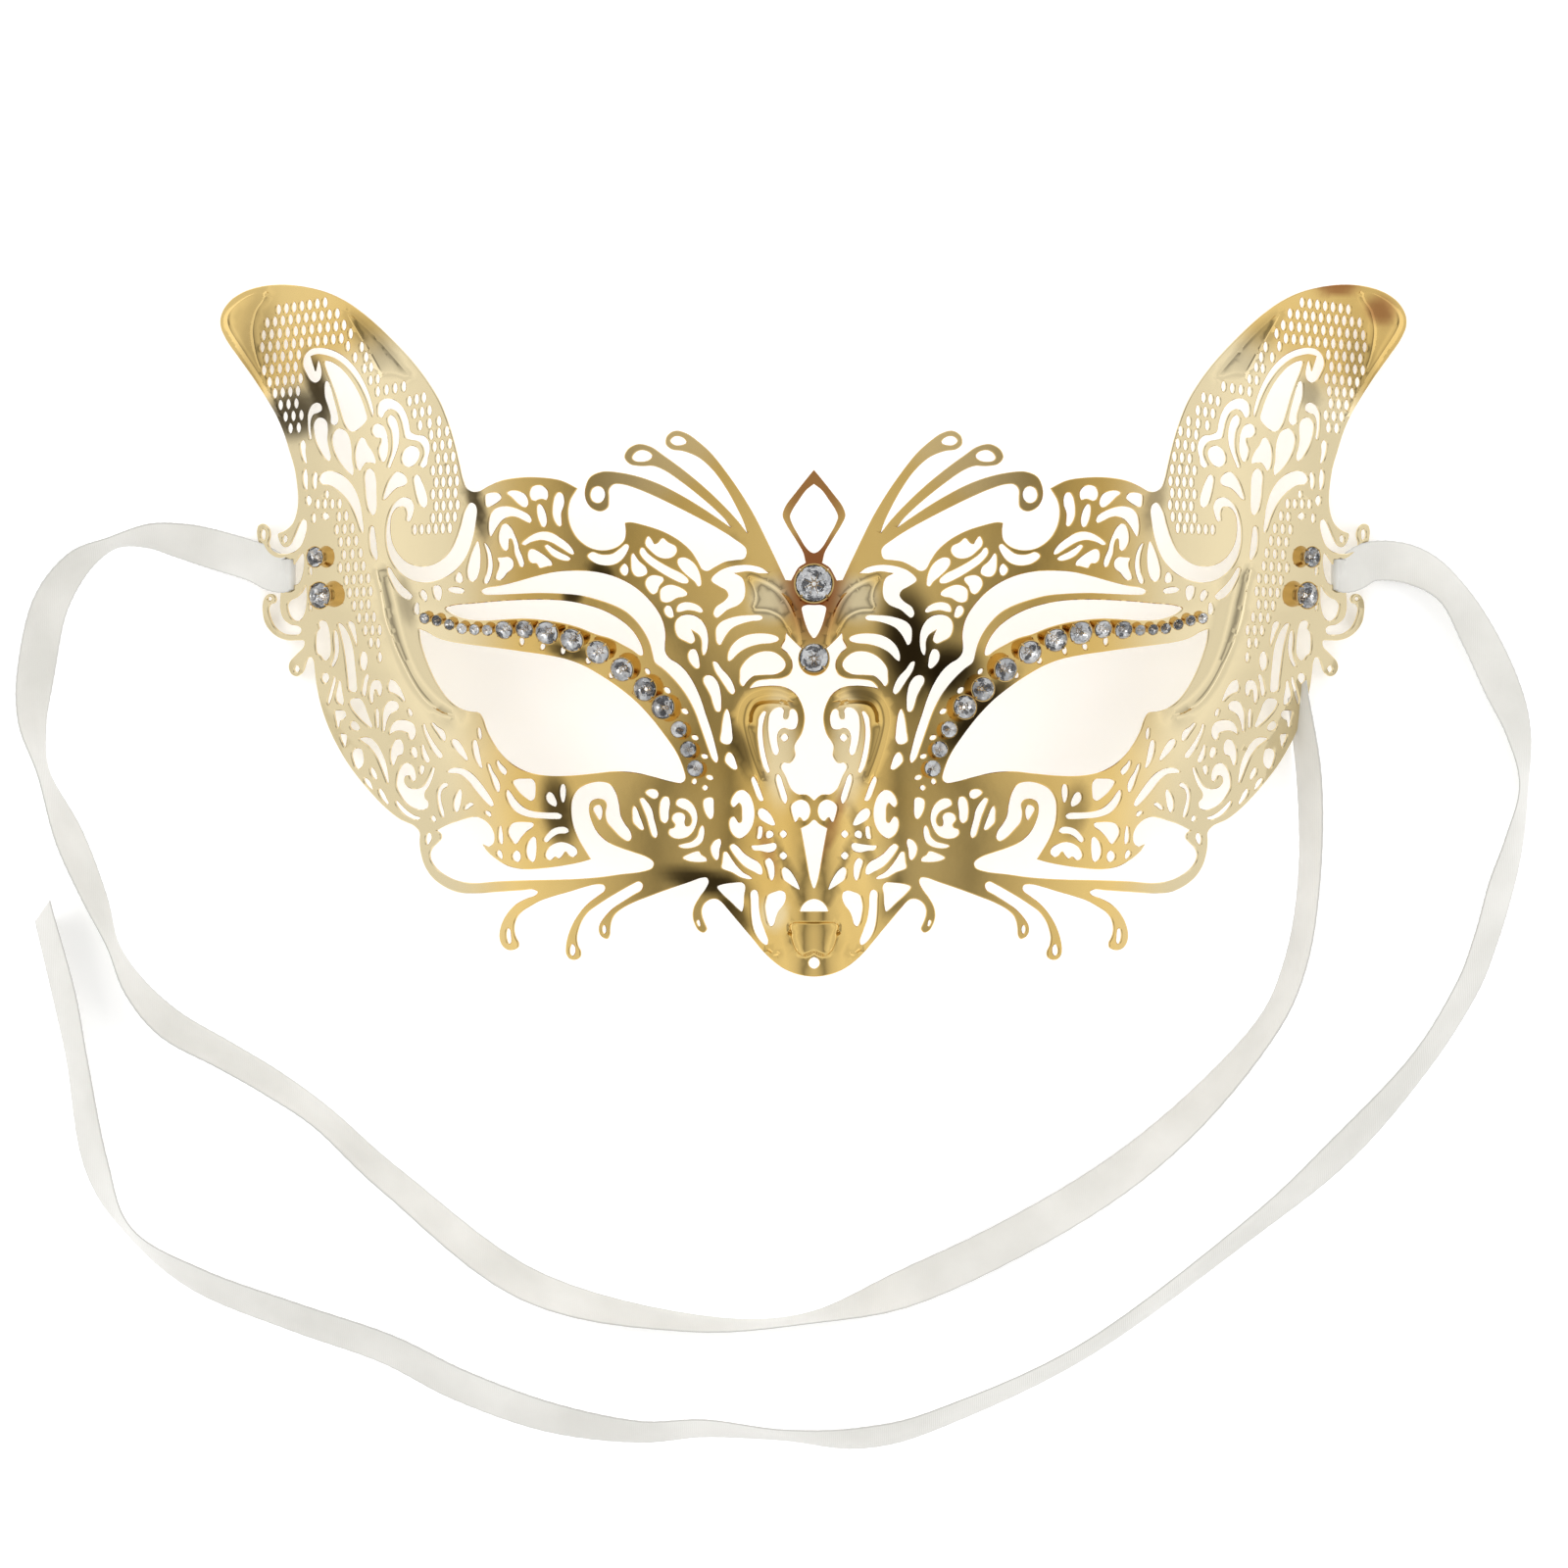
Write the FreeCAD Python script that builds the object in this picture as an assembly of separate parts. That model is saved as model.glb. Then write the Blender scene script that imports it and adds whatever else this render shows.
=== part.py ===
import FreeCAD, Part
import math
import os

# Venetian cat mask: one pressed and pierced metal sheet, forty foiled crystals in soldered
# claw cups, and two satin ribbons through the temple slots. Units are mm, +Z is away from the
# wearer's face, +Y is towards the ears. X = 0 is the middle line.

SHEET = 0.8            # thickness of the sheet
WRAP_RISE = 36.0       # how far the middle stands above the temples
NOSE_RISE = 6.0        # extra height of the nose ridge
SOCKET_DEPTH = 4.0     # dish around the eyes
LIFT = 1.0             # puts the lowest edge of the sheet on the ground
CENTRE_Y = 0.8         # puts the origin under the middle of the mask
RIBBON_WIDTH = 7.2
RIBBON_THICK = 0.3

# half width of the mask at which the sheet comes down to the ground, as (y, half width)
SPAN = [(-70, 80), (-36, 84), (-22, 86), (-8, 94), (3, 98.6), (17, 99.5), (30, 100),
        (45, 103.5), (55, 106.2), (62, 107), (75, 108)]

# ---------------------------------------------------------------- outlines of the lace, plan view
# Every outline is drawn for one half of the mask: x is the distance from the middle line and y
# runs towards the ears, in mm. A point is (x, y), or (x, y, 1) where the outline has a corner.

RIM = [
    (0, 26.7, 1), (1.4, 25.0), (3.3, 22.6), (5.0, 20.3), (5.5, 18.7), (4.9, 17.2), (3.1, 14.3),
    (1.9, 12.2), (1.45, 10.4, 1), (2.7, 9.6), (3.5, 8.3), (4.0, 7.3, 1), (5.0, 7.4, 1), (6.2, 10.0, 1),
    # third feeler
    (8.3, 14.4), (10.4, 18.6), (12.8, 22.6), (15.3, 26.2), (18.0, 29.6), (20.3, 31.7), (22.3, 33.1),
    (24.3, 33.6), (25.8, 32.7), (26.0, 31.2), (24.9, 30.3), (23.0, 30.0), (20.3, 28.9), (17.7, 26.6),
    (15.4, 23.4), (13.4, 19.8), (12.2, 17.2), (11.7, 15.6, 1),
    # second feeler
    (13.4, 17.8), (16.4, 21.0), (19.6, 24.0), (23.0, 26.8), (26.4, 29.3), (28.6, 30.8), (30.8, 31.3),
    (32.6, 30.5), (33.3, 29.0), (32.4, 27.8), (30.4, 27.4), (28.2, 27.4), (26.2, 26.6), (23.4, 24.7),
    (20.3, 22.3), (17.4, 19.8), (15.6, 18.0), (14.6, 16.6, 1),
    # first feeler
    (17.0, 18.3), (20.0, 20.3), (23.5, 22.4), (27.0, 24.2), (30.5, 25.5), (34.0, 26.3), (37.2, 26.5),
    (39.3, 25.6), (40.2, 23.6), (40.1, 21.6), (39.0, 20.0), (37.4, 19.5), (36.2, 20.2), (36.0, 21.8),
    (36.0, 23.3), (35.2, 24.2), (33.6, 24.2), (31.0, 23.4), (27.5, 21.9), (24.0, 20.2), (20.5, 18.4),
    (17.0, 16.5), (14.0, 14.6), (11.9, 12.8), (12.2, 11.2), (13.8, 10.9), (15.6, 10.6), (17.4, 9.7),
    (18.7, 9.0), (19.6, 9.3),
    # inner crest
    (20.4, 10.7), (21.6, 12.5), (23.6, 14.3), (26.4, 15.9), (29.6, 17.0), (32.2, 17.6), (33.2, 17.5, 1),
    (33.05, 15.8), (33.3, 14.5), (34.4, 13.4), (36.2, 12.75), (38.2, 12.8), (40.0, 13.5), (41.8, 15.1),
    (42.9, 17.2), (43.25, 19.4), (42.9, 21.4), (41.6, 23.6, 1),
    # outer crest
    (44.5, 25.0), (48.0, 25.55), (51.5, 25.6), (55.0, 25.1), (57.4, 24.1), (59.0, 23.25), (60.3, 23.2),
    # ear
    (61.4, 23.9), (62.0, 25.4), (62.6, 28.0), (63.4, 31.4), (64.4, 34.8), (66.0, 38.9), (68.2, 42.6),
    (71.2, 46.5), (75.0, 50.5), (79.0, 54.2), (82.6, 56.9), (86.4, 58.8), (90.4, 59.9), (94.4, 60.4),
    (98.2, 60.2), (101.6, 59.3), (104.2, 57.7), (105.7, 55.5), (105.9, 53.4), (104.9, 51.0),
    (102.6, 47.7), (100.0, 44.1), (97.7, 40.6), (95.8, 37.4), (94.4, 34.2), (93.4, 31.0), (92.5, 28.0),
    (92.0, 25.0), (91.8, 22.2), (92.1, 19.8), (92.9, 17.9), (94.2, 16.8),
    # side curls above the ribbon slot
    (95.5, 16.2), (95.3, 15.1), (94.8, 14.2), (94.1, 13.8), (93.4, 14.2), (92.6, 15.6), (91.8, 17.4),
    (91.1, 18.6), (90.4, 18.6), (90.2, 17.4), (90.6, 15.6), (91.2, 14.2), (92.2, 13.2), (93.6, 12.7),
    (95.2, 12.7), (96.6, 13.3), (97.3, 14.5), (97.0, 15.8), (97.1, 16.9), (97.6, 17.7), (98.3, 18.1),
    (99.1, 17.8), (99.4, 16.9), (99.3, 15.6), (98.9, 14.3), (98.2, 13.1), (97.2, 12.2), (96.0, 11.6),
    (95.0, 10.9), (94.7, 9.6), (94.9, 8.0), (95.0, 6.4),
    # side curls below the slot
    (95.1, 4.6), (95.1, 2.6), (94.6, 1.1), (93.4, 0.1), (91.9, -0.25), (91.3, -0.8), (91.6, -1.6),
    (93.0, -1.8), (94.8, -1.5), (96.2, -0.4), (97.0, 1.2), (97.3, 3.0), (96.9, 3.7), (96.2, 3.9),
    (95.9, 4.6), (96.2, 5.3), (97.0, 5.6), (97.8, 5.2), (98.3, 4.2), (98.4, 2.4), (98.0, 0.4),
    (96.9, -1.2), (95.4, -2.3), (93.6, -2.8), (92.0, -2.8), (90.8, -2.9), (90.9, -3.9), (92.2, -5.2),
    (93.5, -6.6), (93.7, -7.8), (93.1, -8.9), (92.1, -9.2), (91.2, -8.6), (90.7, -7.3), (90.2, -6.1),
    (89.5, -5.8), (89.1, -6.6), (88.9, -8.4),
    # cheek
    (88.6, -11.0), (88.0, -14.0), (87.1, -16.9), (86.0, -19.6), (84.6, -22.3), (82.9, -25.0),
    (80.9, -27.6), (78.6, -30.2), (76.2, -32.6), (73.6, -34.6), (71.0, -35.8), (70.0, -36.9),
    # long whisker and its curl
    (70.0, -38.6), (69.8, -40.5), (69.1, -42.8), (67.8, -44.8), (65.8, -46.4), (63.2, -47.5),
    (60.0, -47.7), (55.5, -47.4), (51.5, -47.1), (49.5, -46.95), (48.7, -47.4), (49.1, -47.95),
    # second whisker
    (50.6, -48.5), (52.5, -49.5), (54.1, -51.1), (55.2, -53.1), (55.6, -55.2), (55.2, -56.7),
    (54.4, -57.5), (53.3, -57.7), (52.3, -57.2), (52.2, -56.4), (52.7, -55.4), (53.0, -54.2),
    (52.9, -53.0), (52.5, -51.9), (51.6, -50.9), (50.2, -50.0), (48.4, -49.0), (45.8, -48.1),
    (43.0, -47.3), (40.4, -46.5), (38.2, -46.0), (36.9, -46.2), (36.8, -47.0),
    # third whisker
    (38.0, -48.0), (39.6, -49.2), (41.1, -50.8), (42.4, -52.8), (43.3, -55.0), (43.7, -57.0),
    (43.6, -58.4), (42.9, -59.2), (42.0, -59.3), (41.2, -58.8), (41.1, -57.8), (41.6, -56.8),
    (41.8, -55.4), (41.5, -53.9), (40.9, -52.4), (39.8, -50.9), (38.2, -49.7), (36.2, -48.4),
    (34.0, -47.1), (32.0, -46.0), (30.8, -45.5), (30.1, -46.0), (30.3, -46.9), (31.6, -47.7),
    # fourth whisker
    (33.5, -48.9), (35.4, -50.2), (37.0, -51.9), (37.8, -53.3), (37.8, -54.5), (37.2, -55.3),
    (36.4, -55.6), (36.0, -55.0), (35.9, -53.8), (35.7, -52.6), (35.2, -51.5), (34.0, -50.4),
    (31.8, -49.2), (29.0, -48.1), (25.5, -46.8), (22.0, -45.6), (19.7, -44.8), (18.8, -44.8),
    (18.5, -45.5), (19.1, -46.8),
    # fifth whisker and chin
    (20.2, -48.3), (21.1, -50.0), (21.3, -51.6), (20.9, -53.0), (20.2, -54.1), (19.3, -54.4),
    (18.8, -53.8), (19.2, -52.7), (19.6, -51.6), (19.7, -50.4), (19.2, -49.3), (18.2, -48.6),
    (17.2, -48.5), (16.3, -49.0), (15.3, -50.1), (13.8, -51.9), (12.1, -53.9), (10.6, -55.7),
    (9.2, -57.4), (7.6, -59.0), (5.6, -60.5), (3.0, -61.6), (0, -62.0),
]

EYE = [
    (69.9, -0.9, 1), (68.4, -1.5), (66.6, -2.55), (64.0, -3.3), (60.0, -3.9), (55.5, -4.45),
    (51.0, -5.1), (47.0, -5.7), (43.5, -6.45), (40.5, -7.6), (37.5, -9.3), (34.5, -11.3),
    (31.5, -13.7), (28.8, -16.5), (26.3, -19.7), (24.2, -22.8), (23.0, -25.5), (22.6, -27.4),
    (23.2, -28.1), (25.0, -27.9), (28.0, -27.1), (31.5, -26.3), (35.0, -26.1), (39.0, -26.5),
    (43.0, -26.85), (47.0, -26.85), (50.5, -26.2), (53.5, -24.6), (56.0, -22.1), (57.7, -19.2),
    (58.6, -16.7), (59.3, -15.75), (61.0, -15.5), (62.8, -14.9), (64.8, -13.4), (66.8, -10.6),
    (68.5, -6.9), (69.6, -3.4),
]

# openings that lie across the middle line: the half from the upper crossing to the lower one
MIDDLE = {
    "diamond": [(0, 24.2, 1), (1.3, 23.2), (2.7, 21.3), (3.8, 19.6), (4.2, 18.5), (3.8, 17.2),
                (2.7, 15.2), (1.5, 13.2), (0.6, 12.3), (0, 12.1)],
    "vee": [(0, 3.0), (1.3, 3.0), (2.1, 2.6), (1.9, 1.2), (1.3, -0.8), (0.6, -2.2), (0, -2.8)],
    "bridge": [(0, -9.4), (1.6, -8.9), (2.6, -7.6), (2.75, -6.0), (2.2, -4.6, 1), (3.2, -3.7),
               (4.2, -2.7), (4.9, -1.9, 1), (5.1, -3.2), (5.7, -4.4), (4.8, -5.2), (3.95, -6.5),
               (3.8, -8.0), (4.4, -9.2), (5.8, -9.85), (8.0, -10.0), (10.2, -10.4), (11.4, -11.6, 1),
               (9.6, -11.25), (7.2, -11.1), (5.0, -11.4), (3.2, -12.6), (2.0, -14.8), (1.65, -17.0),
               (2.2, -19.4), (3.5, -21.6), (3.4, -23.4), (4.4, -24.7), (5.4, -24.6), (5.9, -25.3),
               (5.1, -27.0), (4.1, -29.2), (2.9, -30.1), (1.3, -30.2), (0, -31.2, 1)],
    "wedge": [(0, -34.6), (1.0, -35.4), (2.4, -36.1, 1), (1.9, -38.6), (1.25, -42.0),
              (0.6, -45.2), (0, -46.6)],
    "moon": [(0, -48.45), (1.2, -48.8), (2.2, -49.7), (2.6, -50.6, 1), (1.2, -50.6), (0, -50.6)],
}

HOLES = {
    # forehead and feelers
    "arch": [(18.0, 7.4), (16.8, 8.8), (14.5, 9.75), (11.5, 10.0), (9.2, 9.5), (8.0, 8.6, 1), (9.6, 8.6),
             (11.4, 8.95), (14.1, 8.6, 1), (12.6, 7.7), (12.1, 6.0), (12.3, 4.2), (13.2, 3.1),
             (15.2, 2.2), (17.1, 0.8), (17.6, 1.4), (17.2, 2.6), (15.7, 3.7), (15.0, 4.7),
             (15.4, 5.6), (16.6, 6.3)],
    "feeler_a": [(39.3, 22.4), (38.9, 23.5), (37.9, 23.9), (37.0, 23.4), (36.7, 22.4), (37.1, 21.4),
                 (38.0, 21.0), (38.9, 21.4)],
    "feeler_b": [(31.9, 28.9), (31.2, 29.9), (30.1, 30.2), (28.9, 29.8), (28.4, 29.1), (29.2, 28.4),
                 (30.5, 28.2), (31.5, 28.4)],
    "feeler_c": [(25.2, 31.8), (24.6, 32.5), (23.7, 32.6), (22.8, 32.2), (22.4, 31.5), (23.2, 31.1),
                 (24.4, 31.1)],
    # inner crest
    "crest_moon": [(39.8, 11.7), (39.0, 12.35), (37.4, 11.9), (35.5, 12.0), (34.0, 13.0), (33.0, 13.75),
                   (32.5, 13.4), (32.8, 12.4), (33.8, 11.0), (35.2, 10.2), (36.8, 10.05), (38.5, 10.5)],
    "crest_bat": [(29.6, 14.2), (29.1, 15.1), (28.5, 14.5), (28.0, 13.7), (27.4, 13.9), (26.6, 14.75),
                  (25.6, 14.0), (24.3, 13.3), (24.1, 12.4), (24.8, 11.5), (26.0, 11.2), (27.4, 11.55),
                  (28.8, 12.7), (29.5, 13.5)],
    "crest_channel": [(30.6, 12.3), (30.3, 13.1), (29.8, 12.9), (29.2, 12.1), (27.5, 10.8), (25.0, 9.4),
                      (23.2, 8.5), (22.1, 7.5), (22.1, 6.95), (23.0, 6.85), (25.0, 7.7), (27.5, 9.2),
                      (29.6, 10.8)],
    "crest_drop_a": [(32.0, 11.9), (31.7, 12.1), (31.2, 11.4), (30.6, 10.6), (29.5, 9.6), (29.3, 8.7),
                     (30.0, 8.15), (31.2, 8.1), (31.9, 8.9), (32.1, 10.2)],
    "crest_drop_b": [(33.2, 10.3), (34.1, 9.3), (33.8, 8.6), (33.2, 8.2), (32.7, 8.6), (32.6, 9.5)],
    "crest_drop_c": [(23.8, 11.1), (22.8, 11.35), (21.6, 10.8), (20.6, 9.7), (19.95, 8.0), (19.85, 6.5),
                     (20.3, 6.3), (20.9, 7.1), (22.2, 8.2), (23.3, 9.3), (23.9, 10.3)],
    "crest_kidney": [(29.6, 6.7), (29.3, 7.7), (28.5, 8.2), (27.6, 8.2), (26.4, 7.7), (26.5, 7.2),
                     (27.1, 6.5), (27.6, 5.3), (28.2, 4.95), (28.9, 5.4)],
    "crest_bean": [(26.9, 5.7), (26.2, 6.3), (25.1, 6.55), (23.8, 6.2), (22.6, 5.5), (22.2, 4.9),
                   (22.8, 4.55), (24.1, 4.3), (25.1, 3.7), (26.0, 3.5), (26.8, 3.8), (27.0, 4.7)],
    "crest_bead": [(26.3, 2.2), (25.8, 2.9), (25.2, 2.8), (24.75, 1.9), (24.7, 1.0), (25.2, 0.8),
                   (26.0, 1.3)],
    "crest_lid": [(24.1, 2.3), (23.7, 3.1), (22.5, 3.5), (21.0, 3.25), (19.9, 2.6), (19.5, 1.9),
                  (19.9, 1.7), (20.9, 2.0), (22.2, 2.15), (23.3, 1.9), (24.0, 1.85)],
    "hook": [(24.4, -1.0), (24.15, 0.3), (23.2, 1.1), (22.0, 1.3), (20.7, 1.0), (19.6, 0.1), (18.8, -1.5),
             (18.6, -3.4), (18.9, -5.2), (19.4, -5.8), (19.65, -5.0), (19.7, -3.3), (20.2, -2.2),
             (21.6, -1.25, 1), (21.05, -2.4), (20.95, -3.2), (21.5, -3.7), (22.6, -3.3), (23.9, -2.5)],
    "hook_drop": [(22.1, -5.6), (21.6, -4.8), (20.9, -4.75), (20.4, -5.6), (20.15, -6.8), (20.15, -7.9),
                  (20.6, -8.1), (21.4, -7.5), (22.0, -6.6)],
    # swirl beside the nose bridge
    "slit_a": [(17.7, -6.9), (17.1, -7.0), (16.2, -8.2), (15.0, -9.5), (14.2, -10.9), (13.9, -12.2),
               (14.3, -12.6), (14.9, -12.2), (15.6, -11.2), (16.4, -10.0), (17.4, -8.4)],
    "slit_b": [(19.4, -9.8), (18.8, -9.3), (17.8, -9.5), (16.9, -10.6), (16.45, -12.2), (16.3, -14.0),
               (16.5, -15.6), (17.1, -15.6), (17.7, -14.4), (18.1, -13.0), (18.8, -11.6), (19.4, -10.5)],
    "slit_c": [(15.3, -15.2), (14.9, -15.9), (14.6, -17.4), (14.4, -19.2), (14.35, -20.6), (14.8, -21.3),
               (15.7, -21.3), (16.4, -20.8), (16.25, -19.0), (16.0, -17.0), (15.7, -15.8)],
    "slit_d": [(15.0, -22.8), (14.3, -23.2), (13.7, -24.6), (13.5, -25.7), (14.0, -25.8), (15.0, -25.1),
               (15.6, -24.3), (15.5, -23.4)],
    "swirl_a": [(17.2, -2.4), (17.1, -1.0), (16.3, 0.0), (15.0, 0.6), (13.2, 1.05), (11.0, 1.2),
                (9.4, 1.15), (9.0, 0.75), (9.4, 0.4), (11.0, 0.2), (12.6, -0.2), (14.2, -0.9),
                (15.3, -2.0), (16.0, -3.2), (16.5, -4.0), (17.0, -3.6)],
    "swirl_b": [(15.1, -5.8), (14.6, -4.4), (13.4, -3.1), (11.8, -2.3), (9.8, -2.0), (7.6, -2.15),
                (6.3, -2.7), (6.3, -3.2), (7.4, -3.6), (9.5, -3.8), (11.5, -4.35), (13.2, -5.3),
                (14.4, -6.5), (15.0, -6.8)],
    "swirl_c": [(13.0, -9.5), (12.9, -8.2), (12.0, -6.8), (10.6, -5.7), (8.9, -5.15), (7.0, -5.3),
                (5.6, -6.3), (5.0, -7.4), (5.5, -8.4), (6.8, -9.1), (8.8, -9.2), (10.6, -9.4),
                (11.7, -10.3), (12.5, -11.2), (13.0, -10.6)],
    "nose_slot": [(9.9, -18.0), (9.7, -16.6), (8.9, -15.6), (8.45, -15.7), (8.75, -16.8), (9.05, -18.4),
                  (9.0, -20.5), (8.65, -22.8), (8.1, -25.0), (7.8, -26.2), (8.2, -26.4), (8.9, -25.5),
                  (9.5, -23.5), (9.9, -21.0), (10.0, -19.5)],
    "nose_swirl": [(8.1, -17.6), (7.8, -16.0), (6.95, -15.1), (5.9, -14.9), (5.35, -15.4), (5.45, -16.4),
                   (5.3, -17.0), (4.8, -17.0), (4.45, -16.3), (4.3, -15.4), (3.7, -15.2), (3.05, -15.9),
                   (2.85, -17.3), (3.3, -18.6), (4.2, -18.8), (5.1, -18.5), (6.0, -18.8), (6.5, -19.8),
                   (6.45, -21.2), (6.2, -22.6), (6.6, -23.3), (7.2, -23.0), (7.7, -21.6), (8.05, -19.6)],
    "nose_ring": [(5.95, -20.2), (5.25, -19.5), (4.55, -20.2), (5.25, -20.9)],
    "nose_side": [(6.8, -27.4), (6.5, -26.6), (6.0, -26.9), (5.5, -28.3), (5.0, -29.8), (4.75, -31.0),
                  (5.1, -31.8), (5.7, -31.2), (6.3, -29.5)],
    "nose_lobe": [(4.15, -32.2), (3.4, -31.4), (2.2, -31.1), (1.1, -31.7), (0.7, -33.0), (1.1, -34.3),
                  (1.9, -34.8), (2.3, -34.3), (2.7, -34.1), (3.0, -34.7), (3.4, -35.0), (3.85, -34.0)],
    # nose side and muzzle
    "cheek_arch": [(14.6, -31.8), (14.3, -30.6), (13.4, -29.6), (12.4, -29.45), (11.5, -30.1),
                   (10.75, -31.7), (10.5, -33.6), (10.85, -35.6), (11.8, -37.1), (13.0, -37.85),
                   (13.9, -37.5), (14.6, -36.6), (14.9, -35.2), (14.6, -34.3), (14.1, -34.1),
                   (13.7, -34.5), (13.2, -35.2), (12.8, -35.0), (12.7, -33.5), (12.8, -32.1),
                   (13.15, -31.6), (13.6, -32.0), (14.1, -32.4)],
    "muzzle_a": [(11.1, -27.4), (10.7, -27.0), (10.2, -27.7), (9.6, -29.1), (9.1, -30.5), (8.9, -31.2),
                 (9.5, -31.3), (10.1, -30.6), (10.6, -29.3)],
    "muzzle_b": [(10.0, -33.5), (9.8, -32.8), (9.2, -32.6), (8.2, -33.1), (7.3, -34.3), (6.9, -35.5),
                 (7.4, -35.6), (8.6, -35.1), (9.6, -34.4)],
    "muzzle_c": [(9.8, -35.8), (9.2, -35.8), (9.1, -37.0), (9.4, -37.9), (10.1, -37.9), (10.0, -36.9)],
    "muzzle_d": [(8.6, -37.3), (8.4, -36.7), (7.7, -36.5), (7.2, -36.9), (7.2, -37.4), (7.8, -37.8),
                 (8.4, -37.8)],
    "muzzle_e": [(6.2, -37.1), (5.5, -36.4), (4.8, -37.1), (5.5, -37.8)],
    "muzzle_f": [(6.25, -40.9), (5.5, -40.2), (4.75, -40.9), (5.5, -41.6)],
    "muzzle_g": [(11.1, -39.2), (10.0, -39.1), (8.5, -38.9), (6.9, -38.7), (6.6, -39.2), (6.9, -39.9),
                 (8.0, -40.3), (9.6, -40.0), (10.7, -39.9)],
    "muzzle_h": [(14.8, -39.3), (14.2, -38.85), (13.5, -39.2), (12.3, -40.5), (11.0, -41.4),
                 (9.9, -42.0), (9.2, -43.0), (9.15, -44.1), (9.6, -44.2), (10.6, -43.7), (12.2, -42.8),
                 (13.3, -41.7), (14.4, -40.2)],
    "muzzle_i": [(16.0, -41.2), (15.8, -40.3), (15.3, -40.3), (14.6, -41.3), (13.6, -42.7),
                 (12.4, -43.9), (11.3, -44.5), (10.9, -44.9), (11.3, -45.0), (12.8, -44.7),
                 (14.4, -43.8), (16.2, -43.0), (16.1, -42.2)],
    "muzzle_j": [(8.7, -41.8), (7.9, -41.3), (7.3, -41.9), (7.0, -43.2), (7.1, -44.7), (7.5, -45.3),
                 (7.9, -44.9), (8.3, -43.4)],
    "muzzle_k": [(5.8, -43.3), (5.3, -42.9), (4.4, -43.4), (3.5, -44.6), (2.8, -46.0), (2.6, -46.8),
                 (3.3, -46.5), (4.6, -45.7), (5.5, -45.0)],
    "muzzle_l": [(17.0, -46.4), (16.2, -46.0), (14.4, -45.7), (12.5, -45.7), (12.1, -46.4),
                 (12.3, -47.8), (12.4, -49.8), (12.7, -50.7), (13.4, -50.2), (14.6, -49.0),
                 (16.1, -47.6)],
    "muzzle_m": [(11.2, -47.3), (10.7, -46.9), (10.1, -47.0), (9.8, -47.9), (9.7, -50.0), (9.4, -52.0),
                 (8.7, -54.0), (8.1, -55.8), (8.3, -56.5), (9.0, -56.3), (9.9, -55.4), (10.7, -53.8),
                 (11.1, -51.5), (11.2, -49.0)],
    "muzzle_n": [(8.5, -48.6), (8.2, -47.8), (7.2, -47.3), (5.9, -47.0), (5.2, -47.3), (5.0, -48.2),
                 (5.4, -49.4), (6.3, -50.6), (6.8, -51.8), (7.1, -52.9), (7.7, -53.3), (8.2, -52.6),
                 (8.5, -51.4), (8.7, -49.8)],
    "muzzle_o": [(18.2, -30.7), (19.3, -31.1), (19.4, -32.2), (18.9, -33.7), (18.15, -34.5),
                 (17.7, -34.0), (17.6, -32.2), (17.7, -31.0)],
    "muzzle_p": [(19.6, -29.0), (19.1, -28.5), (18.6, -29.0), (19.1, -29.5)],
    "rose": [(24.2, -31.9), (23.9, -31.1), (22.8, -30.9), (21.5, -31.7), (20.7, -33.0), (20.5, -34.6),
             (21.0, -36.2), (22.0, -37.4), (23.4, -37.9), (24.8, -37.7), (25.5, -37.0), (25.3, -36.3),
             (24.6, -36.1), (24.3, -35.5), (24.9, -34.6), (24.7, -33.8), (24.0, -33.4), (23.1, -33.5),
             (22.6, -34.1), (22.75, -35.1), (22.5, -35.8), (21.8, -35.7), (21.4, -34.8), (21.6, -33.9),
             (22.2, -33.1), (23.2, -32.6)],
    "rose_leaf": [(23.8, -39.2), (22.8, -38.85), (21.5, -38.5), (20.5, -37.6), (20.05, -36.2),
                  (19.6, -35.6), (19.3, -36.1), (19.3, -37.3), (19.7, -38.5), (20.8, -39.3),
                  (22.4, -39.6), (23.3, -39.5)],
    "cheek_a": [(23.0, -41.3), (21.8, -40.6), (20.2, -40.2), (19.8, -40.8), (19.0, -41.3), (18.8, -41.8),
                (19.8, -42.0), (21.6, -41.9), (22.6, -41.6)],
    "cheek_b": [(18.1, -39.4), (17.4, -38.3), (16.5, -38.0), (16.3, -38.6), (16.6, -39.9), (16.75, -41.3),
                (17.1, -41.7), (17.7, -41.1), (18.0, -40.4)],
    "cheek_c": [(26.9, -31.3), (26.3, -30.6), (25.6, -30.7), (25.3, -31.6), (25.5, -33.2),
                (25.6, -34.6), (26.1, -35.2), (26.8, -34.8), (27.1, -33.6), (27.1, -32.4)],
    "cheek_d": [(29.6, -29.8), (28.9, -29.3), (27.8, -29.4), (27.3, -30.0), (27.5, -30.7), (28.1, -30.9),
                (28.8, -30.6)],
    "cheek_e": [(30.6, -31.0), (30.1, -30.8), (29.4, -31.4), (28.5, -32.8), (28.1, -34.5),
                (27.5, -37.2), (27.8, -37.8), (28.4, -37.4), (28.9, -36.0), (29.4, -34.2),
                (30.2, -32.2)],
    "cheek_f": [(31.9, -32.7), (31.6, -32.2), (31.2, -32.6), (30.6, -34.1), (30.1, -35.4),
                (29.9, -36.3), (30.3, -36.4), (31.2, -35.7), (31.8, -35.0), (31.9, -33.9)],
    "swan_eye": [(38.9, -32.7), (38.3, -32.1), (37.6, -32.1), (37.25, -32.8), (37.3, -34.0),
                 (37.6, -34.7), (37.9, -34.5), (38.5, -33.6)],
    # the wide opening above the long whisker, with the swan neck
    "swan": [(66.9, -36.6, 1), (65.2, -35.7), (63.2, -35.0), (61.2, -34.4), (59.6, -34.2), (58.2, -34.8),
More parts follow.
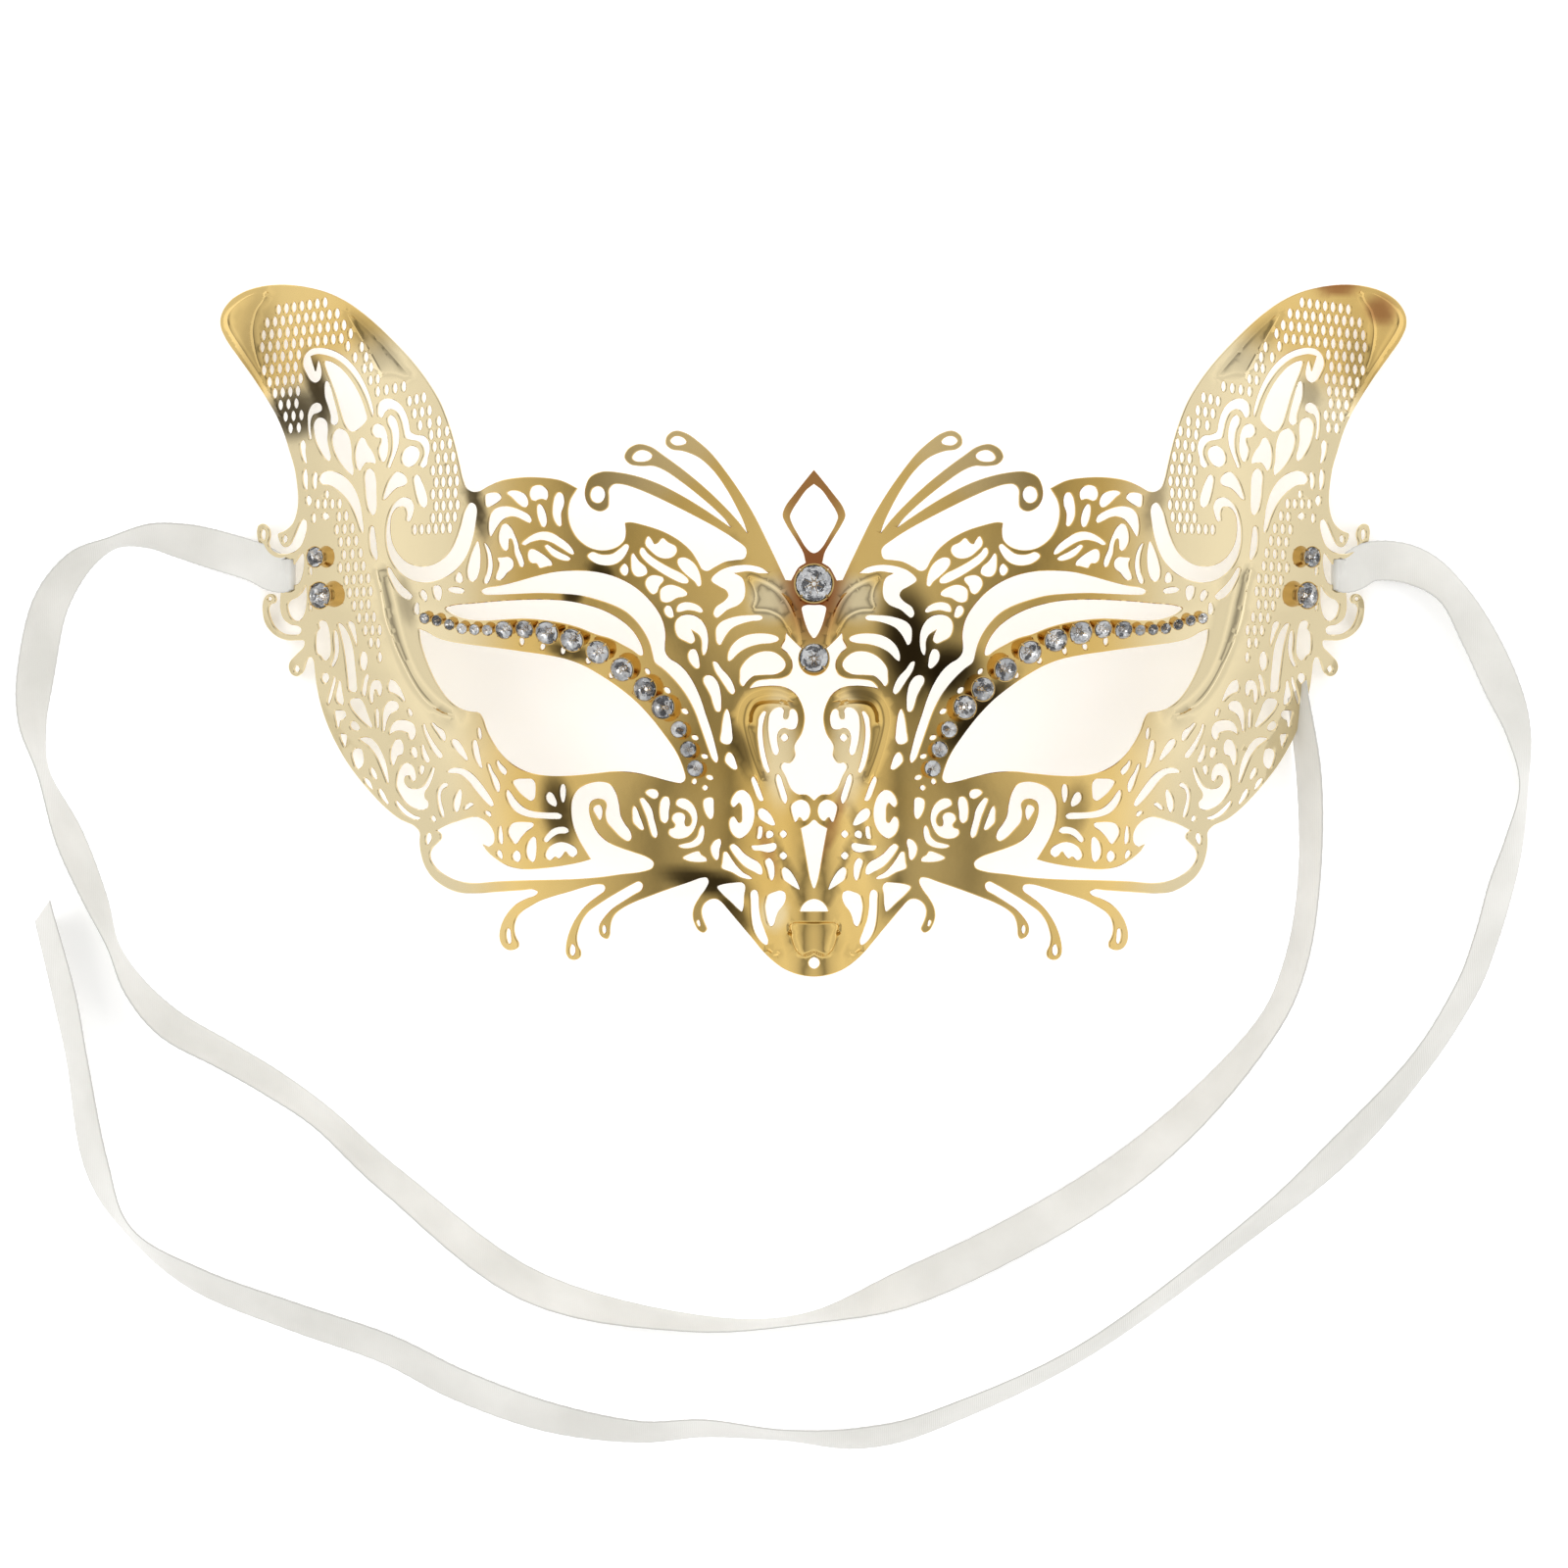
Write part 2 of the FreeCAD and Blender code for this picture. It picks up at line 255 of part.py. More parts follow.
             (57.1, -35.9), (56.5, -37.3), (56.6, -38.7), (57.4, -39.4), (58.6, -39.0, 1), (57.8, -40.2),
             (56.0, -41.7), (53.8, -42.9), (51.0, -43.4), (47.6, -43.2), (44.0, -42.7), (41.2, -42.15),
             (39.3, -41.6, 1), (40.4, -39.9), (41.6, -37.8), (42.5, -35.4), (42.8, -33.0),
             (42.6, -31.0), (41.6, -29.3), (39.8, -28.3), (37.6, -27.95), (35.9, -28.4), (34.9, -29.8),
             (34.3, -31.9), (34.0, -33.9), (33.3, -35.3), (32.3, -36.7), (32.1, -37.9), (32.7, -38.35),
             (33.9, -37.7), (35.4, -36.2), (36.4, -35.0), (36.7, -33.4), (36.5, -31.9), (37.0, -31.1),
             (38.2, -30.9), (39.3, -31.5), (39.6, -32.8), (39.1, -35.0), (38.0, -37.0), (36.2, -38.6),
             (34.0, -39.6), (31.6, -40.4), (29.4, -41.2), (28.2, -42.1), (28.4, -43.0), (30.2, -43.7),
             (34.0, -44.2), (38.5, -44.8), (44.0, -45.15), (50.0, -45.3), (56.0, -45.55), (60.0, -45.85),
             (63.0, -45.5), (65.2, -44.6), (66.9, -43.4), (67.9, -42.0), (68.15, -40.8), (67.7, -39.7),
             (66.8, -38.8), (66.1, -38.0), (66.2, -37.2)],
    "curl_long": [(68.9, -38.2), (68.6, -37.2), (68.0, -37.1), (67.8, -37.9), (68.1, -38.7),
                  (68.6, -39.2)],
    "curl_second": [(54.4, -54.6), (54.1, -53.8), (53.7, -54.0), (53.5, -55.2), (53.5, -56.3),
                    (53.9, -56.6), (54.3, -55.9)],
    "curl_third": [(43.05, -57.4), (42.6, -56.5), (42.1, -57.0), (42.05, -58.0), (42.5, -58.6),
                   (42.95, -58.3)],
    "curl_fourth": [(37.3, -53.7), (36.95, -53.1), (36.6, -53.6), (36.6, -54.3), (36.9, -54.7),
                    (37.2, -54.4)],
    "curl_fifth": [(20.6, -52.4), (20.2, -52.2), (20.0, -52.7), (20.0, -53.3), (20.3, -53.2)],
    # outer crest
    "brow_a": [(57.9, 22.6), (57.2, 22.9), (56.2, 22.95), (55.4, 22.7), (55.05, 22.0), (55.5, 21.5),
               (56.4, 20.9), (57.2, 20.5), (57.75, 20.5), (57.95, 21.2)],
    "brow_b": [(54.1, 22.9), (53.5, 23.25), (52.2, 23.2), (51.0, 22.7), (50.45, 21.9), (50.3, 20.9),
               (50.6, 20.4), (51.2, 20.4), (52.2, 21.1), (53.3, 22.2)],
    "brow_c": [(50.1, 22.7), (49.7, 23.8), (48.7, 24.2), (47.7, 24.0), (46.9, 23.2), (46.8, 22.2),
               (47.1, 21.6), (47.7, 21.8), (48.3, 21.8), (49.0, 21.5), (49.6, 21.6), (49.95, 22.1)],
    "brow_d": [(48.7, 20.6), (48.3, 20.9), (47.8, 20.5), (47.2, 19.2), (47.0, 17.7), (47.3, 16.9),
               (47.8, 16.9), (48.3, 17.7), (48.75, 19.3)],
    "brow_e": [(45.6, 22.2), (45.0, 22.9), (44.3, 22.7), (43.95, 21.8), (44.0, 20.6), (44.45, 19.3),
               (44.4, 17.8), (44.4, 17.1), (44.8, 16.95), (45.4, 17.5), (45.95, 18.8), (46.0, 20.2),
               (45.85, 21.3)],
    "brow_f": [(57.0, 19.2), (56.2, 20.1), (54.9, 20.5), (53.2, 20.35), (51.2, 19.6), (50.0, 18.8),
               (49.7, 17.9), (50.0, 17.6), (51.0, 18.0), (52.2, 18.6), (53.4, 18.8), (54.7, 18.3),
               (55.7, 17.2), (56.5, 15.9), (57.0, 15.2), (57.3, 16.0), (57.35, 17.6)],
    "brow_g": [(54.9, 17.3), (54.2, 17.45), (53.4, 16.8), (52.8, 15.7), (52.2, 14.2), (51.9, 12.9),
               (51.35, 11.6), (51.05, 10.4), (51.3, 9.8), (51.8, 10.0), (52.3, 11.1), (52.75, 12.3),
               (52.9, 13.6), (53.3, 14.8), (53.65, 14.9), (53.8, 13.9), (53.9, 13.0), (54.3, 12.7),
               (54.9, 13.1), (55.5, 14.3), (55.5, 15.9)],
    "brow_h": [(55.8, 11.4), (55.0, 11.5), (53.7, 11.55), (53.1, 11.1), (52.9, 10.2), (53.2, 9.5),
               (54.0, 8.9), (54.8, 7.9), (55.5, 7.5), (56.1, 7.8), (56.0, 8.6), (55.6, 9.6),
               (55.5, 10.6)],
    "brow_i": [(51.5, 13.9), (50.6, 14.8), (49.2, 15.65), (47.6, 16.0), (46.0, 15.7), (44.5, 14.8),
               (43.1, 13.7), (42.3, 12.6), (42.2, 12.05), (42.7, 12.05), (44.4, 13.1), (46.3, 14.2),
               (48.0, 14.6), (49.6, 14.3), (50.9, 13.7)],
    "brow_j": [(47.4, 13.5), (46.9, 13.7), (45.8, 13.0), (44.4, 12.2), (43.2, 11.6), (42.8, 11.2),
               (43.3, 10.9), (44.6, 11.1), (46.0, 11.8), (46.9, 12.7)],
    "brow_k": [(50.4, 12.2), (50.0, 12.9), (49.3, 12.9), (48.1, 12.3), (47.0, 11.5), (46.2, 10.7),
               (46.1, 10.1), (46.8, 10.0), (47.6, 9.8), (48.3, 9.65), (48.6, 10.1), (48.9, 10.5),
               (49.6, 10.5), (50.2, 11.0)],
    "brow_l": [(59.3, 14.5), (58.95, 13.4), (58.8, 11.5), (59.0, 9.2), (59.6, 7.7), (60.4, 7.3),
               (61.0, 7.9), (61.2, 9.3), (60.9, 10.8), (60.4, 12.4), (59.8, 13.8)],
    "brow_m": [(58.15, 14.2), (57.6, 13.7), (57.0, 12.5), (56.7, 11.2), (56.65, 9.6), (57.0, 8.1),
               (57.6, 7.0), (58.1, 7.0), (58.2, 7.6), (57.7, 8.9), (57.5, 10.4), (57.6, 12.0),
               (57.9, 13.2)],
    "brow_n": [(63.3, 8.1), (62.8, 9.0), (62.4, 8.9), (62.0, 8.1), (62.0, 7.4), (62.5, 7.1),
               (63.2, 7.4)],
    # the two long brow openings
    "brow_upper": [(58.7, 5.6), (58.0, 6.1), (55.5, 6.5), (52.5, 7.2), (49.0, 8.15), (45.5, 8.9),
                   (42.0, 9.1), (38.5, 8.9), (35.2, 8.1), (32.0, 6.55), (29.5, 4.5), (27.6, 2.2),
                   (26.5, 0), (26.1, -2.2), (26.2, -4.0), (26.1, -5.3), (25.3, -6.4), (24.0, -7.2),
                   (22.6, -8.5), (21.2, -10.6), (20.0, -13.2), (19.0, -16.2), (18.0, -19.2),
                   (17.2, -22.2), (16.85, -24.0), (17.1, -24.6), (17.8, -24.0), (18.6, -22.0),
                   (19.8, -18.6), (21.0, -15.4), (22.6, -12.5), (24.6, -10.0), (26.6, -8.1),
                   (28.0, -7.0), (28.4, -5.6), (28.8, -4.0), (29.7, -2.0), (31.2, 0.1), (33.0, 1.8),
                   (35.2, 3.0), (38.0, 4.0), (41.0, 4.75), (44.5, 5.1), (48.5, 5.25), (53.0, 5.1),
                   (56.5, 5.0), (58.2, 5.1)],
    "brow_lower": [(65.1, 2.6), (63.6, 3.15), (60.0, 3.45), (56.5, 3.75), (52.0, 4.0), (47.5, 4.05),
                   (43.5, 3.8), (40.2, 3.15), (37.0, 2.1), (34.4, 0.7), (32.3, -1.0), (30.9, -2.9),
                   (30.15, -4.7), (30.1, -5.7), (30.7, -5.8), (32.0, -4.9), (34.0, -3.8), (36.0, -2.8),
                   (38.5, -2.1), (41.5, -0.9), (44.5, -0.1), (47.5, 0.4), (51.0, 0.7), (54.5, 0.6),
                   (58.0, 0.4), (61.5, 0.7), (64.0, 1.6)],
    "brow_slot": [(64.7, 6.0), (64.0, 6.35), (62.3, 6.2), (61.7, 5.8), (61.9, 5.35), (63.2, 5.3),
                  (64.3, 5.6)],
    "brow_p": [(66.6, 6.7), (67.3, 6.5), (67.25, 5.3), (66.7, 4.2), (66.1, 4.1), (65.8, 4.7),
               (65.75, 6.0), (66.1, 6.6)],
    "brow_q": [(69.7, 5.4), (69.2, 5.95), (68.5, 5.4), (68.3, 4.4), (68.7, 3.9), (69.2, 4.3)],
    "brow_r": [(70.8, 2.6), (70.4, 3.7), (69.95, 3.6), (69.8, 2.6), (69.85, 1.7), (70.2, 1.5),
               (70.7, 1.9)],
    # ear
    "cane": [(90.9, 46.2), (90.5, 47.8), (89.3, 48.8), (87.6, 49.0), (85.6, 48.6), (83.4, 47.45),
             (81.4, 45.5), (79.8, 43.0), (78.6, 40.2), (77.95, 37.5), (78.05, 36.6), (78.5, 37.6),
             (79.3, 39.9), (80.7, 42.7), (82.7, 45.3), (85.0, 47.1), (87.0, 47.8), (88.3, 47.95),
             (89.4, 47.6, 1), (89.0, 46.2), (88.55, 44.9, 1), (88.3, 46.0), (88.0, 47.1, 1),
             (87.6, 46.0), (87.4, 44.6), (87.7, 43.4), (88.5, 42.9), (89.5, 43.3), (90.2, 44.4)],
    "ear_leaf": [(86.9, 46.6), (85.9, 46.6), (84.2, 45.6), (82.2, 43.4), (80.5, 40.5), (79.5, 37.8),
                 (79.2, 36.3), (80.2, 35.0), (81.4, 34.2), (82.3, 34.2), (83.2, 35.3), (84.0, 37.6),
                 (84.8, 40.4), (85.7, 42.9), (86.5, 44.8)],
    "ear_slim": [(86.8, 43.0), (86.3, 43.1), (85.8, 42.1), (85.2, 39.9), (84.6, 37.6), (84.4, 36.1),
                 (84.8, 35.4), (85.5, 35.4), (85.9, 35.8), (85.9, 36.9), (86.4, 38.7), (86.9, 40.2),
                 (87.0, 41.8)],
    "ear_comma": [(90.0, 37.6), (89.3, 38.9), (88.2, 39.35), (87.5, 38.9), (87.4, 38.0), (88.0, 37.6),
                  (88.9, 37.3), (89.4, 36.3), (89.45, 34.4), (89.3, 33.0), (89.6, 32.8), (89.95, 34.0),
                  (90.1, 35.8)],
    "ear_sickle": [(88.95, 35.7), (88.2, 36.6), (87.2, 36.6), (86.5, 35.9), (86.3, 34.6), (86.4, 32.8),
                   (86.1, 31.0), (85.8, 29.7), (86.0, 29.0), (86.7, 29.3), (87.7, 30.7), (88.5, 32.4),
                   (88.95, 34.2)],
    "ear_slip": [(91.4, 32.3), (90.8, 32.8), (90.4, 32.1), (90.4, 30.6), (90.2, 29.2), (90.2, 28.6),
                 (90.6, 28.8), (91.1, 29.9), (91.4, 31.2)],
    "petal_a": [(85.6, 32.9), (85.2, 34.1), (84.3, 34.7), (83.1, 34.2), (82.4, 33.0), (82.05, 31.2),
                (81.95, 29.0), (81.65, 27.3), (81.8, 26.4), (82.5, 26.8), (83.8, 28.2), (84.8, 29.8),
                (85.4, 31.3)],
    "petal_b": [(81.4, 30.2), (81.0, 32.0), (80.3, 33.0), (79.7, 32.9), (79.1, 31.7), (78.2, 30.4),
                (77.7, 29.2), (77.7, 28.4), (78.4, 28.6), (79.4, 28.6), (80.0, 27.9), (80.5, 27.1),
                (81.0, 27.6), (81.3, 28.7)],
    "petal_c": [(78.3, 33.9), (78.1, 35.0), (77.3, 35.4), (76.3, 35.0), (75.7, 33.9), (75.4, 32.2),
                (75.45, 30.4), (75.9, 28.9), (76.4, 28.6), (76.9, 29.5), (77.15, 30.9), (76.7, 32.1),
                (76.7, 32.9), (77.6, 33.0)],
    "crook": [(77.3, 37.6), (77.0, 39.1), (75.9, 39.8), (74.5, 39.65), (73.2, 38.8), (72.2, 37.3),
              (71.6, 35.4), (71.3, 33.9), (70.2, 33.3), (68.9, 33.1), (68.1, 32.2), (67.85, 30.8),
              (68.2, 29.2), (68.4, 28.0), (69.1, 27.5), (69.7, 27.9), (69.3, 28.8), (68.9, 29.9),
              (69.1, 31.2), (70.0, 32.2), (71.3, 32.5), (72.2, 32.8), (72.6, 34.2), (73.0, 35.9),
              (73.8, 37.4), (75.0, 38.0), (75.9, 37.4), (76.4, 36.5), (77.0, 36.6)],
    "petal_d": [(75.5, 36.3), (75.0, 36.9), (74.2, 36.5), (73.6, 35.1), (73.35, 33.4), (73.5, 31.6),
                (74.1, 29.8), (74.7, 28.4), (75.05, 27.6), (75.5, 27.7), (75.2, 28.9), (74.75, 30.4),
                (74.6, 32.2), (74.85, 34.2), (75.4, 35.4)],
    "ear_round": [(73.0, 29.2), (72.4, 30.8), (71.2, 31.4), (70.2, 31.1), (69.7, 30.2), (70.0, 29.0),
                  (70.8, 28.0), (71.8, 27.7), (72.6, 28.1)],
    "ear_pod": [(79.7, 26.3), (79.3, 27.3), (78.6, 27.5), (78.0, 27.0), (77.6, 25.6), (77.5, 23.0),
                (77.5, 20.6), (77.8, 19.4), (78.3, 19.3), (78.9, 20.1), (79.4, 22.0), (79.6, 24.2)],
    "ear_wing": [(76.3, 22.0), (75.9, 23.8), (75.1, 25.6), (74.0, 26.8), (72.9, 26.6), (72.1, 25.8),
                 (72.0, 24.9), (72.6, 24.4), (73.7, 24.1), (74.8, 23.2), (75.7, 22.2)],
    "ear_seed": [(70.8, 25.7), (70.4, 26.3), (69.9, 26.2), (69.3, 25.1), (68.7, 23.6), (68.3, 21.8),
                 (68.5, 20.7), (69.0, 20.5), (69.7, 21.0), (70.2, 22.3), (70.6, 24.0)],
    "long_leaf": [(88.0, 25.7), (87.5, 26.8), (86.2, 27.2), (84.4, 26.8), (82.7, 25.6), (81.4, 23.8),
                  (80.5, 21.4), (80.0, 18.6), (79.8, 16.6), (80.0, 16.0), (80.5, 16.9), (81.2, 18.9),
                  (82.4, 21.4), (84.2, 23.5), (86.2, 24.8), (87.5, 25.0)],
    "ear_slip_b": [(78.8, 16.3), (78.5, 17.3), (78.0, 17.2), (77.7, 15.7), (77.4, 13.4), (77.25, 11.8),
                   (77.5, 11.2), (78.0, 11.7), (78.6, 13.0), (78.85, 14.8)],
    "scroll": [(60.7, 21.2), (59.85, 21.0), (59.45, 20.1), (59.65, 17.8), (60.3, 14.6), (61.5, 11.6),
               (63.3, 9.4), (65.6, 7.95), (68.4, 7.3), (71.1, 7.7), (73.3, 9.1), (74.85, 11.2),
               (75.7, 13.9), (75.8, 16.8), (75.3, 19.3), (74.3, 21.3), (72.8, 22.3), (71.4, 22.0),
               (70.75, 20.8), (71.0, 19.1), (71.6, 18.0), (72.1, 18.3), (72.0, 19.5), (72.5, 20.7),
               (73.7, 20.6), (74.7, 19.3), (75.0, 17.0), (74.7, 14.6), (73.7, 12.5), (72.1, 10.9),
               (70.1, 10.1), (68.0, 10.15), (65.9, 11.1), (64.2, 12.8), (63.1, 15.0), (62.3, 17.4),
               (61.7, 19.6)],
    "scroll_foot": [(75.6, 9.9), (75.1, 9.9), (74.2, 8.5), (72.9, 6.8), (71.5, 5.5), (71.0, 4.8),
                    (71.4, 4.3), (72.5, 4.5), (73.8, 5.6), (74.8, 7.3), (75.5, 9.0)],
    # temple
    "temple_a": [(90.9, 27.0), (90.4, 27.8), (90.1, 27.0), (90.0, 25.2), (90.2, 23.8), (90.5, 24.1),
                 (90.9, 25.4)],
    "temple_b": [(89.1, 26.4), (88.7, 27.1), (88.3, 26.9), (88.3, 25.6), (88.4, 24.4), (88.7, 23.9),
                 (89.1, 24.8)],
    "temple_c": [(90.4, 22.4), (90.0, 23.0), (89.5, 22.7), (89.3, 21.9), (89.6, 21.2), (90.1, 21.3)],
    "temple_d": [(87.4, 19.4), (87.0, 19.9), (86.3, 19.6), (86.1, 19.0), (86.6, 18.6), (87.2, 18.8)],
    "hook_eye": [(94.7, 15.3), (94.3, 16.0), (93.8, 15.7), (93.8, 15.0), (94.2, 14.6), (94.6, 14.8)],
    "curl_eye": [(98.7, 16.3), (98.4, 17.1), (97.9, 16.9), (97.8, 16.0), (98.0, 15.2), (98.5, 15.4)],
    "ribbon_slot": [(90.9, 12.7), (90.7, 11.6), (90.8, 10.0), (91.1, 8.6), (91.6, 7.5), (92.3, 7.1),
                    (93.0, 7.3), (93.4, 8.1), (93.2, 9.4), (92.6, 10.7), (91.9, 11.7), (91.4, 12.4)],
    "dee": [(90.4, 7.0), (90.25, 5.4), (90.35, 3.4), (90.8, 1.7), (91.5, 0.8), (92.4, 0.65),
            (93.2, 1.3), (93.7, 2.5), (93.8, 3.6), (93.3, 4.3), (92.2, 4.8), (91.2, 5.7)],
    "arc_eye": [(97.5, 4.7), (97.0, 5.1), (96.6, 4.7), (97.0, 4.3)],
    "temple_e": [(89.8, 10.1), (89.4, 10.4), (89.2, 9.5), (89.35, 8.7), (89.7, 8.9)],
    "temple_f": [(89.8, 3.6), (89.5, 4.1), (89.3, 3.2), (89.4, 2.4), (89.7, 2.6)],
    "loop_eye": [(92.7, -7.8), (92.2, -7.2), (91.7, -7.8), (92.1, -8.5), (92.6, -8.4)],
    # cheek panel
    "pan_a": [(88.2, 0.2), (87.4, 0.7), (86.7, 0.4), (86.2, -1.0), (85.95, -3.2), (86.0, -5.2),
              (86.6, -6.3), (87.3, -6.4), (87.9, -5.6), (88.5, -5.2), (88.7, -4.2), (88.7, -2.6),
              (88.5, -1.4), (88.0, -0.8)],
    "pan_b": [(85.2, -1.0), (84.8, -1.3), (84.45, -3.0), (84.45, -5.0), (84.9, -6.5), (85.7, -7.6),
              (86.0, -7.4), (85.6, -6.3), (85.3, -4.8), (85.4, -2.6)],
    "pan_c": [(84.6, 0.1), (84.0, 0.1), (83.1, -1.0), (82.3, -2.8), (81.8, -4.8), (81.5, -7.5),
              (81.3, -10.2), (81.35, -11.9), (82.0, -12.1), (82.7, -11.8), (83.0, -9.5), (83.3, -6.6),
              (83.7, -3.8), (84.2, -1.6)],
    "pan_d": [(82.8, 0.2), (82.2, 0.5), (81.6, 0.0), (81.3, -1.3), (81.1, -2.9), (81.2, -3.9),
              (81.6, -3.1), (82.2, -1.5)],
    "pan_e": [(80.5, -5.5), (80.2, -4.9), (79.7, -4.9), (79.3, -5.7), (79.3, -7.2), (79.7, -8.2),
              (80.2, -8.2), (80.6, -7.5), (80.7, -6.4)],
    "pan_f": [(87.7, -9.3), (87.2, -8.7), (86.6, -8.7), (86.3, -9.4), (86.6, -10.2), (87.2, -10.5),
              (87.6, -10.0)],
    "pan_g": [(85.4, -9.4), (85.15, -9.3), (85.1, -10.1), (85.5, -11.6), (86.0, -13.3), (86.5, -14.3),
              (86.7, -13.9), (86.4, -12.4), (85.9, -10.8)],
    "pan_h": [(84.5, -10.0), (84.2, -10.1), (84.0, -11.6), (83.7, -13.6), (83.8, -14.2), (84.3, -14.3),
              (85.0, -13.7), (85.2, -12.6), (84.9, -11.2)],
    "pan_i": [(85.4, -15.4), (84.6, -15.3), (83.6, -15.4), (83.3, -16.2), (83.8, -16.8), (84.4, -17.1),
              (84.6, -18.2), (85.0, -18.3), (85.2, -17.4), (85.4, -16.4)],
    "pan_j": [(82.6, -17.7), (81.9, -17.2), (81.2, -17.7), (80.8, -18.4), (81.0, -18.8), (81.8, -18.9),
              (82.5, -18.5)],
    "pan_k": [(82.7, -13.8), (81.9, -13.2), (80.8, -13.2), (80.0, -14.1), (79.5, -15.5), (78.9, -17.1),
              (78.5, -18.2), (78.9, -18.4), (80.0, -17.6), (81.3, -16.3), (82.3, -15.0)],
    "pan_l": [(80.2, -10.9), (79.8, -9.4), (79.2, -8.9), (79.0, -9.3), (79.3, -10.4), (79.5, -11.8),
              (79.8, -12.8), (80.2, -12.7), (80.4, -12.0)],
    "pan_m": [(79.0, -11.6), (78.6, -10.5), (77.9, -10.0), (77.1, -10.1), (76.7, -10.9),
              (76.7, -12.1), (77.1, -12.8), (77.5, -12.5), (77.7, -11.8), (78.0, -11.6), (78.2, -12.6),
              (78.3, -13.7), (78.6, -14.1), (79.0, -13.3)],
    "pan_n": [(77.9, -15.3), (77.6, -14.9), (77.3, -15.5), (77.25, -16.8), (77.4, -18.4), (77.7, -18.5),
              (77.9, -17.0)],
    "pan_o": [(75.5, -10.5), (75.1, -9.9), (74.3, -10.2), (73.5, -11.2), (72.8, -12.6), (72.5, -13.7),
              (72.7, -13.8), (73.5, -13.0), (74.6, -12.3), (75.4, -12.0), (75.6, -11.4)],
    "pan_p": [(76.6, -15.7), (76.1, -14.4), (75.3, -13.7), (74.3, -13.7), (73.7, -14.3), (73.8, -15.1),
              (74.5, -15.5), (75.3, -16.1), (75.9, -17.4), (76.3, -19.0), (76.6, -19.1),
              (76.7, -17.6)],
    "pan_q": [(72.0, -15.0), (71.6, -15.1), (71.2, -15.8), (71.3, -16.3), (71.7, -16.4), (72.0, -15.8)],
    "pan_r": [(75.4, -18.8), (74.8, -17.7), (73.7, -17.1), (72.3, -17.1), (71.2, -17.6), (70.7, -18.5),
              (70.7, -19.7), (71.2, -20.5), (71.7, -20.5), (72.0, -20.0), (72.1, -19.4), (73.0, -19.0),
              (74.2, -18.9), (75.0, -19.3), (75.4, -19.6)],
    "pan_s": [(75.3, -22.6), (75.0, -21.6), (74.3, -20.6), (73.5, -20.5), (73.0, -21.2), (72.9, -22.4),
              (73.2, -23.1), (73.9, -23.3), (74.3, -24.2), (74.7, -25.1), (75.0, -25.0),
              (75.3, -24.0)],
    "pan_t": [(71.6, -22.5), (71.2, -21.8), (70.7, -21.9), (70.4, -22.6), (70.4, -23.5), (70.8, -23.8),
              (71.3, -23.3)],
    "pan_u": [(69.6, -21.5), (69.3, -21.3), (69.0, -22.0), (68.5, -23.1), (68.1, -24.2), (68.4, -24.6),
              (68.9, -24.4), (69.4, -23.5), (69.6, -22.3)],
    "pan_v": [(74.2, -27.6), (73.8, -26.0), (72.9, -24.8), (71.9, -24.7), (71.1, -25.4), (70.7, -26.6),
              (70.7, -27.6), (71.1, -27.9), (71.6, -27.5), (71.9, -26.8), (72.6, -27.0), (72.8, -28.0),
              (72.1, -28.9), (70.8, -29.3), (69.5, -28.9), (68.6, -27.6), (67.9, -26.2), (67.5, -25.3),
              (67.2, -25.5), (67.5, -26.9), (68.2, -28.6), (69.1, -30.0), (69.0, -30.9), (68.4, -31.6),
              (68.5, -32.5), (69.3, -32.9), (70.8, -32.7), (72.4, -31.8), (73.6, -30.2), (74.2, -28.9)],
    "pan_w": [(70.0, -25.4), (69.6, -25.0), (69.1, -25.3), (69.3, -26.4), (69.7, -26.8), (70.0, -26.2)],
    "pan_x": [(81.0, -20.4), (80.2, -20.1), (79.0, -20.2), (77.9, -21.1), (77.0, -22.5), (76.2, -24.4),
              (75.7, -26.6), (75.6, -28.1), (75.8, -28.3), (76.3, -27.2), (77.1, -25.2), (78.0, -23.3),
              (79.2, -21.8), (80.3, -21.0)],
    "pan_y": [(84.5, -19.5), (83.8, -19.5), (83.3, -19.6), (83.3, -20.8), (83.6, -21.9), (84.1, -21.1)],
    "pan_z": [(82.4, -23.0), (82.1, -22.3), (81.4, -22.0), (80.6, -22.2), (80.3, -23.0), (80.2, -24.4),
              (80.6, -25.3), (81.2, -25.7), (81.7, -25.4), (82.1, -24.4)],
    "pod_a": [(79.0, -25.6), (78.6, -25.4), (78.0, -26.2), (77.7, -27.3), (77.9, -27.7), (78.4, -27.3),
              (78.9, -26.5)],
    "pod_b": [(80.2, -27.4), (79.7, -27.3), (79.1, -27.8), (78.6, -28.9), (78.5, -29.4), (79.0, -29.2),
              (79.8, -28.4)],
    "pod_c": [(77.5, -29.5), (77.2, -29.1), (76.6, -29.7), (76.0, -30.9), (75.6, -31.8), (75.9, -32.0),
              (76.6, -31.4), (77.2, -30.5)],
    "pod_d": [(74.4, -31.4), (74.1, -31.3), (73.4, -32.0), (72.1, -33.2), (70.8, -34.0), (69.9, -34.3),
              (70.0, -34.6), (71.0, -34.6), (72.3, -34.1), (73.4, -33.2), (74.2, -32.1)],
    "pod_e": [(68.0, -34.5), (67.5, -33.9), (67.1, -34.3), (67.0, -34.9), (67.5, -35.0)],
    "pod_f": [(66.8, -30.2), (66.5, -29.1), (65.8, -28.3), (65.0, -28.2), (64.8, -28.5), (65.0, -28.8),
              (65.7, -29.2), (66.1, -30.2), (66.0, -31.6), (65.6, -33.0), (65.5, -34.2), (65.7, -34.4),
              (66.2, -33.6), (66.6, -32.2)],
    "pod_g": [(65.0, -26.2), (64.5, -25.7), (63.2, -25.5), (61.7, -25.8), (60.3, -26.7), (58.9, -28.2),
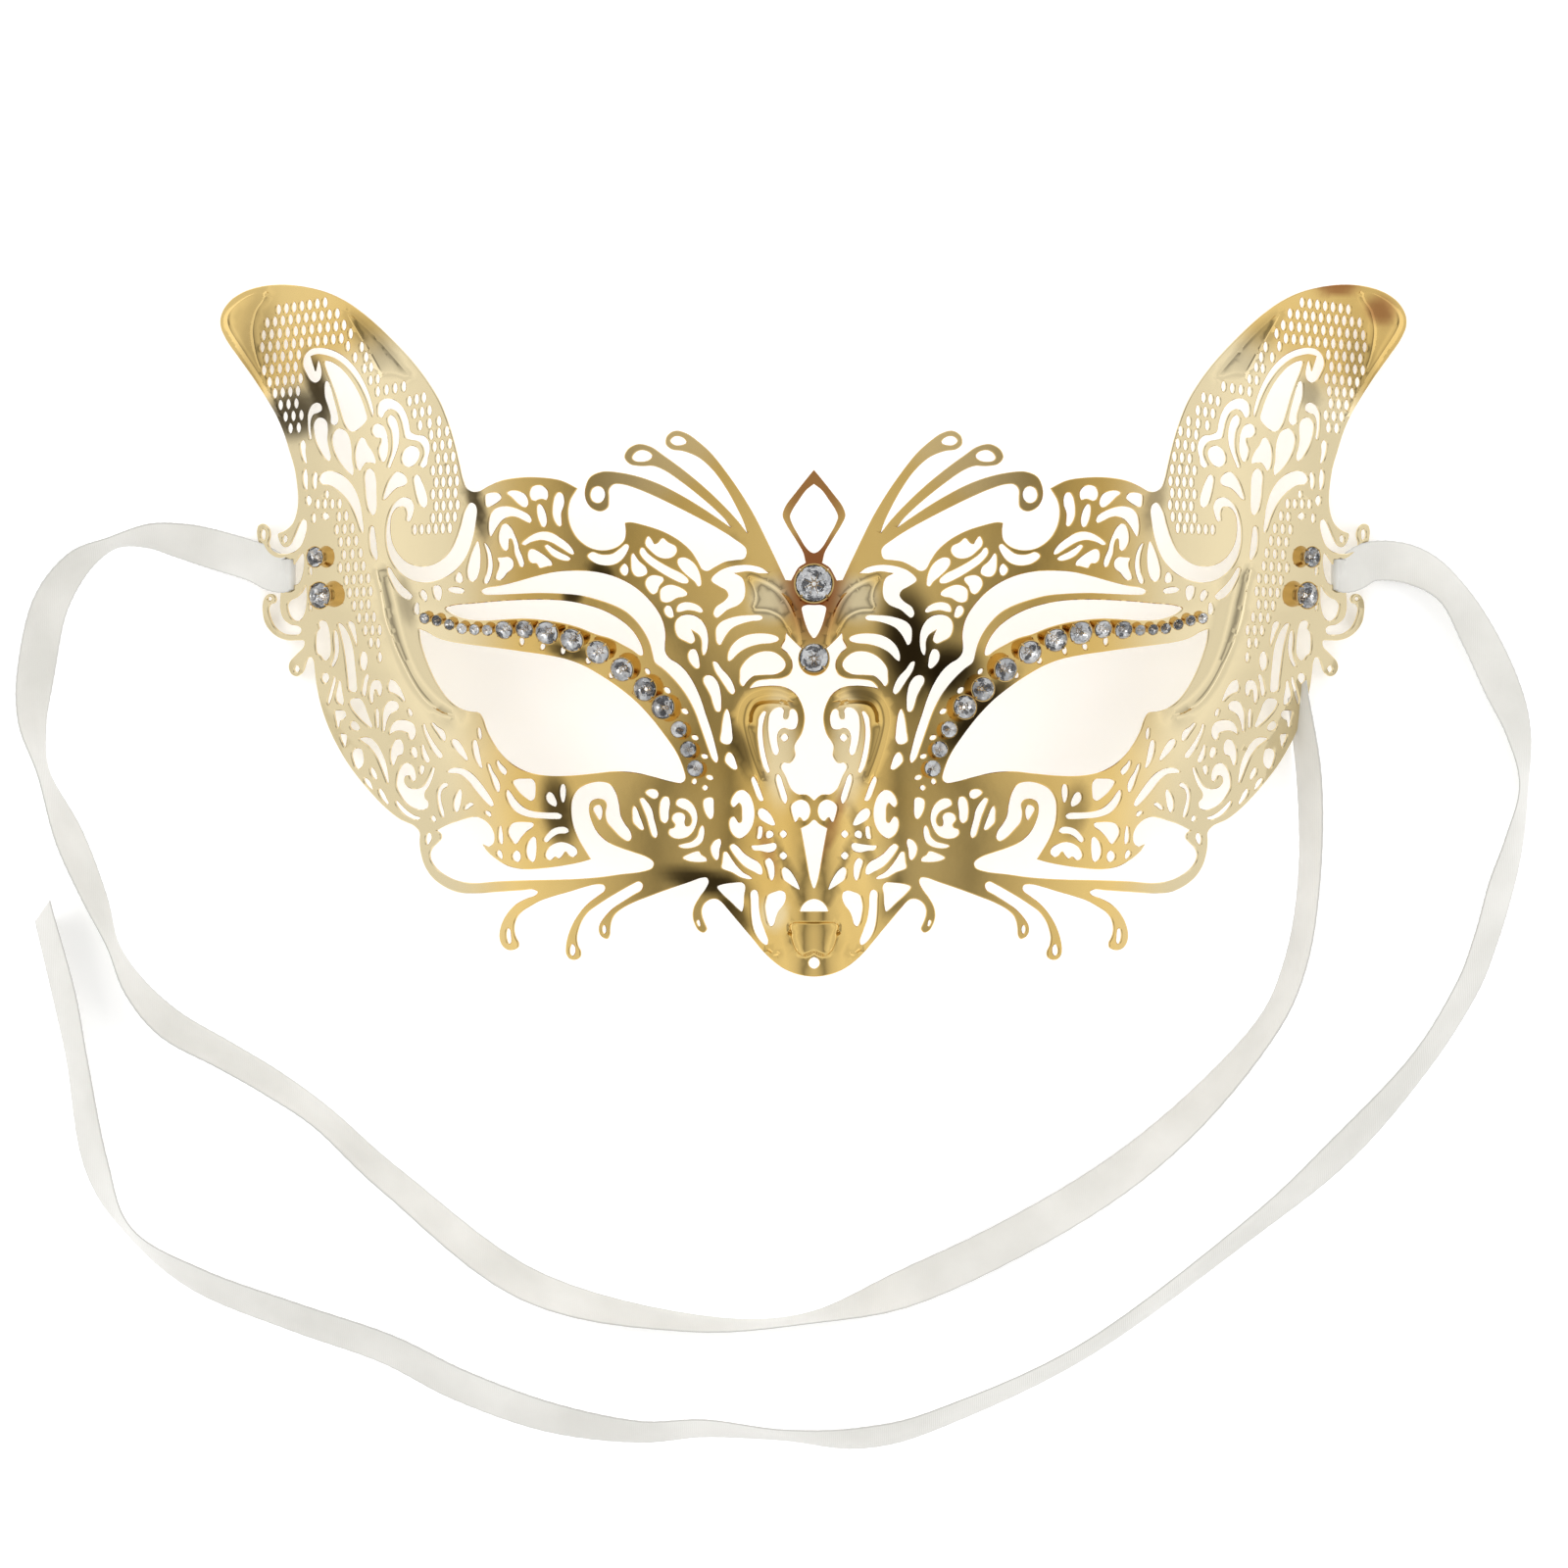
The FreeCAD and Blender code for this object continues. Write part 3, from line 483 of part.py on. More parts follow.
              (57.6, -30.0), (56.7, -31.5), (56.6, -32.1), (57.1, -32.3), (58.3, -31.3), (59.8, -29.6),
              (61.4, -27.6), (62.9, -26.5), (64.2, -26.4)],
    "pod_h": [(62.6, -29.2), (62.3, -29.9), (62.45, -31.2), (62.7, -32.5), (63.1, -33.3), (63.5, -33.3),
              (63.85, -32.3), (63.7, -31.0), (63.1, -29.7)],
    "pod_i": [(61.9, -32.9), (61.6, -32.1), (61.0, -31.7), (60.4, -31.7), (60.2, -32.0), (60.7, -32.3),
              (61.3, -32.8)],
    "pod_j": [(58.2, -33.2), (57.8, -33.1), (57.2, -33.4), (57.0, -34.0), (57.4, -34.1), (58.0, -33.7)],
    "pod_k": [(67.8, -17.6), (67.5, -17.5), (66.6, -18.3), (65.7, -18.8), (65.3, -19.5), (65.2, -20.4),
              (65.5, -20.8), (66.0, -20.4), (66.7, -19.4), (67.4, -18.4)],
    "pod_l": [(69.3, -17.8), (69.0, -17.7), (68.6, -18.8), (67.7, -20.5), (66.6, -22.1), (65.8, -23.2),
              (65.9, -23.7), (66.5, -23.7), (67.5, -22.6), (68.4, -20.9), (69.1, -19.2)],
    "pod_m": [(64.2, -20.7), (63.8, -20.4), (63.1, -20.6), (62.3, -21.6), (61.5, -23.1), (61.2, -24.0),
              (61.4, -24.2), (62.2, -23.6), (63.2, -22.6), (64.0, -21.5)],
    "pod_n": [(60.4, -21.1), (60.1, -20.5), (59.7, -20.7), (59.3, -21.9), (59.0, -23.4), (58.7, -24.9),
              (58.6, -25.5), (59.0, -25.4), (59.7, -24.4), (60.2, -23.0)],
    "pod_o": [(59.4, -18.5), (59.2, -18.3), (58.85, -18.9), (58.75, -20.0), (59.0, -20.6),
              (59.3, -20.1), (59.45, -19.3)],
    "pod_p": [(57.7, -24.7), (57.3, -24.9), (56.7, -26.2), (55.9, -27.4), (55.45, -28.6),
              (55.6, -29.7), (55.9, -29.8), (56.5, -28.8), (57.1, -27.0), (57.6, -25.6)],
    "pod_q": [(56.1, -24.4), (55.8, -24.1), (55.4, -24.7), (54.6, -25.5), (54.2, -26.2), (54.5, -26.7),
              (55.0, -26.5), (55.7, -25.7)],
    "pod_r": [(53.2, -27.9), (52.5, -27.5), (51.0, -27.4), (49.7, -27.5), (49.2, -28.1), (49.1, -29.4),
              (49.3, -30.9), (49.9, -31.3), (51.0, -30.7), (52.3, -29.5)],
    "pod_s": [(54.4, -29.9), (54.1, -29.3), (53.6, -29.8), (52.6, -31.2), (51.2, -32.5), (49.4, -33.2),
              (47.2, -33.4), (45.0, -33.5), (44.4, -33.9), (44.6, -34.4), (45.7, -34.5), (48.0, -34.4),
              (50.6, -34.1), (52.7, -33.2), (53.9, -31.7)],
    "pod_t": [(47.3, -30.6), (46.9, -29.8), (46.2, -29.9), (45.6, -30.8), (45.3, -31.8), (45.5, -32.3),
              (46.2, -32.1), (47.0, -31.5)],
    "pod_u": [(44.8, -29.4), (44.5, -28.4), (44.0, -28.4), (43.7, -29.3), (43.8, -30.7), (44.1, -31.6),
              (44.4, -31.5), (44.7, -30.7)],
    "fin_a": [(54.0, -36.4), (53.4, -35.4), (52.3, -35.1), (50.7, -35.1), (49.5, -35.3), (49.5, -35.8),
              (50.6, -36.6), (51.7, -37.8), (52.4, -38.8), (52.9, -38.9), (53.5, -38.1),
              (53.95, -37.3)],
    "fin_b": [(55.6, -35.9), (55.3, -35.7), (55.05, -36.6), (54.9, -38.1), (55.05, -39.0),
              (55.5, -38.8), (55.8, -37.9), (55.75, -36.7)],
    "fin_c": [(56.1, -40.5), (55.7, -40.0), (55.3, -40.2), (55.0, -41.0), (55.1, -41.6),
              (55.6, -41.4)],
    "fin_d": [(53.3, -41.1), (52.9, -40.3), (52.3, -40.1), (51.8, -40.7), (51.8, -41.6), (52.2, -42.1),
              (52.9, -41.9)],
    "fin_e": [(50.8, -40.0), (50.4, -38.5), (49.6, -37.7), (49.1, -37.8), (48.95, -38.9),
              (49.0, -40.6), (49.2, -41.7), (49.6, -42.1), (50.3, -41.7), (50.7, -40.9)],
    "fin_f": [(47.7, -38.2), (47.1, -37.2), (46.1, -36.3), (44.6, -35.9), (43.5, -36.1), (43.2, -36.7),
              (43.7, -37.0), (45.0, -37.1), (46.2, -37.8), (46.9, -38.5), (47.4, -38.6)],
    "fin_g": [(47.4, -41.0), (46.9, -39.7), (45.8, -38.9), (44.4, -38.6), (42.9, -39.0), (41.8, -39.8),
              (41.7, -40.6), (42.5, -41.2), (43.2, -40.9), (43.8, -40.2), (44.3, -40.9), (45.0, -41.5),
              (45.6, -41.1), (46.3, -41.7), (46.9, -41.7)],
}

# the seats of the stones: x, y and the radius of the crystal
BROW_STONES = [
    (68.4, 1.1, 0.95), (66.2, 0.7, 0.95), (64.0, 0.0, 0.95), (61.8, -0.7, 0.95), (59.55, -0.9, 0.95),
    (57.25, -1.0, 0.95), (54.1, -0.8, 1.55), (50.5, -0.7, 1.55), (46.4, -1.2, 2.0), (42.0, -2.5, 2.0),
    (37.4, -4.7, 2.0), (33.1, -7.9, 2.0), (29.05, -11.6, 2.0), (25.9, -14.95, 2.0), (23.35, -18.9, 1.4),
    (21.75, -22.4, 1.4), (20.55, -25.7, 1.4),
]
EAR_STONES = [(87.6, 12.0, 1.75), (86.5, 5.2, 2.25)]
FOREHEAD_STONES = [(0, 6.6, 3.15), (0, -6.65, 2.45)]

# route of each ribbon on the ground, from its slot to its free end
RIBBON_LEFT = [
    (-107.0, 9.9), (-123.5, 11.2), (-137.5, -4.0), (-139.0, -27.0), (-128.0, -50.0), (-119.0, -70.0),
    (-96.0, -83.0), (-72.0, -103.0), (-46.0, -121.5), (-6.0, -126.5), (38.0, -109.5), (68.0, -88.0),
    (85.0, -66.0), (89.3, -38.0), (86.0, -11.0),
]
RIBBON_RIGHT = [
    (107.0, 9.9), (118.0, 4.5), (126.8, -19.0), (123.0, -46.0), (115.5, -71.0), (93.0, -95.5),
    (66.0, -118.5), (30.0, -140.5), (-4.0, -146.8), (-42.0, -144.5), (-76.0, -129.8), (-108.0, -119.5),
    (-127.5, -100.0), (-133.2, -73.0), (-136.6, -50.5),
]


def smooth(t):
    t = min(1.0, max(0.0, t))
    return t * t * (3 - 2 * t)


def half_span(y):
    for (y0, x0), (y1, x1) in zip(SPAN, SPAN[1:]):
        if y <= y1:
            return x0 + (x1 - x0) * (y - y0) / (y1 - y0)
    return SPAN[-1][1]


def height(x, y):
    """Height of the outer skin of the sheet above the ground plane."""
    z = WRAP_RISE * (1 - (abs(x) / half_span(y)) ** 2.2)
    z += NOSE_RISE * math.exp(-(x / 9) ** 2) * smooth((10 - y) / 50)
    z -= SOCKET_DEPTH * math.exp(-((abs(x) - 45) / 24) ** 2 - ((y + 12) / 12) ** 2)
    return z


def spline_axis(low, high, step):
    count = round((high - low) / step)
    knots = [low + step * i for i in range(count + 1)]
    padded = [low] * 3 + knots + [high] * 3
    places = [sum(padded[i + 1:i + 4]) / 3 for i in range(count + 3)]
    return knots, [4] + [1] * (count - 1) + [4], places


def form_surface(step=8.0):
    """The formed skin as a cubic spline surface whose parameters are x and y."""
    kx, mx, px = spline_axis(-112.0, 112.0, step)
    ky, my, py = spline_axis(-72.0, 72.0, step)
    poles = []
    for x in px:
        row = []
        for y in py:
            z = height(x, y)
            bend = height(x + step, y) + height(x - step, y) - 2 * z
            bend += height(x, y + step) + height(x, y - step) - 2 * z
            row.append(FreeCAD.Vector(x, y, z - bend / 6))
        poles.append(row)
    surface = Part.BSplineSurface()
    surface.buildFromPolesMultsKnots(poles, mx, my, kx, ky, False, False, 3, 3)
    return surface


def whole(half):
    """A loop across the middle line, from its half."""
    return half + [(-p[0],) + p[1:] for p in reversed(half) if p[0]]


def mirrored(points):
    return [(-p[0],) + p[1:] for p in points]


def turned(points, sign):
    """The loop run anticlockwise for sign 1, clockwise for sign -1."""
    pairs = zip(points, points[1:] + points[:1])
    area = sum(a[0] * b[1] - b[0] * a[1] for a, b in pairs)
    return points if area * sign > 0 else points[::-1]


def spacing(a, b):
    return math.hypot(b[0] - a[0], b[1] - a[1]) ** 0.5


def tangent(a, b, c):
    """Direction of a smooth outline at b, between its neighbours."""
    ta = spacing(a, b)
    tc = spacing(b, c)
    return [(b[k] - a[k]) / ta - (c[k] - a[k]) / (ta + tc) + (c[k] - b[k]) / tc for k in (0, 1)]


def outline_runs(points):
    """Indexes of the stretches between corners, none longer than eight points."""
    corners = {i for i, p in enumerate(points) if len(p) > 2}
    start = min(corners) if corners else 0
    count = len(points)
    runs = []
    run = [start]
    for step in range(1, count + 1):
        i = (start + step) % count
        run.append(i)
        if i in corners or i == start or len(run) > 7:
            runs.append(run)
            run = [i]
    return runs, corners


def outline_curves(points):
    """Plan splines of a closed outline."""
    runs, corners = outline_runs(points)
    count = len(points)
    curves = []
    for run in runs:
        poles = [points[run[0]][:2]]
        knots = [0.0]
        for a, b in zip(run, run[1:]):
            step = spacing(points[a], points[b])
            chord = [(points[b][k] - points[a][k]) / step for k in (0, 1)]
            ends = []
            for i in (a, b):
                sharp = i in corners
                ends.append(chord if sharp else tangent(points[i - 1], points[i], points[(i + 1) % count]))
            poles.append([points[a][k] + ends[0][k] * step / 3 for k in (0, 1)])
            poles.append([points[b][k] - ends[1][k] * step / 3 for k in (0, 1)])
            knots.append(knots[-1] + step)
        poles.append(points[run[-1]][:2])
        mults = [4] + [2] * (len(knots) - 2) + [4]
        curve = Part.Geom2d.BSplineCurve2d()
        flat = [FreeCAD.Base.Vector2d(p[0], p[1]) for p in poles]
        curve.buildFromPolesMultsKnots(flat, mults, knots, False, 3)
        curves.append(curve)
    return curves


def outline_wire(points, surface):
    return Part.Wire([curve.toShape(surface) for curve in outline_curves(points)])


def placed(shape):
    shape.translate(FreeCAD.Vector(0, CENTRE_Y, LIFT))
    return shape


def filigree_plate():
    surface = form_surface()
    loops = [whole(half) for half in MIDDLE.values()]
    for points in list(HOLES.values()) + [EYE]:
        loops.append(points)
        loops.append(mirrored(points))
    nose = [(1.0, -60.0), (0.71, -59.29), (0, -59.0), (-0.71, -59.29), (-1.0, -60.0),
            (-0.71, -60.71), (0, -61.0), (0.71, -60.71)]
    loops.append([(x, y + 0.4) for x, y in nose])
    skin = Part.Face(surface, outline_wire(turned(whole(RIM), 1), surface))
    skin.cutHoles([outline_wire(turned(loop, -1), surface) for loop in loops])
    return placed(skin.extrude(FreeCAD.Vector(0, 0, -SHEET)))


def seat(x, y):
    """Point on the skin and the outward direction there."""
    e = 0.5
    dx = (height(x + e, y) - height(x - e, y)) / (2 * e)
    dy = (height(x, y + e) - height(x, y - e)) / (2 * e)
    return FreeCAD.Vector(x, y, height(x, y)), FreeCAD.Vector(-dx, -dy, 1).normalize()


def on_seat(shape, x, y):
    point, normal = seat(x, y)
    shape.Placement = FreeCAD.Placement(point, FreeCAD.Rotation(FreeCAD.Vector(0, 0, 1), normal))
    return placed(shape)


def ring(radius, z, count, turn=0.0):
    step = 2 * math.pi / count
    return [FreeCAD.Vector(radius * math.cos(step * (i + turn)), radius * math.sin(step * (i + turn)), z)
            for i in range(count)]


def flat_face(points):
    return Part.Face(Part.makePolygon(points + points[:1]))


def facet_band(inner, outer):
    """Triangles between a ring of 8 points and a ring of 16."""
    faces = []
    for i in range(8):
        a = inner[i]
        b = inner[(i + 1) % 8]
        left = outer[2 * i]
        mid = outer[2 * i + 1]
        right = outer[(2 * i + 2) % 16]
        faces += [flat_face([a, left, mid]), flat_face([a, mid, b]), flat_face([b, mid, right])]
    return faces


def crystal(r):
    """Brilliant cut chaton: table, crown, girdle, pavilion and a small culet."""
    girdle = 0.95 * r
    table = ring(0.56 * r, girdle + 0.38 * r, 8)
    upper = ring(r, girdle + 0.06 * r, 16)
    lower = ring(r, girdle, 16)
    culet = ring(0.1 * r, girdle - 0.75 * r, 8)
    faces = [flat_face(table), flat_face(culet)]
    faces += facet_band(table, upper) + facet_band(culet, lower)
    for i in range(16):
        j = (i + 1) % 16
        faces.append(flat_face([lower[i], lower[j], upper[j], upper[i]]))
    return Part.makeSolid(Part.makeShell(faces))


def claw_cup(r):
    """Turned cup with a conical seat and four claws bent over the girdle."""
    h = 0.95 * r
    profile = [(0, -0.25), (0.7 * r, -0.25), (0.72 * r, 0.15 * r), (1.12 * r, h), (1.04 * r, h),
               (0.14 * r, 0.19 * r), (0, 0.19 * r)]
    points = [FreeCAD.Vector(x, 0, z) for x, z in profile]
    cup = flat_face(points).revolve(FreeCAD.Vector(), FreeCAD.Vector(0, 0, 1), 360)
    claws = []
    for i in range(4):
        turn = math.radians(45 + 90 * i)
        out = FreeCAD.Vector(math.cos(turn), math.sin(turn), 0)
        foot = out * (1.08 * r) + FreeCAD.Vector(0, 0, h - 0.1 * r)
        lean = out * (-0.1 * r) + FreeCAD.Vector(0, 0, 0.38 * r)
        claws.append(Part.makeCylinder(0.07 * r, lean.Length, foot, lean))
    return cup.fuse(claws)


def ribbon_section(point, direction):
    """Upright rectangle across the ribbon, standing square to its run."""
    side = FreeCAD.Vector(0, 0, 1).cross(direction).normalize() * (RIBBON_WIDTH / 2)
    up = direction.cross(side).normalize() * (RIBBON_THICK / 2)
    return flat_face([point + side + up, point - side + up, point - side - up, point + side - up])


def ribbon(name, route, exit_x):
    """A flat strip: straight runs joined by tangent arcs."""
    side = 1 if exit_x > 0 else -1
    level = RIBBON_THICK / 2
    start = FreeCAD.Vector(exit_x, 9.6 + CENTRE_Y - 0.5, height(exit_x, 9.6) + LIFT + 0.1)
    points = [start] + [FreeCAD.Vector(x, y, level) for x, y in route]
    pieces = []
    radii = []
    length = 0.0
    at = points[0]
    for before, here, after in zip(points, points[1:], points[2:]):
        into = (here - before).normalize()
        away = (after - here).normalize()
        turn = into.getAngle(away)
        shorter = min((here - before).Length, (after - here).Length)
        reach = 0.45 * shorter
        radius = reach / math.tan(turn / 2)
        bend_start = here - into * reach
        axis = into.cross(away).normalize()
        centre = bend_start + axis.cross(into).normalize() * radius
        pieces.append(ribbon_section(at, into).extrude(bend_start - at))
        pieces.append(ribbon_section(bend_start, into).revolve(centre, axis, math.degrees(turn)))
        length += (bend_start - at).Length + radius * turn
        radii.append(round(radius, 1))
        at = here + away * reach
    last = points[-1]
    direction = (last - at).normalize()
    pieces.append(ribbon_section(at, direction).extrude(last - at))
    length += (last - at).Length
    strip = pieces[0].multiFuse(pieces[1:])
    section = RIBBON_WIDTH * RIBBON_THICK
    print(name, "radii", radii, "length", round(length, 1))
    print(name, "volume", round(strip.Volume, 2), "section x length", round(section * length, 2))
    return strip


def export(name, shapes):
    shape = shapes[0] if len(shapes) == 1 else Part.makeCompound(shapes)
    print(name, len(shape.Solids), round(shape.Volume, 3), shape.isValid())
    shape.exportStep("parts/" + name + ".step")


def main():
    os.makedirs("parts", exist_ok=True)
    export("filigree_plate", [filigree_plate()])
    for side, sign in (("left", -1), ("right", 1)):
        for i, (x, y, r) in enumerate(BROW_STONES):
            export("brow_crystal_%s_%02d" % (side, i + 1), [on_seat(crystal(r), sign * x, y)])
        sizes = sorted({r for x, y, r in BROW_STONES})
        for i, size in enumerate(sizes):
            seats = [(x, y) for x, y, r in BROW_STONES if r == size]
            cups = [on_seat(claw_cup(size), sign * x, y) for x, y in seats]
            export("brow_cups_%s_size_%d" % (side, i + 1), cups)
        for i, (x, y, r) in enumerate(EAR_STONES):
            export("temple_crystal_%s_%d" % (side, i + 1), [on_seat(crystal(r), sign * x, y)])
            export("temple_cup_%s_%d" % (side, i + 1), [on_seat(claw_cup(r), sign * x, y)])
    for name, (x, y, r) in zip(("forehead", "bridge"), FOREHEAD_STONES):
        export(name + "_crystal", [on_seat(crystal(r), x, y)])
        export(name + "_cup", [on_seat(claw_cup(r), x, y)])
    export("ribbon_left", [ribbon("ribbon_left", RIBBON_LEFT, -93.3)])
    export("ribbon_right", [ribbon("ribbon_right", RIBBON_RIGHT, 93.3)])


main()
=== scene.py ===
import math

import bpy
import numpy as np
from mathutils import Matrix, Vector
from mathutils.geometry import delaunay_2d_cdt


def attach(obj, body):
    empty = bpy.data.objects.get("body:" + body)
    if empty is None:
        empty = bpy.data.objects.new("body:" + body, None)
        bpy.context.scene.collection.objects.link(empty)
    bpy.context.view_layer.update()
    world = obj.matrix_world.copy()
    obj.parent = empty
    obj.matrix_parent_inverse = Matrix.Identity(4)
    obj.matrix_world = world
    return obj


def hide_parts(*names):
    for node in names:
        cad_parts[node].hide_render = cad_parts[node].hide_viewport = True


# Looks of the venetian cat mask: the pierced and embossed sheet, the foiled crystals, the gilt
# claw cups and the satin ribbons. Plan outlines are in mm; objects are in metres.

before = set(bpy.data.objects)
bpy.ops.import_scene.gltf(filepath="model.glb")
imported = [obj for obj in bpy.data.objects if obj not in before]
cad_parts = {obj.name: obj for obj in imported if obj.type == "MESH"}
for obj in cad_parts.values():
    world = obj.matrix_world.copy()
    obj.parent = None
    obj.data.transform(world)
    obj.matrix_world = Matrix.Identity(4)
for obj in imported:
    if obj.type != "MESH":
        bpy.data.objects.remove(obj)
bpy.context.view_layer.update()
MM = 0.001

SHEET = 0.45           # thickness of the sheet
WRAP_RISE = 36.0       # how far the middle stands above the temples
NOSE_RISE = 6.0        # how far the nose ridge stands out of the wrap
SOCKET_DEPTH = 4.0     # hollow round each eye
LIFT = 1.0             # plain height of the temples above the ground
CENTRE_Y = 0.8         # the plan's origin stands this far up the frame
RIBBON_WIDTH = 7.2
RIBBON_THICK = 0.3     # room that the strip takes up over the ground
RIBBON_CLOTH = 0.2     # thickness of the satin itself
CLEARANCE = 0.12       # air under a flat strip, for its cupping
STEP = 0.4             # spacing of points along an outline
BEVEL = 0.13           # width of the bright edge round every cut
BEVEL_DROP = 0.11      # how far that edge falls below the skin

# half width of the mask at which the sheet comes down to the ground, as (y, half width)
SPAN = [(-70, 80), (-36, 84), (-22, 86), (-8, 94), (3, 98.6), (17, 99.5), (30, 100),
        (45, 103.5), (55, 106.2), (62, 107), (75, 108)]

# ---------------------------------------------------------------- outlines of the lace, plan view
# Every outline is drawn for one half of the mask: x is the distance from the middle line and y
# runs towards the ears, in mm. A point is (x, y), or (x, y, 1) where the outline has a corner.

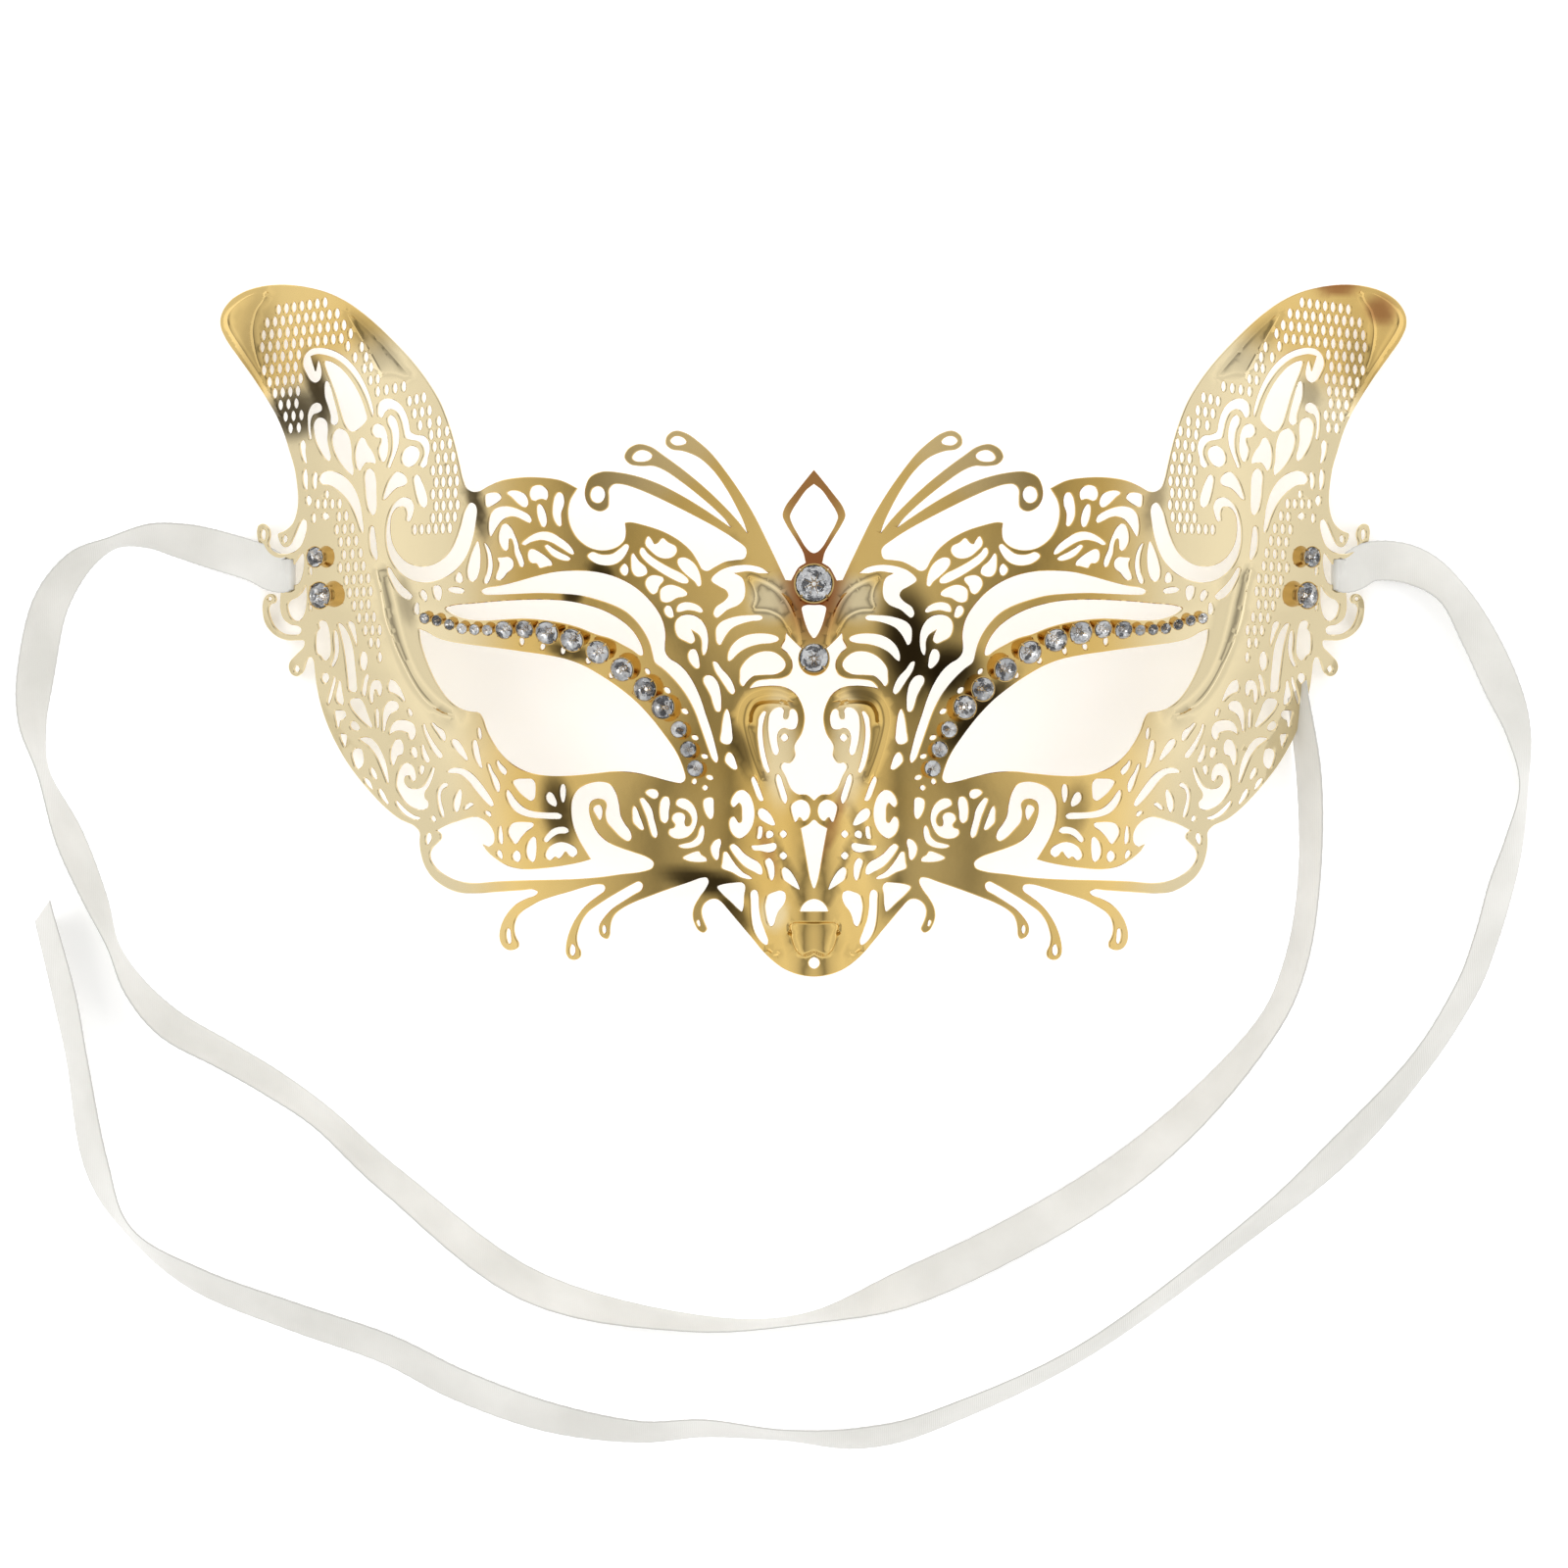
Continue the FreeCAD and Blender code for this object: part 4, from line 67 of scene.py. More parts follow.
RIM = [
    (0, 26.7, 1), (1.4, 25), (3.3, 22.6), (5, 20.3), (5.5, 18.7), (4.9, 17.2), (3.1, 14.3), (1.9, 12.2),
    (1.45, 10.4, 1), (2.7, 9.6), (3.5, 8.3), (4, 7.3, 1), (5, 7.4, 1), (6.2, 10, 1),
    # third feeler
    (8.3, 14.4), (10.4, 18.6), (12.8, 22.6), (15.3, 26.2), (18, 29.6), (20.3, 31.7), (22.3, 33.1),
    (24.3, 33.6), (25.8, 32.7), (26, 31.2), (24.9, 30.3), (23, 30), (20.3, 28.9), (17.7, 26.6),
    (15.4, 23.4), (13.4, 19.8), (12.2, 17.2), (11.7, 15.6, 1),
    # second feeler
    (13.4, 17.8), (16.4, 21), (19.6, 24), (23, 26.8), (26.4, 29.3), (28.6, 30.8), (30.8, 31.3),
    (32.6, 30.5), (33.3, 29), (32.4, 27.8), (30.4, 27.4), (28.2, 27.4), (26.2, 26.6), (23.4, 24.7),
    (20.3, 22.3), (17.4, 19.8), (15.6, 18), (14.6, 16.6, 1),
    # first feeler
    (17, 18.3), (20, 20.3), (23.5, 22.4), (27, 24.2), (30.5, 25.5), (34, 26.3), (37.2, 26.5), (39.3, 25.6),
    (40.2, 23.6), (40.1, 21.6), (39, 20), (37.4, 19.5), (36.2, 20.2), (36, 21.8), (36, 23.3), (35.2, 24.2),
    (33.6, 24.2), (31, 23.4), (27.5, 21.9), (24, 20.2), (20.5, 18.4), (17, 16.5), (14, 14.6), (11.9, 12.8),
    (12.2, 11.2), (13.8, 10.9), (15.6, 10.6), (17.4, 9.7), (18.7, 9), (19.6, 9.3),
    # inner crest
    (20.4, 10.7), (21.6, 12.5), (23.6, 14.3), (26.4, 15.9), (29.6, 17), (32.2, 17.6), (33.2, 17.5, 1),
    (33.05, 15.8), (33.3, 14.5), (34.4, 13.4), (36.2, 12.75), (38.2, 12.8), (40, 13.5), (41.8, 15.1),
    (42.9, 17.2), (43.25, 19.4), (42.9, 21.4), (41.6, 23.6, 1),
    # outer crest
    (44.5, 25), (48, 25.55), (51.5, 25.6), (55, 25.1), (57.4, 24.1), (59, 23.25), (60.3, 23.2),
    # ear
    (61.4, 23.9), (62, 25.4), (62.6, 28), (63.4, 31.4), (64.4, 34.8), (66, 38.9), (68.2, 42.6),
    (71.2, 46.5), (75, 50.5), (79, 54.2), (82.6, 56.9), (86.4, 58.8), (90.4, 59.9), (94.4, 60.4),
    (98.2, 60.2), (101.6, 59.3), (104.2, 57.7), (105.7, 55.5), (105.9, 53.4), (104.9, 51), (102.6, 47.7),
    (100, 44.1), (97.7, 40.6), (95.8, 37.4), (94.4, 34.2), (93.4, 31), (92.5, 28), (92, 25), (91.8, 22.2),
    (92.1, 19.8), (92.9, 17.9), (94.2, 16.8),
    # side curls above the ribbon slot
    (95.5, 16.2), (95.3, 15.1), (94.8, 14.2), (94.1, 13.8), (93.4, 14.2), (92.6, 15.6), (91.8, 17.4),
    (91.1, 18.6), (90.4, 18.6), (90.2, 17.4), (90.6, 15.6), (91.2, 14.2), (92.2, 13.2), (93.6, 12.7),
    (95.2, 12.7), (96.6, 13.3), (97.3, 14.5), (97, 15.8), (97.1, 16.9), (97.6, 17.7), (98.3, 18.1),
    (99.1, 17.8), (99.4, 16.9), (99.3, 15.6), (98.9, 14.3), (98.2, 13.1), (97.2, 12.2), (96, 11.6),
    (95, 10.9), (94.7, 9.6), (94.9, 8), (95, 6.4),
    # side curls below the slot
    (95.1, 4.6), (95.1, 2.6), (94.6, 1.1), (93.4, 0.1), (91.9, -0.25), (91.3, -0.8), (91.6, -1.6),
    (93, -1.8), (94.8, -1.5), (96.2, -0.4), (97, 1.2), (97.3, 3), (96.9, 3.7), (96.2, 3.9), (95.9, 4.6),
    (96.2, 5.3), (97, 5.6), (97.8, 5.2), (98.3, 4.2), (98.4, 2.4), (98, 0.4), (96.9, -1.2), (95.4, -2.3),
    (93.6, -2.8), (92, -2.8), (90.8, -2.9), (90.9, -3.9), (92.2, -5.2), (93.5, -6.6), (93.7, -7.8),
    (93.1, -8.9), (92.1, -9.2), (91.2, -8.6), (90.7, -7.3), (90.2, -6.1), (89.5, -5.8), (89.1, -6.6),
    (88.9, -8.4),
    # cheek
    (88.6, -11), (88, -14), (87.1, -16.9), (86, -19.6), (84.6, -22.3), (82.9, -25), (80.9, -27.6),
    (78.6, -30.2), (76.2, -32.6), (73.6, -34.6), (71, -35.8), (70, -36.9),
    # long whisker and its curl
    (70, -38.6), (69.8, -40.5), (69.1, -42.8), (67.8, -44.8), (65.8, -46.4), (63.2, -47.5), (60, -47.7),
    (55.5, -47.4), (51.5, -47.1), (49.5, -46.95), (48.7, -47.4), (49.1, -47.95),
    # second whisker
    (50.6, -48.5), (52.5, -49.5), (54.1, -51.1), (55.2, -53.1), (55.6, -55.2), (55.2, -56.7), (54.4, -57.5),
    (53.3, -57.7), (52.3, -57.2), (52.2, -56.4), (52.7, -55.4), (53, -54.2), (52.9, -53), (52.5, -51.9),
    (51.6, -50.9), (50.2, -50), (48.4, -49), (45.8, -48.1), (43, -47.3), (40.4, -46.5), (38.2, -46),
    (36.9, -46.2), (36.8, -47),
    # third whisker
    (38, -48), (39.6, -49.2), (41.1, -50.8), (42.4, -52.8), (43.3, -55), (43.7, -57), (43.6, -58.4),
    (42.9, -59.2), (42, -59.3), (41.2, -58.8), (41.1, -57.8), (41.6, -56.8), (41.8, -55.4), (41.5, -53.9),
    (40.9, -52.4), (39.8, -50.9), (38.2, -49.7), (36.2, -48.4), (34, -47.1), (32, -46), (30.8, -45.5),
    (30.1, -46), (30.3, -46.9), (31.6, -47.7),
    # fourth whisker
    (33.5, -48.9), (35.4, -50.2), (37, -51.9), (37.8, -53.3), (37.8, -54.5), (37.2, -55.3), (36.4, -55.6),
    (36, -55), (35.9, -53.8), (35.7, -52.6), (35.2, -51.5), (34, -50.4), (31.8, -49.2), (29, -48.1),
    (25.5, -46.8), (22, -45.6), (19.7, -44.8), (18.8, -44.8), (18.5, -45.5), (19.1, -46.8),
    # fifth whisker and chin
    (20.2, -48.3), (21.1, -50), (21.3, -51.6), (20.9, -53), (20.2, -54.1), (19.3, -54.4), (18.8, -53.8),
    (19.2, -52.7), (19.6, -51.6), (19.7, -50.4), (19.2, -49.3), (18.2, -48.6), (17.2, -48.5), (16.3, -49),
    (15.3, -50.1), (13.8, -51.9), (12.1, -53.9), (10.6, -55.7), (9.2, -57.4), (7.6, -59), (5.6, -60.5),
    (3, -61.6), (0, -62),
]

EYE = [
    (69.9, -0.9, 1), (68.4, -1.5), (66.6, -2.55), (64, -3.3), (60, -3.9), (55.5, -4.45), (51, -5.1),
    (47, -5.7), (43.5, -6.45), (40.5, -7.6), (37.5, -9.3), (34.5, -11.3), (31.5, -13.7), (28.8, -16.5),
    (26.3, -19.7), (24.2, -22.8), (23, -25.5), (22.6, -27.4), (23.2, -28.1), (25, -27.9), (28, -27.1),
    (31.5, -26.3), (35, -26.1), (39, -26.5), (43, -26.85), (47, -26.85), (50.5, -26.2), (53.5, -24.6),
    (56, -22.1), (57.7, -19.2), (58.6, -16.7), (59.3, -15.75), (61, -15.5), (62.8, -14.9), (64.8, -13.4),
    (66.8, -10.6), (68.5, -6.9), (69.6, -3.4),
]

# openings that lie across the middle line: the half from the upper crossing to the lower one
MIDDLE = {
    "diamond": [(0, 24.2, 1), (1.3, 23.2), (2.7, 21.3), (3.8, 19.6), (4.2, 18.5), (3.8, 17.2), (2.7, 15.2),
        (1.5, 13.2), (0.6, 12.3), (0, 12.1)],
    "vee": [(0, 3), (1.3, 3), (2.1, 2.6), (1.9, 1.2), (1.3, -0.8), (0.6, -2.2), (0, -2.8)],
    "bridge": [(0, -9.4), (1.6, -8.9), (2.6, -7.6), (2.75, -6), (2.2, -4.6, 1), (3.2, -3.7), (4.2, -2.7),
        (4.9, -1.9, 1), (5.1, -3.2), (5.7, -4.4), (4.8, -5.2), (3.95, -6.5), (3.8, -8), (4.4, -9.2),
        (5.8, -9.85), (8, -10), (10.2, -10.4), (11.4, -11.6, 1), (9.6, -11.25), (7.2, -11.1), (5, -11.4),
        (3.2, -12.6), (2, -14.8), (1.65, -17), (2.2, -19.4), (3.5, -21.6), (3.4, -23.4), (4.4, -24.7),
        (5.4, -24.6), (5.9, -25.3), (5.1, -27), (4.1, -29.2), (2.9, -30.1), (1.3, -30.2), (0, -31.2, 1)],
    "wedge": [(0, -34.6), (1, -35.4), (2.4, -36.1, 1), (1.9, -38.6), (1.25, -42), (0.6, -45.2), (0, -46.6)],
    "moon": [(0, -48.45), (1.2, -48.8), (2.2, -49.7), (2.6, -50.6, 1), (1.2, -50.6), (0, -50.6)],
}

HOLES = {
    # forehead and feelers
    "arch": [(18, 7.4), (16.8, 8.8), (14.5, 9.75), (11.5, 10), (9.2, 9.5), (8, 8.6, 1), (9.6, 8.6),
        (11.4, 8.95), (14.1, 8.6, 1), (12.6, 7.7), (12.1, 6), (12.3, 4.2), (13.2, 3.1), (15.2, 2.2),
        (17.1, 0.8), (17.6, 1.4), (17.2, 2.6), (15.7, 3.7), (15, 4.7), (15.4, 5.6), (16.6, 6.3)],
    "feeler_a": [(39.3, 22.4), (38.9, 23.5), (37.9, 23.9), (37, 23.4), (36.7, 22.4), (37.1, 21.4), (38, 21),
        (38.9, 21.4)],
    "feeler_b": [(31.9, 28.9), (31.2, 29.9), (30.1, 30.2), (28.9, 29.8), (28.4, 29.1), (29.2, 28.4),
        (30.5, 28.2), (31.5, 28.4)],
    "feeler_c": [(25.2, 31.8), (24.6, 32.5), (23.7, 32.6), (22.8, 32.2), (22.4, 31.5), (23.2, 31.1),
        (24.4, 31.1)],
    # inner crest
    "crest_moon": [(39.8, 11.7), (39, 12.35), (37.4, 11.9), (35.5, 12), (34, 13), (33, 13.75), (32.5, 13.4),
        (32.8, 12.4), (33.8, 11), (35.2, 10.2), (36.8, 10.05), (38.5, 10.5)],
    "crest_bat": [(29.6, 14.2), (29.1, 15.1), (28.5, 14.5), (28, 13.7), (27.4, 13.9), (26.6, 14.75),
        (25.6, 14), (24.3, 13.3), (24.1, 12.4), (24.8, 11.5), (26, 11.2), (27.4, 11.55), (28.8, 12.7),
        (29.5, 13.5)],
    "crest_channel": [(30.6, 12.3), (30.3, 13.1), (29.8, 12.9), (29.2, 12.1), (27.5, 10.8), (25, 9.4),
        (23.2, 8.5), (22.1, 7.5), (22.1, 6.95), (23, 6.85), (25, 7.7), (27.5, 9.2), (29.6, 10.8)],
    "crest_drop_a": [(32, 11.9), (31.7, 12.1), (31.2, 11.4), (30.6, 10.6), (29.5, 9.6), (29.3, 8.7),
        (30, 8.15), (31.2, 8.1), (31.9, 8.9), (32.1, 10.2)],
    "crest_drop_b": [(33.2, 10.3), (34.1, 9.3), (33.8, 8.6), (33.2, 8.2), (32.7, 8.6), (32.6, 9.5)],
    "crest_drop_c": [(23.8, 11.1), (22.8, 11.35), (21.6, 10.8), (20.6, 9.7), (19.95, 8), (19.85, 6.5),
        (20.3, 6.3), (20.9, 7.1), (22.2, 8.2), (23.3, 9.3), (23.9, 10.3)],
    "crest_kidney": [(29.6, 6.7), (29.3, 7.7), (28.5, 8.2), (27.6, 8.2), (26.4, 7.7), (26.5, 7.2),
        (27.1, 6.5), (27.6, 5.3), (28.2, 4.95), (28.9, 5.4)],
    "crest_bean": [(26.9, 5.7), (26.2, 6.3), (25.1, 6.55), (23.8, 6.2), (22.6, 5.5), (22.2, 4.9),
        (22.8, 4.55), (24.1, 4.3), (25.1, 3.7), (26, 3.5), (26.8, 3.8), (27, 4.7)],
    "crest_bead": [(26.3, 2.2), (25.8, 2.9), (25.2, 2.8), (24.75, 1.9), (24.7, 1), (25.2, 0.8), (26, 1.3)],
    "crest_lid": [(24.1, 2.3), (23.7, 3.1), (22.5, 3.5), (21, 3.25), (19.9, 2.6), (19.5, 1.9), (19.9, 1.7),
        (20.9, 2), (22.2, 2.15), (23.3, 1.9), (24, 1.85)],
    "hook": [(24.4, -1), (24.15, 0.3), (23.2, 1.1), (22, 1.3), (20.7, 1), (19.6, 0.1), (18.8, -1.5),
        (18.6, -3.4), (18.9, -5.2), (19.4, -5.8), (19.65, -5), (19.7, -3.3), (20.2, -2.2), (21.6, -1.25, 1),
        (21.05, -2.4), (20.95, -3.2), (21.5, -3.7), (22.6, -3.3), (23.9, -2.5)],
    "hook_drop": [(22.1, -5.6), (21.6, -4.8), (20.9, -4.75), (20.4, -5.6), (20.15, -6.8), (20.15, -7.9),
        (20.6, -8.1), (21.4, -7.5), (22, -6.6)],
    # swirl beside the nose bridge
    "slit_a": [(17.7, -6.9), (17.1, -7), (16.2, -8.2), (15, -9.5), (14.2, -10.9), (13.9, -12.2),
        (14.3, -12.6), (14.9, -12.2), (15.6, -11.2), (16.4, -10), (17.4, -8.4)],
    "slit_b": [(19.4, -9.8), (18.8, -9.3), (17.8, -9.5), (16.9, -10.6), (16.45, -12.2), (16.3, -14),
        (16.5, -15.6), (17.1, -15.6), (17.7, -14.4), (18.1, -13), (18.8, -11.6), (19.4, -10.5)],
    "slit_c": [(15.3, -15.2), (14.9, -15.9), (14.6, -17.4), (14.4, -19.2), (14.35, -20.6), (14.8, -21.3),
        (15.7, -21.3), (16.4, -20.8), (16.25, -19), (16, -17), (15.7, -15.8)],
    "slit_d": [(15, -22.8), (14.3, -23.2), (13.7, -24.6), (13.5, -25.7), (14, -25.8), (15, -25.1),
        (15.6, -24.3), (15.5, -23.4)],
    "swirl_a": [(17.2, -2.4), (17.1, -1), (16.3, 0), (15, 0.6), (13.2, 1.05), (11, 1.2), (9.4, 1.15),
        (9, 0.75), (9.4, 0.4), (11, 0.2), (12.6, -0.2), (14.2, -0.9), (15.3, -2), (16, -3.2), (16.5, -4),
        (17, -3.6)],
    "swirl_b": [(15.1, -5.8), (14.6, -4.4), (13.4, -3.1), (11.8, -2.3), (9.8, -2), (7.6, -2.15),
        (6.3, -2.7), (6.3, -3.2), (7.4, -3.6), (9.5, -3.8), (11.5, -4.35), (13.2, -5.3), (14.4, -6.5),
        (15, -6.8)],
    "swirl_c": [(13, -9.5), (12.9, -8.2), (12, -6.8), (10.6, -5.7), (8.9, -5.15), (7, -5.3), (5.6, -6.3),
        (5, -7.4), (5.5, -8.4), (6.8, -9.1), (8.8, -9.2), (10.6, -9.4), (11.7, -10.3), (12.5, -11.2),
        (13, -10.6)],
    "nose_slot": [(9.9, -18), (9.7, -16.6), (8.9, -15.6), (8.45, -15.7), (8.75, -16.8), (9.05, -18.4),
        (9, -20.5), (8.65, -22.8), (8.1, -25), (7.8, -26.2), (8.2, -26.4), (8.9, -25.5), (9.5, -23.5),
        (9.9, -21), (10, -19.5)],
    "nose_swirl": [(8.1, -17.6), (7.8, -16), (6.95, -15.1), (5.9, -14.9), (5.35, -15.4), (5.45, -16.4),
        (5.3, -17), (4.8, -17), (4.45, -16.3), (4.3, -15.4), (3.7, -15.2), (3.05, -15.9), (2.85, -17.3),
        (3.3, -18.6), (4.2, -18.8), (5.1, -18.5), (6, -18.8), (6.5, -19.8), (6.45, -21.2), (6.2, -22.6),
        (6.6, -23.3), (7.2, -23), (7.7, -21.6), (8.05, -19.6)],
    "nose_ring": [(5.95, -20.2), (5.25, -19.5), (4.55, -20.2), (5.25, -20.9)],
    "nose_side": [(6.8, -27.4), (6.5, -26.6), (6, -26.9), (5.5, -28.3), (5, -29.8), (4.75, -31),
        (5.1, -31.8), (5.7, -31.2), (6.3, -29.5)],
    "nose_lobe": [(4.15, -32.2), (3.4, -31.4), (2.2, -31.1), (1.1, -31.7), (0.7, -33), (1.1, -34.3),
        (1.9, -34.8), (2.3, -34.3), (2.7, -34.1), (3, -34.7), (3.4, -35), (3.85, -34)],
    # nose side and muzzle
    "cheek_arch": [(14.6, -31.8), (14.3, -30.6), (13.4, -29.6), (12.4, -29.45), (11.5, -30.1),
        (10.75, -31.7), (10.5, -33.6), (10.85, -35.6), (11.8, -37.1), (13, -37.85), (13.9, -37.5),
        (14.6, -36.6), (14.9, -35.2), (14.6, -34.3), (14.1, -34.1), (13.7, -34.5), (13.2, -35.2),
        (12.8, -35), (12.7, -33.5), (12.8, -32.1), (13.15, -31.6), (13.6, -32), (14.1, -32.4)],
    "muzzle_a": [(11.1, -27.4), (10.7, -27), (10.2, -27.7), (9.6, -29.1), (9.1, -30.5), (8.9, -31.2),
        (9.5, -31.3), (10.1, -30.6), (10.6, -29.3)],
    "muzzle_b": [(10, -33.5), (9.8, -32.8), (9.2, -32.6), (8.2, -33.1), (7.3, -34.3), (6.9, -35.5),
        (7.4, -35.6), (8.6, -35.1), (9.6, -34.4)],
    "muzzle_c": [(9.8, -35.8), (9.2, -35.8), (9.1, -37), (9.4, -37.9), (10.1, -37.9), (10, -36.9)],
    "muzzle_d": [(8.6, -37.3), (8.4, -36.7), (7.7, -36.5), (7.2, -36.9), (7.2, -37.4), (7.8, -37.8),
        (8.4, -37.8)],
    "muzzle_e": [(6.2, -37.1), (5.5, -36.4), (4.8, -37.1), (5.5, -37.8)],
    "muzzle_f": [(6.25, -40.9), (5.5, -40.2), (4.75, -40.9), (5.5, -41.6)],
    "muzzle_g": [(11.1, -39.2), (10, -39.1), (8.5, -38.9), (6.9, -38.7), (6.6, -39.2), (6.9, -39.9),
        (8, -40.3), (9.6, -40), (10.7, -39.9)],
    "muzzle_h": [(14.8, -39.3), (14.2, -38.85), (13.5, -39.2), (12.3, -40.5), (11, -41.4), (9.9, -42),
        (9.2, -43), (9.15, -44.1), (9.6, -44.2), (10.6, -43.7), (12.2, -42.8), (13.3, -41.7),
        (14.4, -40.2)],
    "muzzle_i": [(16, -41.2), (15.8, -40.3), (15.3, -40.3), (14.6, -41.3), (13.6, -42.7), (12.4, -43.9),
        (11.3, -44.5), (10.9, -44.9), (11.3, -45), (12.8, -44.7), (14.4, -43.8), (16.2, -43),
        (16.1, -42.2)],
    "muzzle_j": [(8.7, -41.8), (7.9, -41.3), (7.3, -41.9), (7, -43.2), (7.1, -44.7), (7.5, -45.3),
        (7.9, -44.9), (8.3, -43.4)],
    "muzzle_k": [(5.8, -43.3), (5.3, -42.9), (4.4, -43.4), (3.5, -44.6), (2.8, -46), (2.6, -46.8),
        (3.3, -46.5), (4.6, -45.7), (5.5, -45)],
    "muzzle_l": [(17, -46.4), (16.2, -46), (14.4, -45.7), (12.5, -45.7), (12.1, -46.4), (12.3, -47.8),
        (12.4, -49.8), (12.7, -50.7), (13.4, -50.2), (14.6, -49), (16.1, -47.6)],
    "muzzle_m": [(11.2, -47.3), (10.7, -46.9), (10.1, -47), (9.8, -47.9), (9.7, -50), (9.4, -52),
        (8.7, -54), (8.1, -55.8), (8.3, -56.5), (9, -56.3), (9.9, -55.4), (10.7, -53.8), (11.1, -51.5),
        (11.2, -49)],
    "muzzle_n": [(8.5, -48.6), (8.2, -47.8), (7.2, -47.3), (5.9, -47), (5.2, -47.3), (5, -48.2),
        (5.4, -49.4), (6.3, -50.6), (6.8, -51.8), (7.1, -52.9), (7.7, -53.3), (8.2, -52.6), (8.5, -51.4),
        (8.7, -49.8)],
    "muzzle_o": [(18.2, -30.7), (19.3, -31.1), (19.4, -32.2), (18.9, -33.7), (18.15, -34.5), (17.7, -34),
        (17.6, -32.2), (17.7, -31)],
    "muzzle_p": [(19.6, -29), (19.1, -28.5), (18.6, -29), (19.1, -29.5)],
    "rose": [(24.2, -31.9), (23.9, -31.1), (22.8, -30.9), (21.5, -31.7), (20.7, -33), (20.5, -34.6),
        (21, -36.2), (22, -37.4), (23.4, -37.9), (24.8, -37.7), (25.5, -37), (25.3, -36.3), (24.6, -36.1),
        (24.3, -35.5), (24.9, -34.6), (24.7, -33.8), (24, -33.4), (23.1, -33.5), (22.6, -34.1),
        (22.75, -35.1), (22.5, -35.8), (21.8, -35.7), (21.4, -34.8), (21.6, -33.9), (22.2, -33.1),
        (23.2, -32.6)],
    "rose_leaf": [(23.8, -39.2), (22.8, -38.85), (21.5, -38.5), (20.5, -37.6), (20.05, -36.2),
        (19.6, -35.6), (19.3, -36.1), (19.3, -37.3), (19.7, -38.5), (20.8, -39.3), (22.4, -39.6),
        (23.3, -39.5)],
    "cheek_a": [(23, -41.3), (21.8, -40.6), (20.2, -40.2), (19.8, -40.8), (19, -41.3), (18.8, -41.8),
        (19.8, -42), (21.6, -41.9), (22.6, -41.6)],
    "cheek_b": [(18.1, -39.4), (17.4, -38.3), (16.5, -38), (16.3, -38.6), (16.6, -39.9), (16.75, -41.3),
        (17.1, -41.7), (17.7, -41.1), (18, -40.4)],
    "cheek_c": [(26.9, -31.3), (26.3, -30.6), (25.6, -30.7), (25.3, -31.6), (25.5, -33.2), (25.6, -34.6),
        (26.1, -35.2), (26.8, -34.8), (27.1, -33.6), (27.1, -32.4)],
    "cheek_d": [(29.6, -29.8), (28.9, -29.3), (27.8, -29.4), (27.3, -30), (27.5, -30.7), (28.1, -30.9),
        (28.8, -30.6)],
    "cheek_e": [(30.6, -31), (30.1, -30.8), (29.4, -31.4), (28.5, -32.8), (28.1, -34.5), (27.5, -37.2),
        (27.8, -37.8), (28.4, -37.4), (28.9, -36), (29.4, -34.2), (30.2, -32.2)],
    "cheek_f": [(31.9, -32.7), (31.6, -32.2), (31.2, -32.6), (30.6, -34.1), (30.1, -35.4), (29.9, -36.3),
        (30.3, -36.4), (31.2, -35.7), (31.8, -35), (31.9, -33.9)],
    "swan_eye": [(38.9, -32.7), (38.3, -32.1), (37.6, -32.1), (37.25, -32.8), (37.3, -34), (37.6, -34.7),
        (37.9, -34.5), (38.5, -33.6)],
    # the wide opening above the long whisker, with the swan neck
    "swan": [(66.9, -36.6, 1), (65.2, -35.7), (63.2, -35), (61.2, -34.4), (59.6, -34.2), (58.2, -34.8),
        (57.1, -35.9), (56.5, -37.3), (56.6, -38.7), (57.4, -39.4), (58.6, -39, 1), (57.8, -40.2),
        (56, -41.7), (53.8, -42.9), (51, -43.4), (47.6, -43.2), (44, -42.7), (41.2, -42.15),
        (39.3, -41.6, 1), (40.4, -39.9), (41.6, -37.8), (42.5, -35.4), (42.8, -33), (42.6, -31),
        (41.6, -29.3), (39.8, -28.3), (37.6, -27.95), (35.9, -28.4), (34.9, -29.8), (34.3, -31.9),
        (34, -33.9), (33.3, -35.3), (32.3, -36.7), (32.1, -37.9), (32.7, -38.35), (33.9, -37.7),
        (35.4, -36.2), (36.4, -35), (36.7, -33.4), (36.5, -31.9), (37, -31.1), (38.2, -30.9), (39.3, -31.5),
        (39.6, -32.8), (39.1, -35), (38, -37), (36.2, -38.6), (34, -39.6), (31.6, -40.4), (29.4, -41.2),
        (28.2, -42.1), (28.4, -43), (30.2, -43.7), (34, -44.2), (38.5, -44.8), (44, -45.15), (50, -45.3),
        (56, -45.55), (60, -45.85), (63, -45.5), (65.2, -44.6), (66.9, -43.4), (67.9, -42), (68.15, -40.8),
        (67.7, -39.7), (66.8, -38.8), (66.1, -38), (66.2, -37.2)],
    "curl_long": [(68.9, -38.2), (68.6, -37.2), (68, -37.1), (67.8, -37.9), (68.1, -38.7), (68.6, -39.2)],
    "curl_second": [(54.4, -54.6), (54.1, -53.8), (53.7, -54), (53.5, -55.2), (53.5, -56.3), (53.9, -56.6),
        (54.3, -55.9)],
    "curl_third": [(43.05, -57.4), (42.6, -56.5), (42.1, -57), (42.05, -58), (42.5, -58.6), (42.95, -58.3)],
    "curl_fourth": [(37.3, -53.7), (36.95, -53.1), (36.6, -53.6), (36.6, -54.3), (36.9, -54.7),
        (37.2, -54.4)],
    "curl_fifth": [(20.6, -52.4), (20.2, -52.2), (20, -52.7), (20, -53.3), (20.3, -53.2)],
    # outer crest
    "brow_a": [(57.9, 22.6), (57.2, 22.9), (56.2, 22.95), (55.4, 22.7), (55.05, 22), (55.5, 21.5),
        (56.4, 20.9), (57.2, 20.5), (57.75, 20.5), (57.95, 21.2)],
